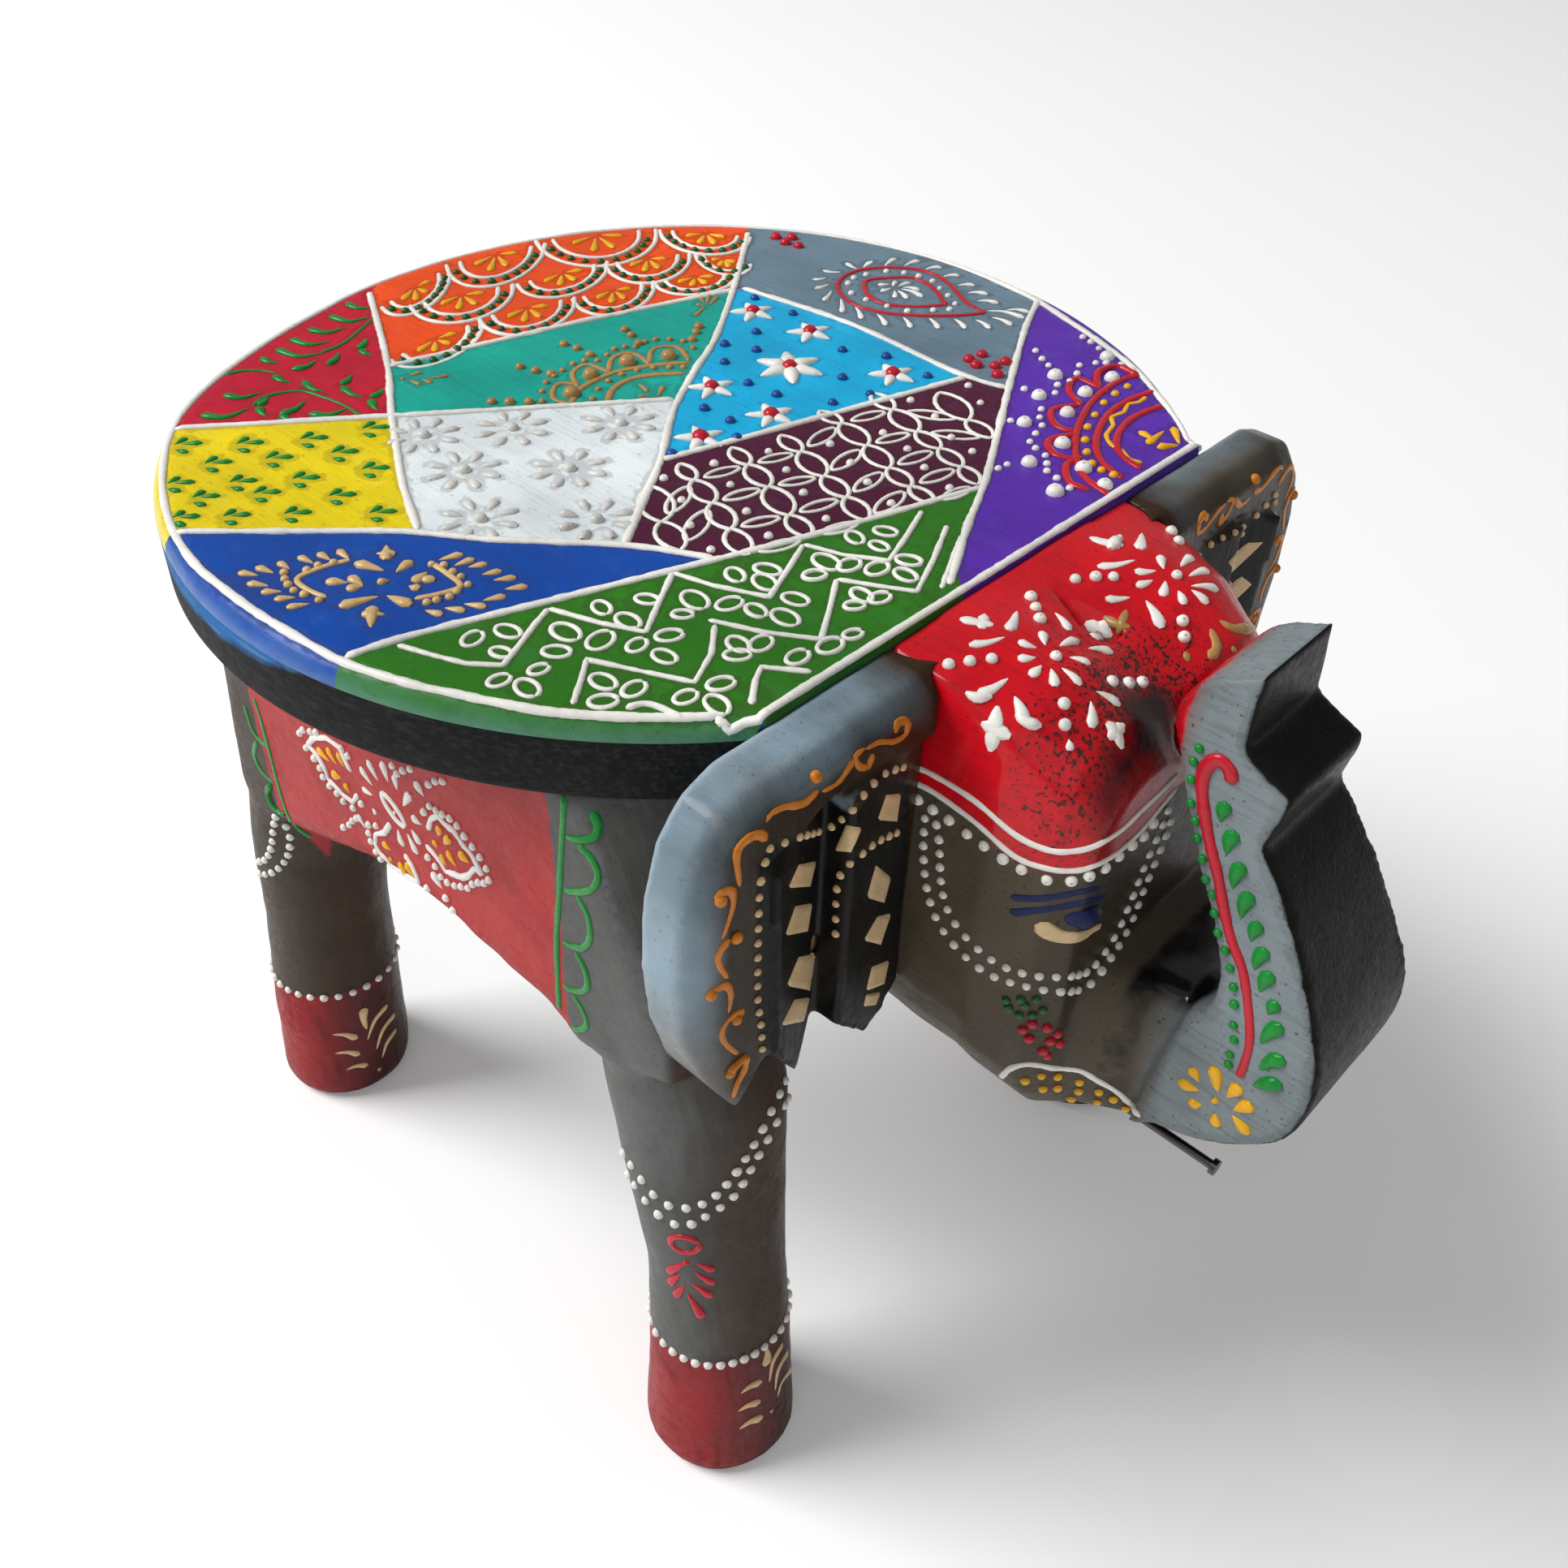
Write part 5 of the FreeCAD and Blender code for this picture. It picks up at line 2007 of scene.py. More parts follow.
    def sprigs(self) -> None:
        """Green three-leaf sprigs on the yellow patch."""
        for x, y in self.SPRIG_FEET:
            for head, tail in self.SPRIG_LEAVES:
                ends = (x + head[0], y + head[1]), (x + tail[0], y + tail[1])
                self.leaf(ReliefPaint.GREEN, *ends, self.SPRIG_LEAF)

    def scales(self) -> None:
        """White scallops with green dashes and yellow petals on the orange patch."""
        for left, bottom, right in self.SCALES:
            for share in (1.0, self.SCALE_INNER):
                self.stroke(ReliefPaint.WHITE, arch(left, bottom, right, share), self.SCALE_BEAD)
            dashes = arch(left, bottom, right, self.SCALE_MIDDLE)[1:-1]
            self.dotted(ReliefPaint.DARK_GREEN, dashes, *self.SCALE_DASHES)
            middle = Vector(((left[0] + right[0]) / 2, (left[1] + right[1]) / 2))
            along, down = (Vector(right) - Vector(left)) / 2, Vector(bottom) - middle
            for side, drop in self.SCALE_FAN:
                head = middle + along * side + down * drop
                tail = middle + along * side * self.SCALE_TAIL + down * drop * self.SCALE_TAIL
                self.leaf(ReliefPaint.YELLOW, (head.x, head.y), (tail.x, tail.y), self.SCALE_LEAF)

    def mandala(self) -> None:
        """The gold half flower with rays of dots on the teal patch."""
        for line in self.MANDALA_ARCS:
            self.stroke(ReliefPaint.GOLD, line, self.MANDALA_BEAD)
        for line in self.MANDALA_PETALS:
            self.stroke(ReliefPaint.GOLD, line, self.MANDALA_PETAL_BEAD)
        self.dots(ReliefPaint.GOLD, self.MANDALA_HEARTS, self.MANDALA_HEART)
        self.dots(ReliefPaint.GOLD, self.MANDALA_DOTS, self.MANDALA_DOT)
        self.dots(ReliefPaint.GOLD, self.MANDALA_RAYS, self.MANDALA_RAY)
        for head, tail in self.TEAL_LEAVES:
            self.leaf(ReliefPaint.GOLD, head, tail, self.TEAL_LEAF)

    def paisley(self) -> None:
        """The paisley with its ring of teardrops on the slate patch."""
        for line in (self.PAISLEY_OUTER, self.PAISLEY_INNER):
            self.stroke(ReliefPaint.RED, line, self.PAISLEY_BEAD)
        for head, tail in self.PAISLEY_LEAVES + self.PAISLEY_HEART:
            self.leaf(ReliefPaint.WHITE, head, tail, *self.PAISLEY_LEAF)
        self.dots(ReliefPaint.WHITE, self.PAISLEY_DOTS, self.PAISLEY_DOT)
        self.dots(ReliefPaint.RED, self.RED_SPOTS, self.RED_SPOT)

    def stars(self) -> None:
        """White stars with red hearts and blue dots on the cyan patch."""
        for pixel in self.STARS:
            self._star(pixel, *self.STAR_SIZE)
        self._star(self.GREAT_STAR, *self.GREAT_STAR_SIZE)
        self.dots(ReliefPaint.BLUE, self.BLUE_DOTS, self.BLUE_DOT)

    def _star(self, pixel: Pixel, reach: float, points: int) -> None:
        """One solid star with its heart.

        Args:
            pixel: the star's middle.
            reach: from its middle to its points, in metres.
            points: how many points it has.
        """
        spot = self.canvas.seen(pixel)
        board = Patch(self.canvas, spot, spot.place + self.STAR_AIM)
        bead = Bead(reach * self.STAR_BREADTH, *self.STAR_FORM)
        for number in range(points):
            angle = 2 * math.pi * number / points + self.STAR_TURN
            tip = board.at(math.cos(angle) * reach / MM, math.sin(angle) * reach / MM)
            arm = [spot.place.lerp(tip, self.STAR_START), spot.place.lerp(tip, 0.5), tip]
            self.paint(ReliefPaint.WHITE).line(arm, bead)
        self.paint(ReliefPaint.RED).dot(spot.place, self.STAR_HEART)

    def soft_flowers(self) -> None:
        """White flowers on the white patch."""
        for pixel in self.SOFT_FLOWERS:
            self.bloom(ReliefPaint.SOFT_WHITE, pixel, *self.SOFT_FLOWER)
            self.dots(ReliefPaint.SOFT_WHITE, (pixel,), self.SOFT_HEART)

    def lattice(self) -> None:
        """The white chain lattice on the maroon patch."""
        for chain in self.LATTICE:
            for start, end in zip(chain, chain[1:]):
                self.loop(ReliefPaint.WHITE, (start, end), *self.LATTICE_LOOP)
        for chain, following in zip(self.LATTICE, self.LATTICE[1:]):
            for start, end in zip(chain[1:], following[1:]):
                first, last = (
                    (start[0] * (1 - share) + end[0] * share, start[1] * (1 - share) + end[1] * share)
                    for share in self.LATTICE_SPAN
                )
                self.loop(ReliefPaint.WHITE, (first, last), *self.LATTICE_CROSS)
        self.dots(ReliefPaint.WHITE, self.LATTICE_DOTS, self.LATTICE_DOT)

    def half_sun(self) -> None:
        """The red, white and yellow half mandala on the purple patch."""
        for line in self.PURPLE_ARCS + self.PURPLE_PETALS:
            self.stroke(ReliefPaint.RED, line, self.PURPLE_BEAD)
        self.stroke(ReliefPaint.YELLOW, self.PURPLE_SQUIGGLE, self.SQUIGGLE_BEAD)
        self.dots(ReliefPaint.YELLOW, self.PURPLE_GRAINS, self.PURPLE_GRAIN)
        for head, tail in self.PURPLE_LEAVES:
            self.leaf(ReliefPaint.YELLOW, head, tail, self.PURPLE_LEAF)
        self.dots(ReliefPaint.WHITE, self.PURPLE_PEARLS, self.PURPLE_PEARL)
        self.dots(ReliefPaint.WHITE, self.PURPLE_BEADS, self.PURPLE_DROP)
        self.dots(ReliefPaint.WHITE, self.PURPLE_DOTS, self.PURPLE_DOT)

    def gold_motif(self) -> None:
        """The gold mirrored motif on the blue patch."""
        for line in self.GOLD_CHEVRONS:
            self.stroke(ReliefPaint.TAN, line, self.GOLD_BEAD)
        for head, tail in self.GOLD_LEAVES:
            self.leaf(ReliefPaint.TAN, head, tail, self.GOLD_LEAF)
        for head, tail in self.GOLD_HEARTS:
            self.leaf(ReliefPaint.TAN, head, tail, self.GOLD_HEART)
        self.dots(ReliefPaint.TAN, self.GOLD_DOTS, self.GOLD_DOT)
        self.leaf(ReliefPaint.TAN, *self.GOLD_SEED, self.GOLD_SEED_WIDTH)

    def trellis(self) -> None:
        """The white zigzags and open petals on the green patch."""
        for line in self.TRELLIS:
            self.corner_stroke(ReliefPaint.WHITE, line, self.TRELLIS_BEAD)
        for ends in self.PETAL_RINGS:
            self.loop(ReliefPaint.WHITE, ends, *self.TRELLIS_LOOP)
        self.stroke(ReliefPaint.WHITE, self.GREEN_TAIL, self.TAIL_BEAD)

    def paint_all(self) -> list[bpy.types.Object]:
        """Lays every pattern and makes the pieces.

        Returns:
            The pieces of raised paint.
        """
        for work in (
            self.lines, self.vines, self.sprigs, self.scales, self.mandala, self.paisley, self.stars,
            self.soft_flowers, self.lattice, self.half_sun, self.gold_motif, self.trellis,
        ):
            work()
        return self.build()


# Raised patterns on the body, the ears and the head


class BodyPainter(Painter):
    """The right flank's motif and lines, and the garlands and foot rings of the right legs."""

    HEART = ((471, 978), (499, 1018))
    RAYS = (
        ((444, 945), (459, 968), 3.0), ((453, 936), (466, 962), 3.0), ((471, 938), (478, 963), 3.4),
        ((486, 955), (489, 973), 3.0), ((447, 971), (459, 980), 2.6), ((464, 1003), (459, 996), 3.2),
        ((505, 978), (497, 993), 3.4), ((508, 1006), (519, 1016), 3.8), ((512, 962), (522, 981), 4.2),
        ((441, 1003), (451, 1021), 2.6), ((497, 1042), (490, 1022), 3.0), ((515, 1052), (502, 1027), 3.0),
        ((519, 1040), (507, 1022), 3.2), ((533, 1074), (545, 1095), 4.0), ((485, 1000), (488, 1003), 2.6),
    )
    NEAR_PETAL = (
        (528, 1022), (531, 1009), (540, 1005), (549, 1016), (560, 1024), (570, 1040), (582, 1054), (594, 1076),
        (585, 1070), (577, 1079), (570, 1081), (560, 1077), (550, 1074), (543, 1062), (534, 1050), (525, 1041),
    )
    FAR_PETAL = (
        (433, 951), (426, 937), (419, 921), (402, 909), (386, 909), (380, 917), (391, 930), (400, 945), (405, 960),
        (415, 970), (424, 980), (435, 988), (441, 979),
    )
    LOW_PETAL = (
        (481, 1015), (474, 1026), (463, 1028), (463, 1040), (469, 1051), (478, 1060), (488, 1073), (500, 1085),
        (518, 1095), (514, 1080), (508, 1066), (499, 1052),
    )
    YELLOW_DROPS = (
        ((391, 922), (406, 938), 3.2), ((403, 921), (415, 942), 3.0), ((416, 927), (424, 945), 3.0),
        ((410, 953), (420, 958), 4.2), ((425, 965), (431, 977), 3.4), ((542, 1019), (540, 1030), 3.6),
        ((554, 1032), (547, 1040), 4.0), ((535, 1035), (538, 1045), 3.2), ((543, 1052), (550, 1067), 3.0),
        ((551, 1048), (562, 1068), 3.2), ((566, 1050), (578, 1063), 4.4), ((472, 1038), (481, 1047), 3.4),
        ((480, 1056), (484, 1062), 3.8), ((492, 1062), (503, 1081), 3.2), ((501, 1062), (513, 1083), 3.2),
    )
    FLANK_DOTS = (
        (370, 903), (374, 899), (383, 901), (390, 902), (378, 921), (388, 934), (395, 946), (399, 957), (407, 968),
        (416, 977), (424, 987), (436, 995), (446, 990), (429, 931), (421, 922), (484, 943), (490, 953), (497, 949),
        (506, 947), (529, 966), (537, 962), (546, 962), (424, 1019), (431, 1016), (435, 1011), (440, 1008),
        (550, 1106), (559, 1121), (570, 1136), (523, 1000), (530, 993), (538, 998), (546, 1003), (555, 1008),
        (564, 1017), (573, 1030), (583, 1043), (592, 1056), (600, 1070), (603, 1084), (597, 1088), (590, 1087),
        (583, 1089), (577, 1094), (569, 1092), (561, 1091), (552, 1087), (544, 1080), (537, 1067), (528, 1056),
        (455, 1026), (458, 1036), (464, 1049), (470, 1058), (479, 1067), (455, 1016), (464, 1017), (527, 1094),
    )
    FRONT_LINE = (
        (695, 980), (692, 1040), (689, 1100), (686, 1150), (687, 1200), (690, 1260), (696, 1290), (706, 1315),
        (719, 1336),
    )
    FRONT_LOOPS = (
        ((728, 1000), (737, 1015), (732, 1032), (715, 1035), (697, 1031)),
        ((712, 1041), (728, 1057), (737, 1078), (730, 1095), (712, 1099), (696, 1097)),
        ((711, 1103), (724, 1128), (727, 1155), (718, 1168), (702, 1165), (694, 1161)),
        ((709, 1172), (721, 1195), (724, 1215), (715, 1222), (700, 1218), (694, 1213)),
        ((706, 1225), (718, 1245), (723, 1263), (713, 1269), (700, 1264), (695, 1261)),
        ((705, 1273), (716, 1290), (721, 1302), (711, 1304), (701, 1300)),
    )
    REAR_LINE = ((313, 860), (321, 885), (329, 915), (337, 945), (345, 975), (354, 1002), (366, 1020), (384, 1032))
    REAR_LOOPS = (
        ((301, 868), (306, 885), (313, 903), (323, 915), (330, 918)),
        ((316, 914), (313, 928), (320, 946), (331, 960), (338, 966)),
        ((334, 966), (330, 976), (335, 990), (344, 1000), (351, 1004)),
    )
    REAR_GARLAND = (
        ((340, 1006), (337, 1022), (336, 1037), (333, 1050), (326, 1060), (315, 1060), (302, 1050)),
        ((353, 1018), (358, 1032), (357, 1047), (352, 1060), (342, 1071), (328, 1077), (314, 1073), (303, 1064)),
    )
    FRONT_GARLAND = (
        ((718, 1338), (747, 1394), (768, 1435), (797, 1480), (822, 1503), (845, 1509), (868, 1499), (904, 1473),
         (931, 1428), (951, 1392), (970, 1353), (990, 1315)),
        ((736, 1356), (756, 1398), (780, 1437), (812, 1477), (843, 1488), (876, 1477), (906, 1445), (931, 1405),
         (949, 1370), (973, 1318)),
    )
    RED_RING = ((827, 1532), (861, 1532))
    RED_LEAVES = (
        ((823, 1567), (845, 1556)), ((825, 1581), (838, 1569)), ((832, 1597), (843, 1583)), ((841, 1555), (851, 1557)),
        ((880, 1565), (858, 1557)), ((880, 1582), (856, 1568)), ((877, 1598), (852, 1581)), ((866, 1623), (847, 1593)),
    )
    FRONT_FOOT = (
        ((943, 1682), (944, 1660), 4.2), ((938, 1702), (913, 1717), 3.6), ((936, 1727), (910, 1739), 3.6),
        ((939, 1746), (911, 1761), 3.6), ((964, 1655), (948, 1703), 2.4), ((970, 1665), (955, 1713), 2.4),
        ((973, 1688), (958, 1721), 2.4), ((949, 1740), (952, 1736), 2.4),
    )
    REAR_FOOT = (
        ((448, 1242), (452, 1268), 4.0), ((440, 1279), (410, 1275), 3.4), ((443, 1299), (413, 1298), 3.2),
        ((453, 1312), (427, 1318), 3.2), ((477, 1238), (453, 1281), 2.4), ((486, 1249), (464, 1293), 2.6),
        ((488, 1268), (471, 1303), 2.2), ((465, 1318), (470, 1315), 2.4),
    )
    FOOT_RING_HEIGHT = 54.0 * MM
    FOOT_MIDDLES = ((60.75, -90.0), (-128.75, -90.0))
    FOOT_DROPS = 32
    FOOT_DROP = 2.6 * MM
    FOOT_BOW = 0.08
    HEART_LOOP = (1.9 * MM, 0.24)
    FLANK_BEAD = Bead(1.7 * MM, 0.7, 0.25)
    FLANK_DOT = 2.1 * MM
    FRONT_BEAD = Bead(1.9 * MM, 0.5, 0.2)
    REAR_BEAD = Bead(1.7 * MM, 0.4, 0.25)
    GARLAND = (4.6 * MM, 2.5 * MM)
    RED_LOOP = (1.8 * MM, 0.42)
    RED_LEAF = 3.2 * MM

    def flank(self) -> None:
        """The four-petal motif on the red flank."""
        self.loop(ReliefPaint.WHITE, self.HEART, *self.HEART_LOOP)
        for head, tail, width in self.RAYS:
            self.leaf(ReliefPaint.WHITE, head, tail, width * MM)
        for line in (self.NEAR_PETAL, self.FAR_PETAL, self.LOW_PETAL):
            self.corner_stroke(ReliefPaint.WHITE, line, self.FLANK_BEAD)
        for head, tail, width in self.YELLOW_DROPS:
            self.leaf(ReliefPaint.YELLOW, head, tail, width * MM)
        self.dots(ReliefPaint.WHITE, self.FLANK_DOTS, self.FLANK_DOT)

    def green_lines(self) -> None:
        """The looped green lines at both ends of the flank."""
        for line in (self.FRONT_LINE,) + self.FRONT_LOOPS:
            self.stroke(ReliefPaint.GREEN, line, self.FRONT_BEAD)
        for line in (self.REAR_LINE,) + self.REAR_LOOPS:
            self.stroke(ReliefPaint.GREEN, line, self.REAR_BEAD)

    def garlands(self) -> None:
        """Double rows of drops on both legs, and the red motif below the front one."""
        for line in self.REAR_GARLAND + self.FRONT_GARLAND:
            self.dotted(ReliefPaint.WHITE, line, *self.GARLAND)
        self.loop(ReliefPaint.RED, self.RED_RING, *self.RED_LOOP)
        for head, tail in self.RED_LEAVES:
            self.leaf(ReliefPaint.RED, head, tail, self.RED_LEAF)

    def feet(self) -> None:
        """The strokes on the red feet and the ring of drops above them."""
        for head, tail, width in self.FRONT_FOOT + self.REAR_FOOT:
            self.leaf(ReliefPaint.CREAM, head, tail, width * MM, self.FOOT_BOW)
        for x, y in self.FOOT_MIDDLES:
            middle = Vector((x * MM, y * MM, self.FOOT_RING_HEIGHT))
            for number in range(self.FOOT_DROPS):
                angle = 2 * math.pi * number / self.FOOT_DROPS
                place = self.canvas.outward(middle, Vector((math.cos(angle), math.sin(angle), 0.0)))
                if place is not None:
                    self.paint(ReliefPaint.WHITE).dot(place, self.FOOT_DROP)

    def paint_all(self) -> list[bpy.types.Object]:
        """Lays every pattern and makes the pieces.

        Returns:
            The pieces of raised paint.
        """
        for work in (self.flank, self.green_lines, self.garlands, self.feet):
            work()
        return self.build()


class EarPainter(Painter):
    """The vine, dots and cream patches of the right ear."""

    PANEL = (
        (935, 1062), (950, 1044), (985, 1031), (1020, 1006), (1047, 986), (1068, 960), (1090, 946), (1110, 942),
        (1124, 956), (1130, 1000), (1130, 1245), (1090, 1262), (1045, 1290), (1000, 1310), (975, 1318), (940, 1296),
        (934, 1250), (933, 1150),
    )
    VINE = (
        ((1104, 903), (1106, 890), (1118, 889), (1116, 905), (1101, 914), (1085, 914), (1067, 923)),
        ((1074, 929), (1071, 944), (1059, 945), (1054, 932), (1066, 922)),
        ((1052, 936), (1033, 964), (1013, 975)),
        ((1008, 974), (990, 990), (968, 994), (950, 1003), (944, 1013)),
        ((945, 1035), (936, 1028), (921, 1034), (910, 1046), (908, 1062), (912, 1092)),
        ((884, 1112), (889, 1101), (901, 1097), (904, 1112), (897, 1138), (890, 1157)),
        ((899, 1158), (888, 1170), (885, 1184), (890, 1196), (897, 1205)),
        ((872, 1228), (881, 1220), (895, 1214), (901, 1226), (898, 1248)),
        ((905, 1257), (915, 1246), (901, 1254), (891, 1266), (890, 1279), (898, 1290), (909, 1298)),
        ((896, 1322), (904, 1314), (919, 1302), (916, 1318), (907, 1336), (903, 1352)),
    )
    BUDS = ((1005, 957), (888, 1110), (907, 1155), (876, 1226), (907, 1256), (899, 1322))
    PANEL_DOTS = (
        ((942, 1062), (936, 1090), (934, 1130), (933, 1180), (933, 1230), (937, 1262), (939, 1292)),
        ((948, 1045), (985, 1031), (1020, 1021), (1048, 1000), (1068, 974), (1090, 953), (1112, 945)),
        ((1104, 1026), (1080, 1037), (1058, 1055), (1038, 1074), (1031, 1100), (1030, 1150)),
    )
    DASHES = (
        ((1042, 1017), (1062, 1020), (1050, 1050), (1028, 1048)), ((984, 1066), (1006, 1061), (999, 1092), (971, 1094)),
        ((980, 1117), (1001, 1113), (996, 1147), (967, 1153)), ((984, 1180), (1004, 1175), (998, 1220), (969, 1214)),
        ((979, 1232), (998, 1229), (991, 1258), (962, 1264)), ((1092, 980), (1110, 978), (1106, 1012), (1081, 1010)),
        ((1079, 1066), (1098, 1082), (1090, 1112), (1068, 1106)),
        ((1081, 1130), (1098, 1125), (1086, 1164), (1064, 1158)),
        ((1074, 1192), (1096, 1183), (1090, 1212), (1067, 1221)),
        ((1067, 1226), (1085, 1222), (1079, 1238), (1064, 1240)),
    )
    VINE_BEAD = Bead(2.0 * MM, 0.35, 0.25, 1.2, 0.55)
    BUD = 2.7 * MM
    PANEL_ROW = (4.4 * MM, 1.9 * MM)
    DASH_GROWTH = 1.12

    def paint_all(self) -> list[bpy.types.Object]:
        """Lays every pattern and makes the pieces.

        Returns:
            The pieces of raised paint.
        """
        for line in self.VINE:
            self.stroke(ReliefPaint.ORANGE, line, self.VINE_BEAD)
        self.dots(ReliefPaint.ORANGE, self.BUDS, self.BUD)
        for line in self.PANEL_DOTS:
            self.dotted(ReliefPaint.CREAM, line, *self.PANEL_ROW)
        for corners in self.DASHES:
            middle = sum((Vector(corner) for corner in corners), Vector((0.0, 0.0))) / len(corners)
            grown = [tuple(middle.lerp(Vector(corner), self.DASH_GROWTH)) for corner in corners]
            self.plate(ReliefPaint.CREAM, grown)
        return self.build()


class HeadPainter(Painter):
    """The patterns on the right side of the head and the trunk."""

    CAP_EDGE = (
        (1121, 962), (1150, 976), (1200, 1012), (1250, 1055), (1290, 1070), (1320, 1073), (1345, 1068), (1375, 1052),
        (1405, 1025), (1430, 995), (1450, 970),
    )
    CAP_LINE = (
        (1120, 942), (1150, 955), (1200, 986), (1250, 1028), (1290, 1047), (1320, 1049), (1350, 1042), (1380, 1024),
        (1405, 1000), (1430, 976), (1452, 953),
    )
    CAP_DOTS = (
        (1132, 985), (1150, 997), (1170, 1010), (1192, 1027), (1213, 1042), (1236, 1058), (1259, 1071), (1290, 1084),
        (1320, 1085), (1342, 1079), (1361, 1069), (1378, 1055), (1394, 1041), (1408, 1030), (1420, 1014),
    )
    NECKLACE = (
        ((1140, 1008), (1138, 1045), (1142, 1092), (1155, 1133), (1180, 1168), (1216, 1198), (1257, 1213),
         (1306, 1221), (1341, 1214), (1370, 1177), (1391, 1141), (1406, 1102), (1420, 1067), (1435, 1030),
         (1441, 1012)),
        ((1149, 997), (1157, 1030), (1160, 1088), (1171, 1127), (1198, 1162), (1234, 1189), (1277, 1202),
         (1320, 1202), (1345, 1192), (1373, 1153), (1393, 1108), (1412, 1060), (1432, 1015), (1438, 998)),
    )
    BROW = (
        ((1245, 1106), (1280, 1107), (1320, 1101), (1356, 1093)),
        ((1244, 1125), (1275, 1122), (1310, 1117), (1362, 1104)),
    )
    LID = ((1312, 1130), (1330, 1132), (1352, 1122))
    EYE = ((1278, 1138), (1291, 1148), (1310, 1155), (1335, 1153), (1356, 1139))
    GREEN_DOTS = (
        (1240, 1232), (1243, 1241), (1258, 1231), (1263, 1238), (1277, 1231), (1256, 1250), (1272, 1250),
        (1285, 1244),
    )
    RED_DOTS = (
        (1260, 1268), (1272, 1261), (1268, 1279), (1290, 1266), (1303, 1273), (1294, 1282), (1305, 1285),
        (1285, 1294), (1290, 1300),
    )
    MOUTH_LINE = (
        (1233, 1327), (1247, 1315), (1270, 1311), (1300, 1316), (1330, 1319), (1352, 1331), (1376, 1345),
        (1394, 1361), (1405, 1376),
    )
    MOUTH_DOTS = (
        (1263, 1331), (1283, 1325), (1303, 1326), (1330, 1333), (1285, 1341), (1303, 1340), (1329, 1344), (1354, 1345),
        (1372, 1354), (1352, 1357), (1387, 1365), (1320, 1353),
    )
    TRUNK_DOTS = (
        (1478, 922), (1471, 938), (1468, 960), (1468, 989), (1473, 1011), (1476, 1032), (1482, 1058), (1486, 1083),
        (1494, 1102), (1497, 1125), (1501, 1149), (1510, 1171), (1516, 1193), (1520, 1216), (1521, 1237), (1520, 1263),
        (1521, 1281), (1516, 1299), (1514, 1311),
    )
    TRUNK_LINE = (
        (1518, 966), (1515, 948), (1501, 936), (1487, 945), (1481, 965), (1484, 1000), (1491, 1040), (1501, 1080),
        (1508, 1120), (1518, 1160), (1531, 1195), (1538, 1240), (1540, 1280), (1535, 1305), (1527, 1327),
    )
    TRUNK_LEAVES = (
        ((1513, 990), (1504, 1013)), ((1523, 1025), (1511, 1053)), ((1532, 1065), (1519, 1095)),
        ((1542, 1101), (1529, 1132)), ((1553, 1138), (1541, 1160)), ((1561, 1170), (1545, 1195)),
        ((1568, 1200), (1552, 1222)), ((1575, 1236), (1562, 1250)), ((1580, 1264), (1553, 1286)),
        ((1583, 1305), (1552, 1318)), ((1580, 1338), (1544, 1338)),
    )
    SUN_PETALS = (
        ((1468, 1315), (1477, 1333)), ((1453, 1333), (1477, 1344)), ((1466, 1359), (1480, 1361)),
        ((1498, 1387), (1497, 1372)), ((1528, 1338), (1512, 1352)), ((1543, 1361), (1520, 1368)),
        ((1539, 1397), (1518, 1374)), ((1496, 1314), (1501, 1345)), ((1495, 1353), (1501, 1359)),
    )

    CAP_BEAD = Bead(1.5 * MM, 0.6, 0.15)
    CAP_DOT = 2.7 * MM
    NECKLACE_ROW = (3.8 * MM, 2.2 * MM)
    BROW_BEAD = Bead(1.9 * MM, 0.12, 0.2)
    LID_BEAD = Bead(4.6 * MM, 0.08, 0.1)
    EYE_BEAD = Bead(5.4 * MM, 0.18, 0.1, 1.0, 0.3)
    GREEN_DOT = 2.4 * MM
    RED_DOT = 2.6 * MM
    MOUTH_BEAD = Bead(1.9 * MM, 0.6, 0.2)
    MOUTH_DOT = 2.3 * MM
    TRUNK_DOT = 2.2 * MM
    TRUNK_BEAD = Bead(1.9 * MM, 0.55, 0.15, 1.7, 1.0)
    TRUNK_LEAF = (5.2 * MM, 0.10)
    SUN_PETAL = 4.8 * MM

    def cap_edge(self) -> None:
        """The two white lines and the row of drops round the red cap."""
        for line in (self.CAP_EDGE, self.CAP_LINE):
            self.stroke(ReliefPaint.WHITE, line, self.CAP_BEAD)
        self.dots(ReliefPaint.WHITE, self.CAP_DOTS, self.CAP_DOT)

    def face(self) -> None:
        """The necklace, the eye, the spots and the mouth."""
        for line in self.NECKLACE:
            self.dotted(ReliefPaint.WHITE, line, *self.NECKLACE_ROW)
        for line in self.BROW:
            self.stroke(ReliefPaint.INK, line, self.BROW_BEAD)
        self.stroke(ReliefPaint.INK, self.LID, self.LID_BEAD)
        self.stroke(ReliefPaint.CREAM, self.EYE, self.EYE_BEAD)
        self.dots(ReliefPaint.DARK_GREEN, self.GREEN_DOTS, self.GREEN_DOT)
        self.dots(ReliefPaint.RED, self.RED_DOTS, self.RED_DOT)
        self.stroke(ReliefPaint.WHITE, self.MOUTH_LINE, self.MOUTH_BEAD)
        self.dots(ReliefPaint.YELLOW, self.MOUTH_DOTS, self.MOUTH_DOT)

    def trunk(self) -> None:
        """The green and red line work and the yellow flower on the trunk's side."""
        self.dots(ReliefPaint.GREEN, self.TRUNK_DOTS, self.TRUNK_DOT)
        self.stroke(ReliefPaint.RED, self.TRUNK_LINE, self.TRUNK_BEAD)
        for head, tail in self.TRUNK_LEAVES:
            self.leaf(ReliefPaint.GREEN, head, tail, *self.TRUNK_LEAF)
        for head, tail in self.SUN_PETALS:
            self.leaf(ReliefPaint.YELLOW, head, tail, self.SUN_PETAL)

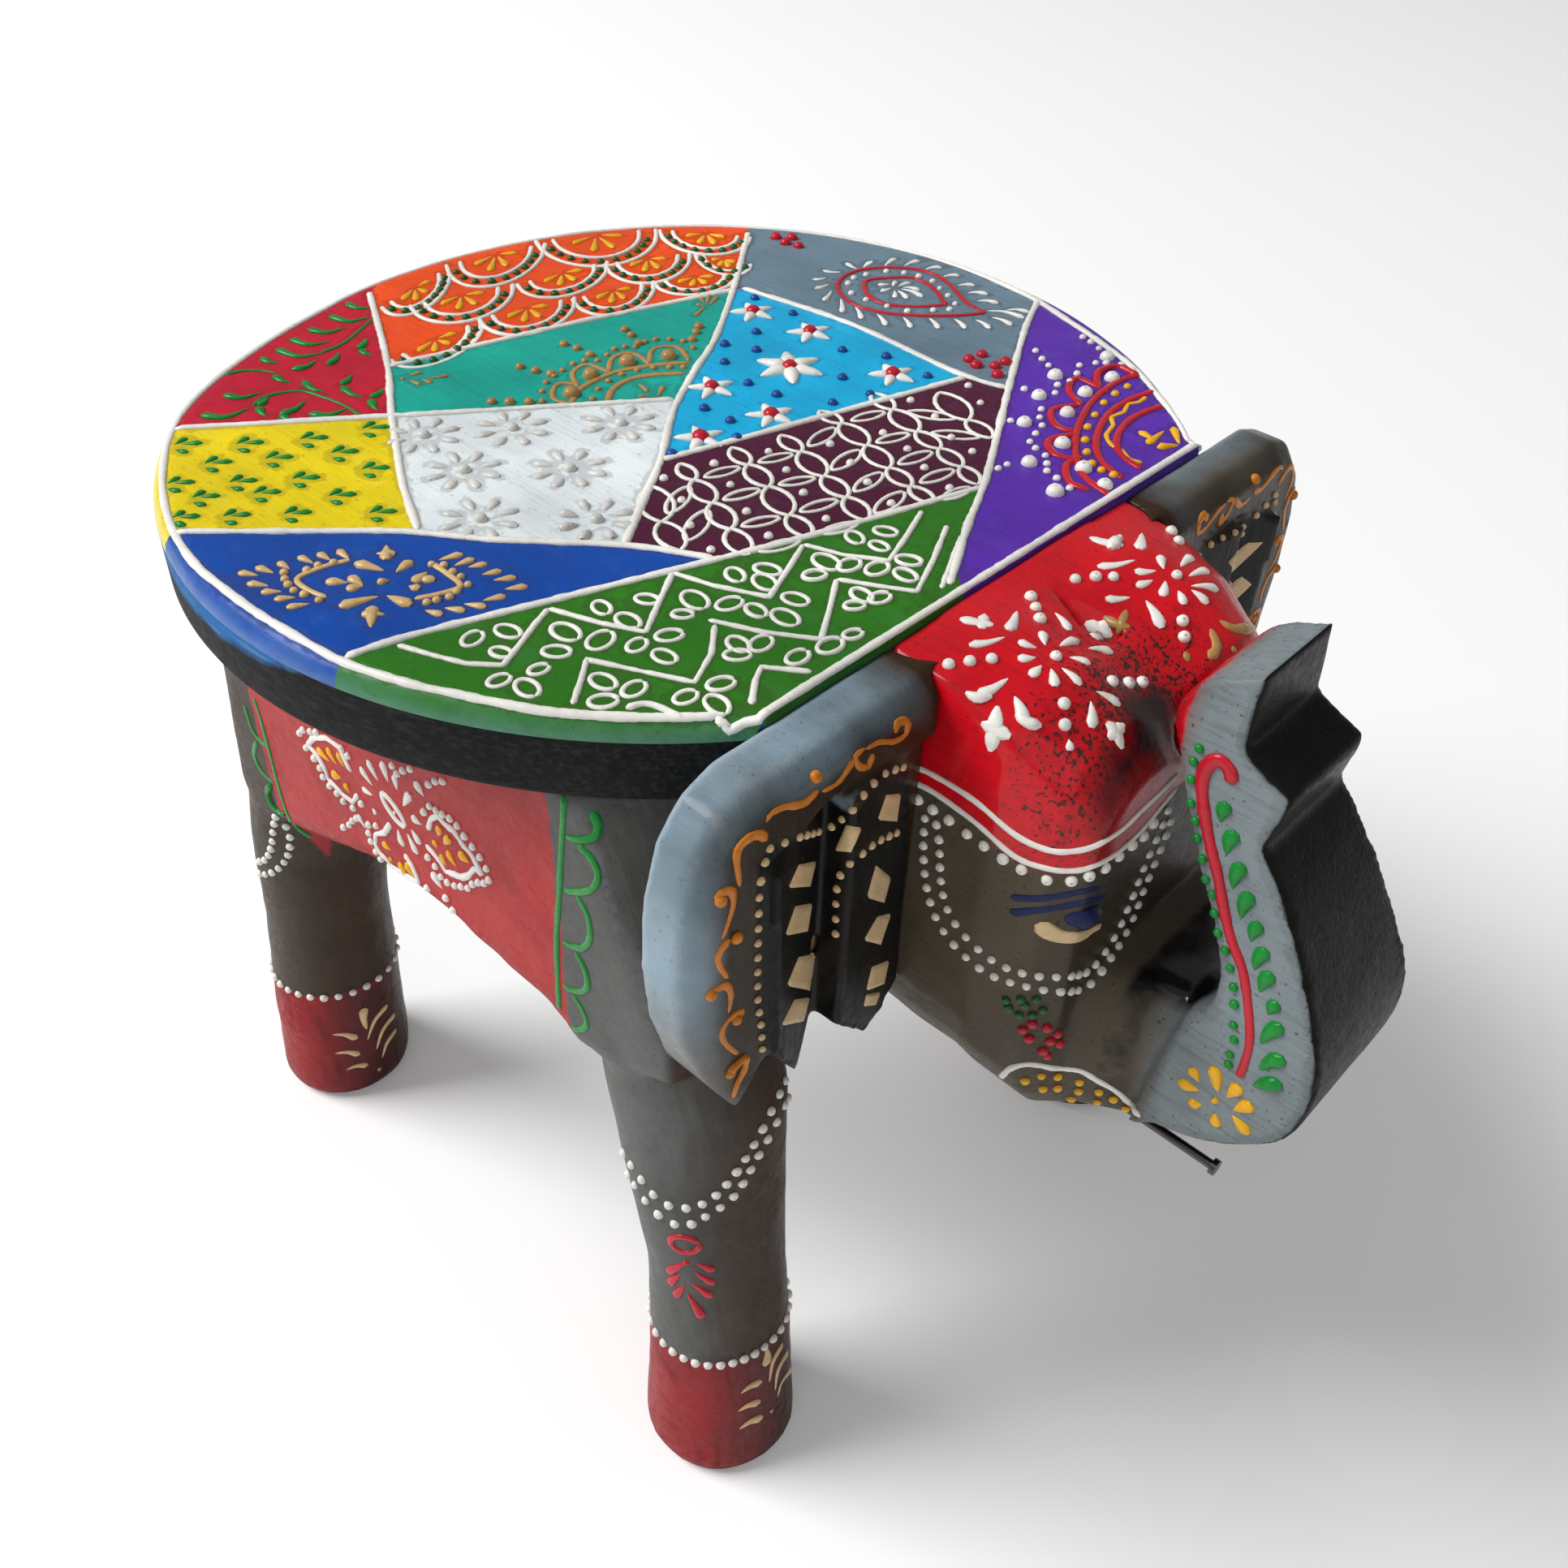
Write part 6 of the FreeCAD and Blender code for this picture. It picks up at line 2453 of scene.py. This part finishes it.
    def paint_all(self) -> list[bpy.types.Object]:
        """Lays every pattern and makes the pieces.

        Returns:
            The pieces of raised paint.
        """
        for work in (self.cap_edge, self.face, self.trunk):
            work()
        return self.build()


class CapPainter(Painter):
    """The two white flowers on the red cap."""

    LEAVES = (
        ((1285, 779), (1288, 795), 3.4), ((1255, 790), (1277, 798), 3.0), ((1254, 811), (1276, 810), 3.2),
        ((1269, 833), (1283, 820), 3.6), ((1300, 846), (1295, 824), 3.2), ((1332, 844), (1308, 823), 3.0),
        ((1343, 818), (1318, 810), 3.0), ((1328, 789), (1306, 796), 3.4), ((1243, 777), (1253, 753), 3.4),
        ((1194, 795), (1238, 785), 2.8), ((1318, 777), (1300, 755), 3.4), ((1371, 804), (1341, 799), 3.2),
        ((1203, 858), (1242, 836), 3.4), ((1263, 893), (1250, 858), 4.4), ((1318, 925), (1317, 911), 3.0),
        ((1380, 869), (1351, 852), 3.2), ((1345, 897), (1344, 864), 3.4), ((1430, 685), (1434, 701), 3.4),
        ((1468, 686), (1455, 698), 3.2), ((1488, 703), (1465, 710), 3.2), ((1500, 726), (1468, 722), 3.0),
        ((1488, 744), (1468, 727), 3.2), ((1459, 745), (1452, 728), 3.4), ((1432, 735), (1436, 716), 3.2),
        ((1400, 722), (1420, 715), 3.0), ((1398, 704), (1424, 703), 3.0), ((1404, 677), (1407, 657), 3.6),
        ((1352, 698), (1398, 690), 2.8), ((1362, 738), (1392, 736), 3.0), ((1432, 774), (1412, 740), 3.8),
    )
    BIRDS = (
        ((1183, 762), (1200, 766), (1224, 770)), ((1213, 757), (1210, 775)), ((1337, 768), (1355, 776), (1370, 784)),
        ((1365, 764), (1350, 787)), ((1229, 870), (1226, 895), (1220, 925)), ((1209, 891), (1228, 900), (1245, 908)),
        ((1363, 890), (1374, 900), (1383, 922)), ((1384, 893), (1366, 910)), ((1343, 662), (1360, 668), (1384, 672)),
        ((1380, 660), (1368, 677)), ((1190, 853), (1203, 860), (1222, 858)), ((1252, 880), (1266, 891), (1283, 894)),
    )
    WORN_BIRDS = (
        ((1360, 760), (1375, 770), (1392, 772)), ((1388, 752), (1378, 780)), ((1503, 765), (1522, 775), (1545, 773)),
        ((1492, 775), (1500, 797), (1490, 812)), ((1460, 803), (1465, 815)), ((1518, 797), (1522, 803)),
    )
    DOTS = (
        (1301, 809), (1270, 736), (1276, 749), (1281, 763), (1169, 819), (1195, 815), (1222, 812), (1370, 840),
        (1390, 842), (1407, 841), (1311, 867), (1312, 893), (1450, 709), (1433, 642), (1443, 655), (1452, 667),
        (1325, 714), (1350, 711), (1372, 711), (1521, 731), (1536, 739), (1549, 746), (1457, 765), (1459, 785),
        (1423, 626),
    )
    LEAF_BOW = 0.05
    BIRD_BEAD = Bead(3.4 * MM, 0.35, 0.3, 0.8, 0.9)
    WORN_BEAD = Bead(3.0 * MM, 0.35, 0.35, 0.7, 0.9)
    DOT = 2.8 * MM

    def paint_all(self) -> list[bpy.types.Object]:
        """Lays the flowers and makes the pieces.

        Returns:
            The pieces of raised paint.
        """
        for head, tail, width in self.LEAVES:
            self.leaf(ReliefPaint.WHITE, head, tail, width * MM, self.LEAF_BOW)
        for line in self.BIRDS:
            self.stroke(ReliefPaint.WHITE, line, self.BIRD_BEAD)
        for line in self.WORN_BIRDS:
            self.stroke(ReliefPaint.GOLD, line, self.WORN_BEAD)
        self.dots(ReliefPaint.WHITE, self.DOTS, self.DOT)
        return self.build()


def inside_outline(outline: Sequence[Sequence[float]], points: np.ndarray) -> np.ndarray:
    """How far points lie inside an outline in one plane.

    Args:
        outline: its corners in order.
        points: rows of two values.

    Returns:
        The distance to the outline, below zero outside it.
    """
    corners = np.array([tuple(corner) for corner in outline])
    inside = np.zeros(len(points), dtype=bool)
    gap = np.full(len(points), np.inf)
    for start, end in zip(corners, np.roll(corners, -1, axis=0)):
        side = end - start
        share = ((points - start) @ side / max(side @ side, 1e-12)).clip(0.0, 1.0)
        gap = np.minimum(gap, np.linalg.norm(points - start - share[:, None] * side, axis=1))
        spans = (start[1] > points[:, 1]) != (end[1] > points[:, 1])
        rise = end[1] - start[1]
        cross = start[0] + (points[:, 1] - start[1]) * side[0] / (rise if rise else 1.0)
        inside ^= spans & (points[:, 0] < cross)
    return np.where(inside, gap, -gap)


# Floor, light and order of work


WHITE_LIGHT = (1.0, 1.0, 1.0)


@dataclass
class Studio:
    """The plain floor and the soft light.

    Args:
        floor_size: the floor's width, in metres.
        floor_colour: its paint.
        key_power: the main lamp's power, in watts.
        fill_power: the lamp on the other side.
        sky: the strength of the light from all round.
        lift: how much paler the floor is seen, by the camera and in what mirrors it.
        floor_roughness: how dull the floor is.
        floor_shine: how strongly it reflects.
        key_place: where the main lamp stands.
        key_size: its width.
        fill_place: where the other lamp stands.
        fill_size: its width.
        aim: the place that both lamps face.
    """

    floor_size: float = 24.0
    floor_colour: Rgb = (0.95, 0.95, 0.95)
    key_power: float = 200.0
    fill_power: float = 2.5
    sky: float = 0.30
    lift: float = 0.10
    floor_roughness: float = 0.9
    floor_shine: float = 0.1
    key_place: tuple[float, float, float] = (-2.4, -1.95, 3.35)
    key_size: float = 2.4
    fill_place: tuple[float, float, float] = (0.9, -0.9, 0.9)
    fill_size: float = 1.2
    aim: tuple[float, float, float] = (0.0, 0.0, 0.15)

    def build(self) -> None:
        """Adds the floor, the lamps and the world's light."""
        deselect_all()
        bpy.ops.mesh.primitive_plane_add(size=self.floor_size)
        floor = bpy.context.object
        floor.name = "floor"
        paint = bpy.data.materials.new("pale_floor")
        paint.use_nodes = True
        surface = paint.node_tree.nodes["Principled BSDF"]
        surface.inputs["Base Color"].default_value = opaque(self.floor_colour)
        surface.inputs["Roughness"].default_value = self.floor_roughness
        surface.inputs["Specular IOR Level"].default_value = self.floor_shine
        nodes = Nodes(paint.node_tree)
        rays = nodes.add("ShaderNodeLightPath").outputs
        mirrored = nodes.math("MAXIMUM", rays["Is Glossy Ray"], rays["Is Transmission Ray"])
        seen = nodes.math("MULTIPLY", nodes.math("MAXIMUM", rays["Is Camera Ray"], mirrored), self.lift)
        surface.inputs["Emission Color"].default_value = opaque(WHITE_LIGHT)
        paint.node_tree.links.new(seen, surface.inputs["Emission Strength"])
        floor.data.materials.append(paint)
        key = self._lamp("key_lamp", Vector(self.key_place), self.key_size, self.key_power)
        fill = self._lamp("fill_lamp", Vector(self.fill_place), self.fill_size, self.fill_power)
        world = bpy.data.worlds.new("studio")
        bpy.context.scene.world = world
        world.use_nodes = True
        sky = world.node_tree.nodes["Background"].inputs
        sky["Color"].default_value = opaque(WHITE_LIGHT)
        sky["Strength"].default_value = self.sky
        bpy.context.scene.view_settings.view_transform = "Standard"

    def _lamp(self, name: str, place: Vector, size: float, power: float) -> bpy.types.Object:
        """A square soft lamp that faces the stool.

        Args:
            name: the lamp's name.
            place: where it stands.
            size: its width, in metres.
            power: its power, in watts.

        Returns:
            The lamp.
        """
        data = bpy.data.lights.new(name, "AREA")
        data.shape = "SQUARE"
        data.size = size
        data.energy = power
        lamp = bpy.data.objects.new(name, data)
        aim = Vector(self.aim) - place
        lamp.matrix_world = Matrix.Translation(place) @ aim.to_track_quat("-Z", "Y").to_matrix().to_4x4()
        bpy.context.scene.collection.objects.link(lamp)
        return lamp


class Stool:
    """The whole stool: its pieces, their paints and the raised paint on them."""

    SIDES = ("right", "left")
    RED = (0.62, 0.002, 0.010)
    FLANK_RED = (0.42, 0.020, 0.020)
    FOOT_RED = (0.31, 0.005, 0.009)
    FOOT_SHADE = (0.055, 0.004, 0.004)
    DARK_RED = (0.022, 0.002, 0.004)
    GREY = (0.088, 0.090, 0.085)
    SILVER = (0.215, 0.255, 0.27)
    # Brown of the painted shade on the ears' front faces.
    EAR_BROWN = (0.022, 0.013, 0.005)
    SPILL_BLUE = (0.012, 0.12, 0.36)
    # Colour of the painted shade on the left ear.
    EAR_SHADE = (0.085, 0.075, 0.060)
    EAR_LOW = (0.175, 0.165, 0.145)
    BROWN = (0.050, 0.036, 0.024)
    DARK_BROWN = (0.036, 0.015, 0.004)
    CHEEK = (0.088, 0.069, 0.045)
    BLACK = (0.004, 0.004, 0.004)
    EAR_BLUE = (0.24, 0.34, 0.41)
    # Dirt mixed with painted shade, for the seat beside its raised lines.
    DIRT_AND_SHADE = (0.035, 0.022, 0.010)
    SCUFF = (0.30, 0.50, 0.60)
    SOILED_SHADED = (0.45, 0.55)
    SCUFFED = (0.74, 0.26)
    SEAT_COLOURS = {
        SeatPatch.CRIMSON: (0.55, 0.004, 0.030), SeatPatch.ORANGE: (0.86, 0.075, 0.003),
        SeatPatch.TEAL: (0.001, 0.38, 0.30), SeatPatch.SLATE: (0.145, 0.225, 0.29),
        SeatPatch.CYAN: (0.001, 0.43, 0.76), SeatPatch.WHITE: (0.76, 0.82, 0.84),
        SeatPatch.MAROON: (0.075, 0.004, 0.032), SeatPatch.PURPLE: (0.10, 0.022, 0.40),
        SeatPatch.YELLOW: (0.80, 0.62, 0.002), SeatPatch.BLUE: (0.001, 0.060, 0.36),
        SeatPatch.GREEN: (0.024, 0.17, 0.008),
    }
    UPRIGHT_BRUSH = (60.0, 500.0, 60.0)
    SOIL_SHADE_REACH = 2.4 * MM
    NECKLACE_END = 22 * MM
    JAW_DROP = 6.5 * MM
    PANEL_DEPTH = 3.6 * MM
    # The rest is in millimetres, as the marked places are, apart from the turns.
    JAW_TOP = 168
    JAW_FADE = 22
    JAW_REAR = 88
    JAW_REAR_FADE = 18
    JAW_FRONT = 136
    JAW_FRONT_FADE = 10
    REAR_START = -48
    FOOT_TOP = 54
    SOLE_SHADE = 2
    FLANK_FRONT = 67 - 39.75
    FLANK_REAR = -59 - 39.75
    FLANK_DEPTH = 95
    FLANK_FADE = 0.5
    INNER_LEAST = 0.45
    INNER_GAIN = 12
    SHADE_TURN = (0.9, 0.45, 0.5)
    SHADE_LEAST = 0.30
    SHADE_GAIN = 10
    SOOT_WIDTH = 12
    SOOT_GAP = 6
    TAR_RADIUS = 7
    CAP_FRONT = 116.5
    CAP_BATCH = 20000
    TRUNK_EDGE = ((145.0, 185.0, 202.0, 250.0), (132.0, 131.0, 118.0, 115.5))
    TRUNK_START = 121
    FRONT_LEAST = 0.1
    SIDE_MOST = 0.76
    FRONT_GAIN = 8
    RIM_WIDTH = 12.5
    RIM_TURN = 14
    RIM_LEAST = 2.0
    EAR_JOINT = 53
    EAR_LOW_TOP = 42
    EAR_SHADE_START = 50
    EAR_SHADE_BACK = 2
    PANEL_BACK = 4
    BURNT_PATCH = (
        (1372, 850), (1420, 842), (1446, 860), (1450, 940), (1430, 975), (1400, 1002), (1362, 1035), (1352, 990),
        (1362, 930), (1385, 900),
    )
    TAR_PATCH = ((1440, 1180), (1475, 1165), (1500, 1180), (1503, 1240), (1460, 1252), (1438, 1225))

    def __init__(self) -> None:
        """Starts with the carved pieces unbuilt."""
        body = "painted_wood_body"
        self.head = CarvedPiece(
            "head_block", "carved_head", "painted_wood_head", grid=1.2 * MM, soften=5, uneven=0.3 * MM
        )
        self.planks = [
            CarvedPiece(
                f"side_plank_{side}", f"carved_side_{side}", body, grid=1.7 * MM, soften=14, uneven=0.6 * MM
            )
            for side in self.SIDES
        ]
        self.ears = [
            CarvedEar(
                f"ear_{side}", f"carved_ear_{side}", "painted_wood_ears", grid=0.8 * MM, soften=14, uneven=0.4 * MM
            )
            for side in self.SIDES
        ]
        self.belly = CarvedPiece("belly_block", "sawn_belly", body, grid=3.0 * MM, soften=1, uneven=0.2 * MM)
        self.seat = SeatBoard()

    def build_planks(self) -> None:
        """Builds both side planks and the belly block and paints their patterns."""
        dress = Paint(
            "old_grey_paint", self.GREY, bare=(0.17, 0.175, 0.175), streaks=0.4, specks=0.4, wear=0.3,
            roughness=0.42, coat=0.10, brush=self.UPRIGHT_BRUSH,
            zones=(
                Zone("rear", self.BROWN, soft=14.0, bare=(0.09, 0.07, 0.05)),
                # Painted shade in warm brown on faces turned forwards, down or towards the middle.
                Zone("shade", self.DARK_BROWN, soft=4.0, bare=(0.06, 0.04, 0.02)),
                Zone("foot", self.FOOT_RED, soft=0.4, bare=(0.12, 0.02, 0.02)),
                # Painted shade on the red feet, where they turn forwards or down.
                Zone("painted_foot_shade", self.FOOT_SHADE, soft=4.0),
                Zone("flank", self.FLANK_RED, soft=0.4, bare=(0.25, 0.03, 0.03)),
                # Painted shade in dark brown on the faces turned to the stool's middle.
                Zone("inner", self.DARK_BROWN, soft=5.0),
            ),
        ).material()
        for plank in self.planks:
            piece = plank.build()
            plank.mark("shade", self._shade)
            plank.mark("rear", lambda places, normals: self.REAR_START - places[:, 0])
            plank.mark("inner", self._inner)
            plank.mark("foot", lambda places, normals: self.FOOT_TOP - places[:, 2])
            # Painted shade on the feet: the red darkened on faces turned forwards or down.
            plank.mark("painted_foot_shade", lambda places, normals: np.minimum(
                self._shade(places, normals) - self.SOLE_SHADE, self.FOOT_TOP - places[:, 2]
            ))
            plank.mark("flank", self._flank)
            piece.data.materials.append(dress)
        self.belly.build()
        self.belly.dress(Paint(
            "dark_brown_paint", (0.030, 0.022, 0.016), bare=(0.09, 0.07, 0.05), streaks=0.4, specks=0.4,
        ))
        painter = BodyPainter("right_side", Canvas(self.planks[0].piece))
        painter.paint_all()
        painter.mirrored("left_side", Canvas(self.planks[1].piece)).build()

    def build_head(self) -> None:
        """Builds the head block and paints its patterns."""
        self._lower_jaw(self.head.build())
        canvas = Canvas(self.head.piece)
        edge = np.array(canvas.path(HeadPainter.CAP_EDGE)) / MM
        burnt = [(spot.place.x / MM, spot.place.y / MM) for spot in map(canvas.seen, self.BURNT_PATCH) if spot]
        tar = np.array([tuple(spot.place / MM) for spot in map(canvas.seen, self.TAR_PATCH) if spot])
        self.head.mark("shade", self._shade)
        self.head.mark("silver", self._trunk_side)
        self.head.mark("cap", lambda places, normals: self._cap(edge, places))
        self.head.mark("burnt", lambda places, normals: np.minimum(
            inside_outline(burnt, places[:, :2]), self._cap(edge, places)
        ))
        self.head.mark("sooty", lambda places, normals: np.minimum(
            inside_outline(burnt, places[:, :2]) + self.SOOT_WIDTH, self._cap(edge, places) - self.SOOT_GAP
        ))
        self.head.mark("dark", self._trunk_front)
        self.head.mark("tar", lambda places, normals: self.TAR_RADIUS - np.linalg.norm(
            np.abs(places) - np.abs(tar.mean(axis=0)), axis=1
        ))
        self.head.dress(Paint(
            "head_paint", self.CHEEK, bare=(0.10, 0.088, 0.068), streaks=0.35, specks=0.6, wear=0.25,
            roughness=0.30, coat=0.07, relief=0.18, shine=0.10,
            zones=(
                # Painted shade in warm brown on faces turned forwards or down.
                Zone("shade", self.BROWN, soft=4.0),
                Zone("silver", self.SILVER, soft=5.0, bare=(0.09, 0.09, 0.085)),
                Zone("cap", self.RED, soft=0.4, bare=(0.25, 0.002, 0.006), coat=0.45),
                Zone("sooty", self.RED, soft=9.0, bare=self.DARK_RED, specks=1.6),
                Zone("burnt", self.DARK_RED, soft=3.6, bare=(0.01, 0.004, 0.004)),
                Zone("dark", self.BLACK, soft=0.8, bare=(0.012, 0.010, 0.008), coat=0.03),
                Zone("tar", self.BLACK, soft=1.5, bare=(0.01, 0.01, 0.01), coat=0.9),
            ),
        ))
        painter = HeadPainter("head_right", canvas)
        painter.paint_all()
        twin = painter.mirrored("head_left", canvas)
        beads = twin.paint(ReliefPaint.WHITE)
        beads.dots = [(place, width) for place, width in beads.dots if place.y > self.NECKLACE_END]
        twin.build()
        CapPainter("cap", canvas).paint_all()

    def _lower_jaw(self, piece: bpy.types.Object) -> None:
        """Lets the jaw hang a little lower, as the carver left it.

        Args:
            piece: the head block.
        """
        for vertex in piece.data.vertices:
            place = vertex.co / MM
            low = self._share(self.JAW_TOP - place.z, self.JAW_FADE)
            along = self._share(place.x - self.JAW_REAR, self.JAW_REAR_FADE)
            along *= self._share(self.JAW_FRONT - place.x, self.JAW_FRONT_FADE)
            vertex.co.z -= self.JAW_DROP * low * along

    @staticmethod
    def _share(gap: float, fade: float) -> float:
        """A gap as a share of the width over which it fades, from 0 to 1."""
        return min(max(gap / fade, 0.0), 1.0)

    def build_ears(self) -> None:
        """Builds both ears and paints their patterns."""
        dress = Paint(
            "ear_paint", self.EAR_BLUE, bare=(0.34, 0.39, 0.42), streaks=0.3, specks=0.3, wear=0.4,
            roughness=0.30, coat=0.15, brush=self.UPRIGHT_BRUSH,
            zones=(
                Zone("low", self.EAR_LOW, soft=16.0, bare=(0.24, 0.23, 0.21)),
                # Painted shade: the left ear, on the side away from the lamp, darker than the right.
                Zone("left_ear_shade", self.EAR_SHADE, soft=9.0, bare=(0.10, 0.075, 0.045)),
                # Painted shade in brown on the ear's front faces round the black panel, turned away from the lamp.
                Zone("rim", self.EAR_BROWN, soft=5.0, bare=(0.04, 0.028, 0.018)),
                Zone("joint", self.DARK_BROWN, soft=7.0),
                Zone("panel", self.BLACK, soft=0.6, bare=(0.014, 0.010, 0.007), coat=0.02),
            ),
        ).material()
        rear, front = (corner.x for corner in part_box("ear_right"))
        back = rear / MM
        low_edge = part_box("ear_right")[0].z / MM + self.EAR_LOW_TOP
        level = front - self.PANEL_DEPTH
        corners = [VIEW.on_front(pixel, level) for pixel in EarPainter.PANEL]
        outline = [(-corner.y / MM, corner.z / MM) for corner in corners]
        for ear in self.ears:
            piece = ear.build()
            # Painted shade on the ear's front faces round the black panel.
            ear.mark("rim", lambda places, normals: np.minimum(
                self._on_ear(outline, places) + self.RIM_WIDTH,
                normals[:, 0] * self.RIM_TURN - self.RIM_LEAST,
            ))
            ear.mark("joint", lambda places, normals: self.EAR_JOINT - np.abs(places[:, 1]))
            ear.mark("low", lambda places, normals: low_edge - places[:, 2])
            # Painted shade on the left ear, beyond its inner part.
            ear.mark("left_ear_shade", lambda places, normals: np.minimum(
                places[:, 1] - self.EAR_SHADE_START, places[:, 0] - back - self.EAR_SHADE_BACK
            ))
            ear.mark("panel", lambda places, normals: np.minimum(
                self._on_ear(outline, places), places[:, 0] - back - self.PANEL_BACK
            ))
            piece.data.materials.append(dress)
        painter = EarPainter("right_ear", Canvas(self.ears[0].piece))
        painter.paint_all()
        painter.mirrored("left_ear", Canvas(self.ears[1].piece)).build()

    @staticmethod
    def _on_ear(outline: Sequence[tuple[float, float]], places: np.ndarray) -> np.ndarray:
        """How far inside the black panel a place on an ear lies."""
        return inside_outline(outline, np.stack((np.abs(places[:, 1]), places[:, 2]), axis=1))

    def _inner(self, places: np.ndarray, normals: np.ndarray) -> np.ndarray:
        """How far a surface is turned to the stool's middle, where painted shade lies in dark brown."""
        return (-np.sign(places[:, 1]) * normals[:, 1] - self.INNER_LEAST) * self.INNER_GAIN

    def _shade(self, places: np.ndarray, normals: np.ndarray) -> np.ndarray:
        """How far a surface is turned forwards, down or towards the middle, where painted shade lies in warm brown.

        Args:
            places: the vertices, in millimetres.
            normals: their normals.

        Returns:
            The turn for each vertex, below zero where no painted shade lies.
        """
        along, across, up = self.SHADE_TURN
        outward = np.sign(places[:, 1]) * normals[:, 1]
        turned = normals[:, 0] * along - normals[:, 2] * up - outward * across
        return (turned - self.SHADE_LEAST) * self.SHADE_GAIN

    def _flank(self, places: np.ndarray, normals: np.ndarray) -> np.ndarray:
        """How far inside the red panel between the green lines a place lies.

        Args:
            places: the vertices, in millimetres.
            normals: their normals; not used.

        Returns:
            The distance for each vertex, below zero outside the panel.
        """
        along = np.minimum(self.FLANK_FRONT - places[:, 0], places[:, 0] - self.FLANK_REAR)
        outward = (np.abs(places[:, 1]) - self.FLANK_DEPTH) * self.FLANK_FADE
        return np.minimum(along, outward)

    def _cap(self, edge: np.ndarray, places: np.ndarray) -> np.ndarray:
        """How far above the cap's lower line a place on the skull lies.

        Args:
            edge: places along the line on the right side, in millimetres.
            places: the vertices, in millimetres.

        Returns:
            The height above the nearest point of the line, below zero on the trunk.
        """
        flat = np.stack((places[:, 0], -np.abs(places[:, 1])), axis=1)
        above = np.empty(len(flat))
        for start in range(0, len(flat), self.CAP_BATCH):
            part = slice(start, start + self.CAP_BATCH)
            gaps = ((flat[part][:, None, :] - edge[None, :, :2]) ** 2).sum(axis=2)
            above[part] = places[part, 2] - edge[gaps.argmin(axis=1), 2]
        return np.minimum(above, self.CAP_FRONT - places[:, 0])

    def _trunk_side(self, places: np.ndarray, normals: np.ndarray) -> np.ndarray:
        """How far out on the trunk's grey sides and top a place lies."""
        return places[:, 0] - np.interp(places[:, 2], *self.TRUNK_EDGE)

    def _trunk_front(self, places: np.ndarray, normals: np.ndarray) -> np.ndarray:
        """How far inside the black front of the trunk a place lies."""
        turned = np.minimum(normals[:, 0] - self.FRONT_LEAST, self.SIDE_MOST - np.abs(normals[:, 1]))
        return np.minimum(turned * self.FRONT_GAIN, places[:, 0] - self.TRUNK_START)

    def build_seat(self) -> None:
        """Builds the seat board with its patches and patterns."""
        paints = {patch: self._patch_paint(patch, colour) for patch, colour in self.SEAT_COLOURS.items()}
        side = Paint(
            "seat_side_black", (0.007, 0.007, 0.007), bare=(0.06, 0.062, 0.066), streaks=0.4, specks=0.2,
            wear=0.3, roughness=0.6, coat=0.0,
            zones=(Zone("spill", self.SPILL_BLUE, soft=1.2, bare=(0.20, 0.34, 0.45)),),
        )
        board = self.seat.build(paints, side)
        painter = SeatPainter(self.seat, Canvas(board))
        painter.paint_all()
        raised = [place for relief in painter.reliefs.values() for place in relief.places()]
        self.seat.soil_and_shade(raised, self.SOIL_SHADE_REACH)

    def _patch_paint(self, patch: SeatPatch, colour: Rgb) -> Paint:
        """The aged paint of one of the seat's patches.

        Args:
            patch: the patch.
            colour: its paint.

        Returns:
            The paint, dirty where it is thin, with dirt and painted shade beside the raised lines, and pale where the
            edge is scuffed.
        """
        # Dirt with painted shade, shown beside the raised lines and in thin streaks.
        soiled_shaded = self._mixed(colour, self.DIRT_AND_SHADE, self.SOILED_SHADED)
        scuffed = self._mixed(colour, self.SCUFF, self.SCUFFED)
        return Paint(
            "seat_" + patch.name.lower(), colour, bare=soiled_shaded, streaks=0.22, specks=0.3, wear=0.55,
            roughness=0.30, coat=0.08, relief=0.18, shine=0.16,
            zones=(Zone("scuff", scuffed, soft=2.4, bare=colour),),
        )

    @staticmethod
    def _mixed(first: Rgb, second: Rgb, shares: tuple[float, float]) -> Rgb:
        """Two colours mixed by their shares."""
        return tuple(shares[0] * one + shares[1] * other for one, other in zip(first, second))

    def dress_fasteners(self) -> None:
        """Gives the frame's own nails and pegs their materials."""
        steel = Metal("dark_nail_steel", (0.10, 0.095, 0.09), roughness=0.34).material()
        wood = Paint(
            "peg_wood", (0.34, 0.20, 0.10), bare=(0.16, 0.09, 0.04), streaks=0.6, specks=0.2, wear=0.0,
            roughness=0.6, coat=0.0,
        ).material()
        for node, material in (("tusk_nails", steel), ("plank_pegs", wood), ("neck_pegs", wood), ("ear_pegs", wood)):
            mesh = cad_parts[node].data
            mesh.materials.clear()
            mesh.materials.append(material)


def main() -> None:
    """Builds the scene in order."""
    logging.basicConfig(level=logging.INFO, format="%(message)s")
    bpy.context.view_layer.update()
    stool = Stool()
    for work in (
        stool.build_planks, stool.build_head, stool.build_ears, stool.build_seat, stool.dress_fasteners,
    ):
        work()
    Studio().build()
    VIEW.make()


if __name__ == "__main__":
    main()
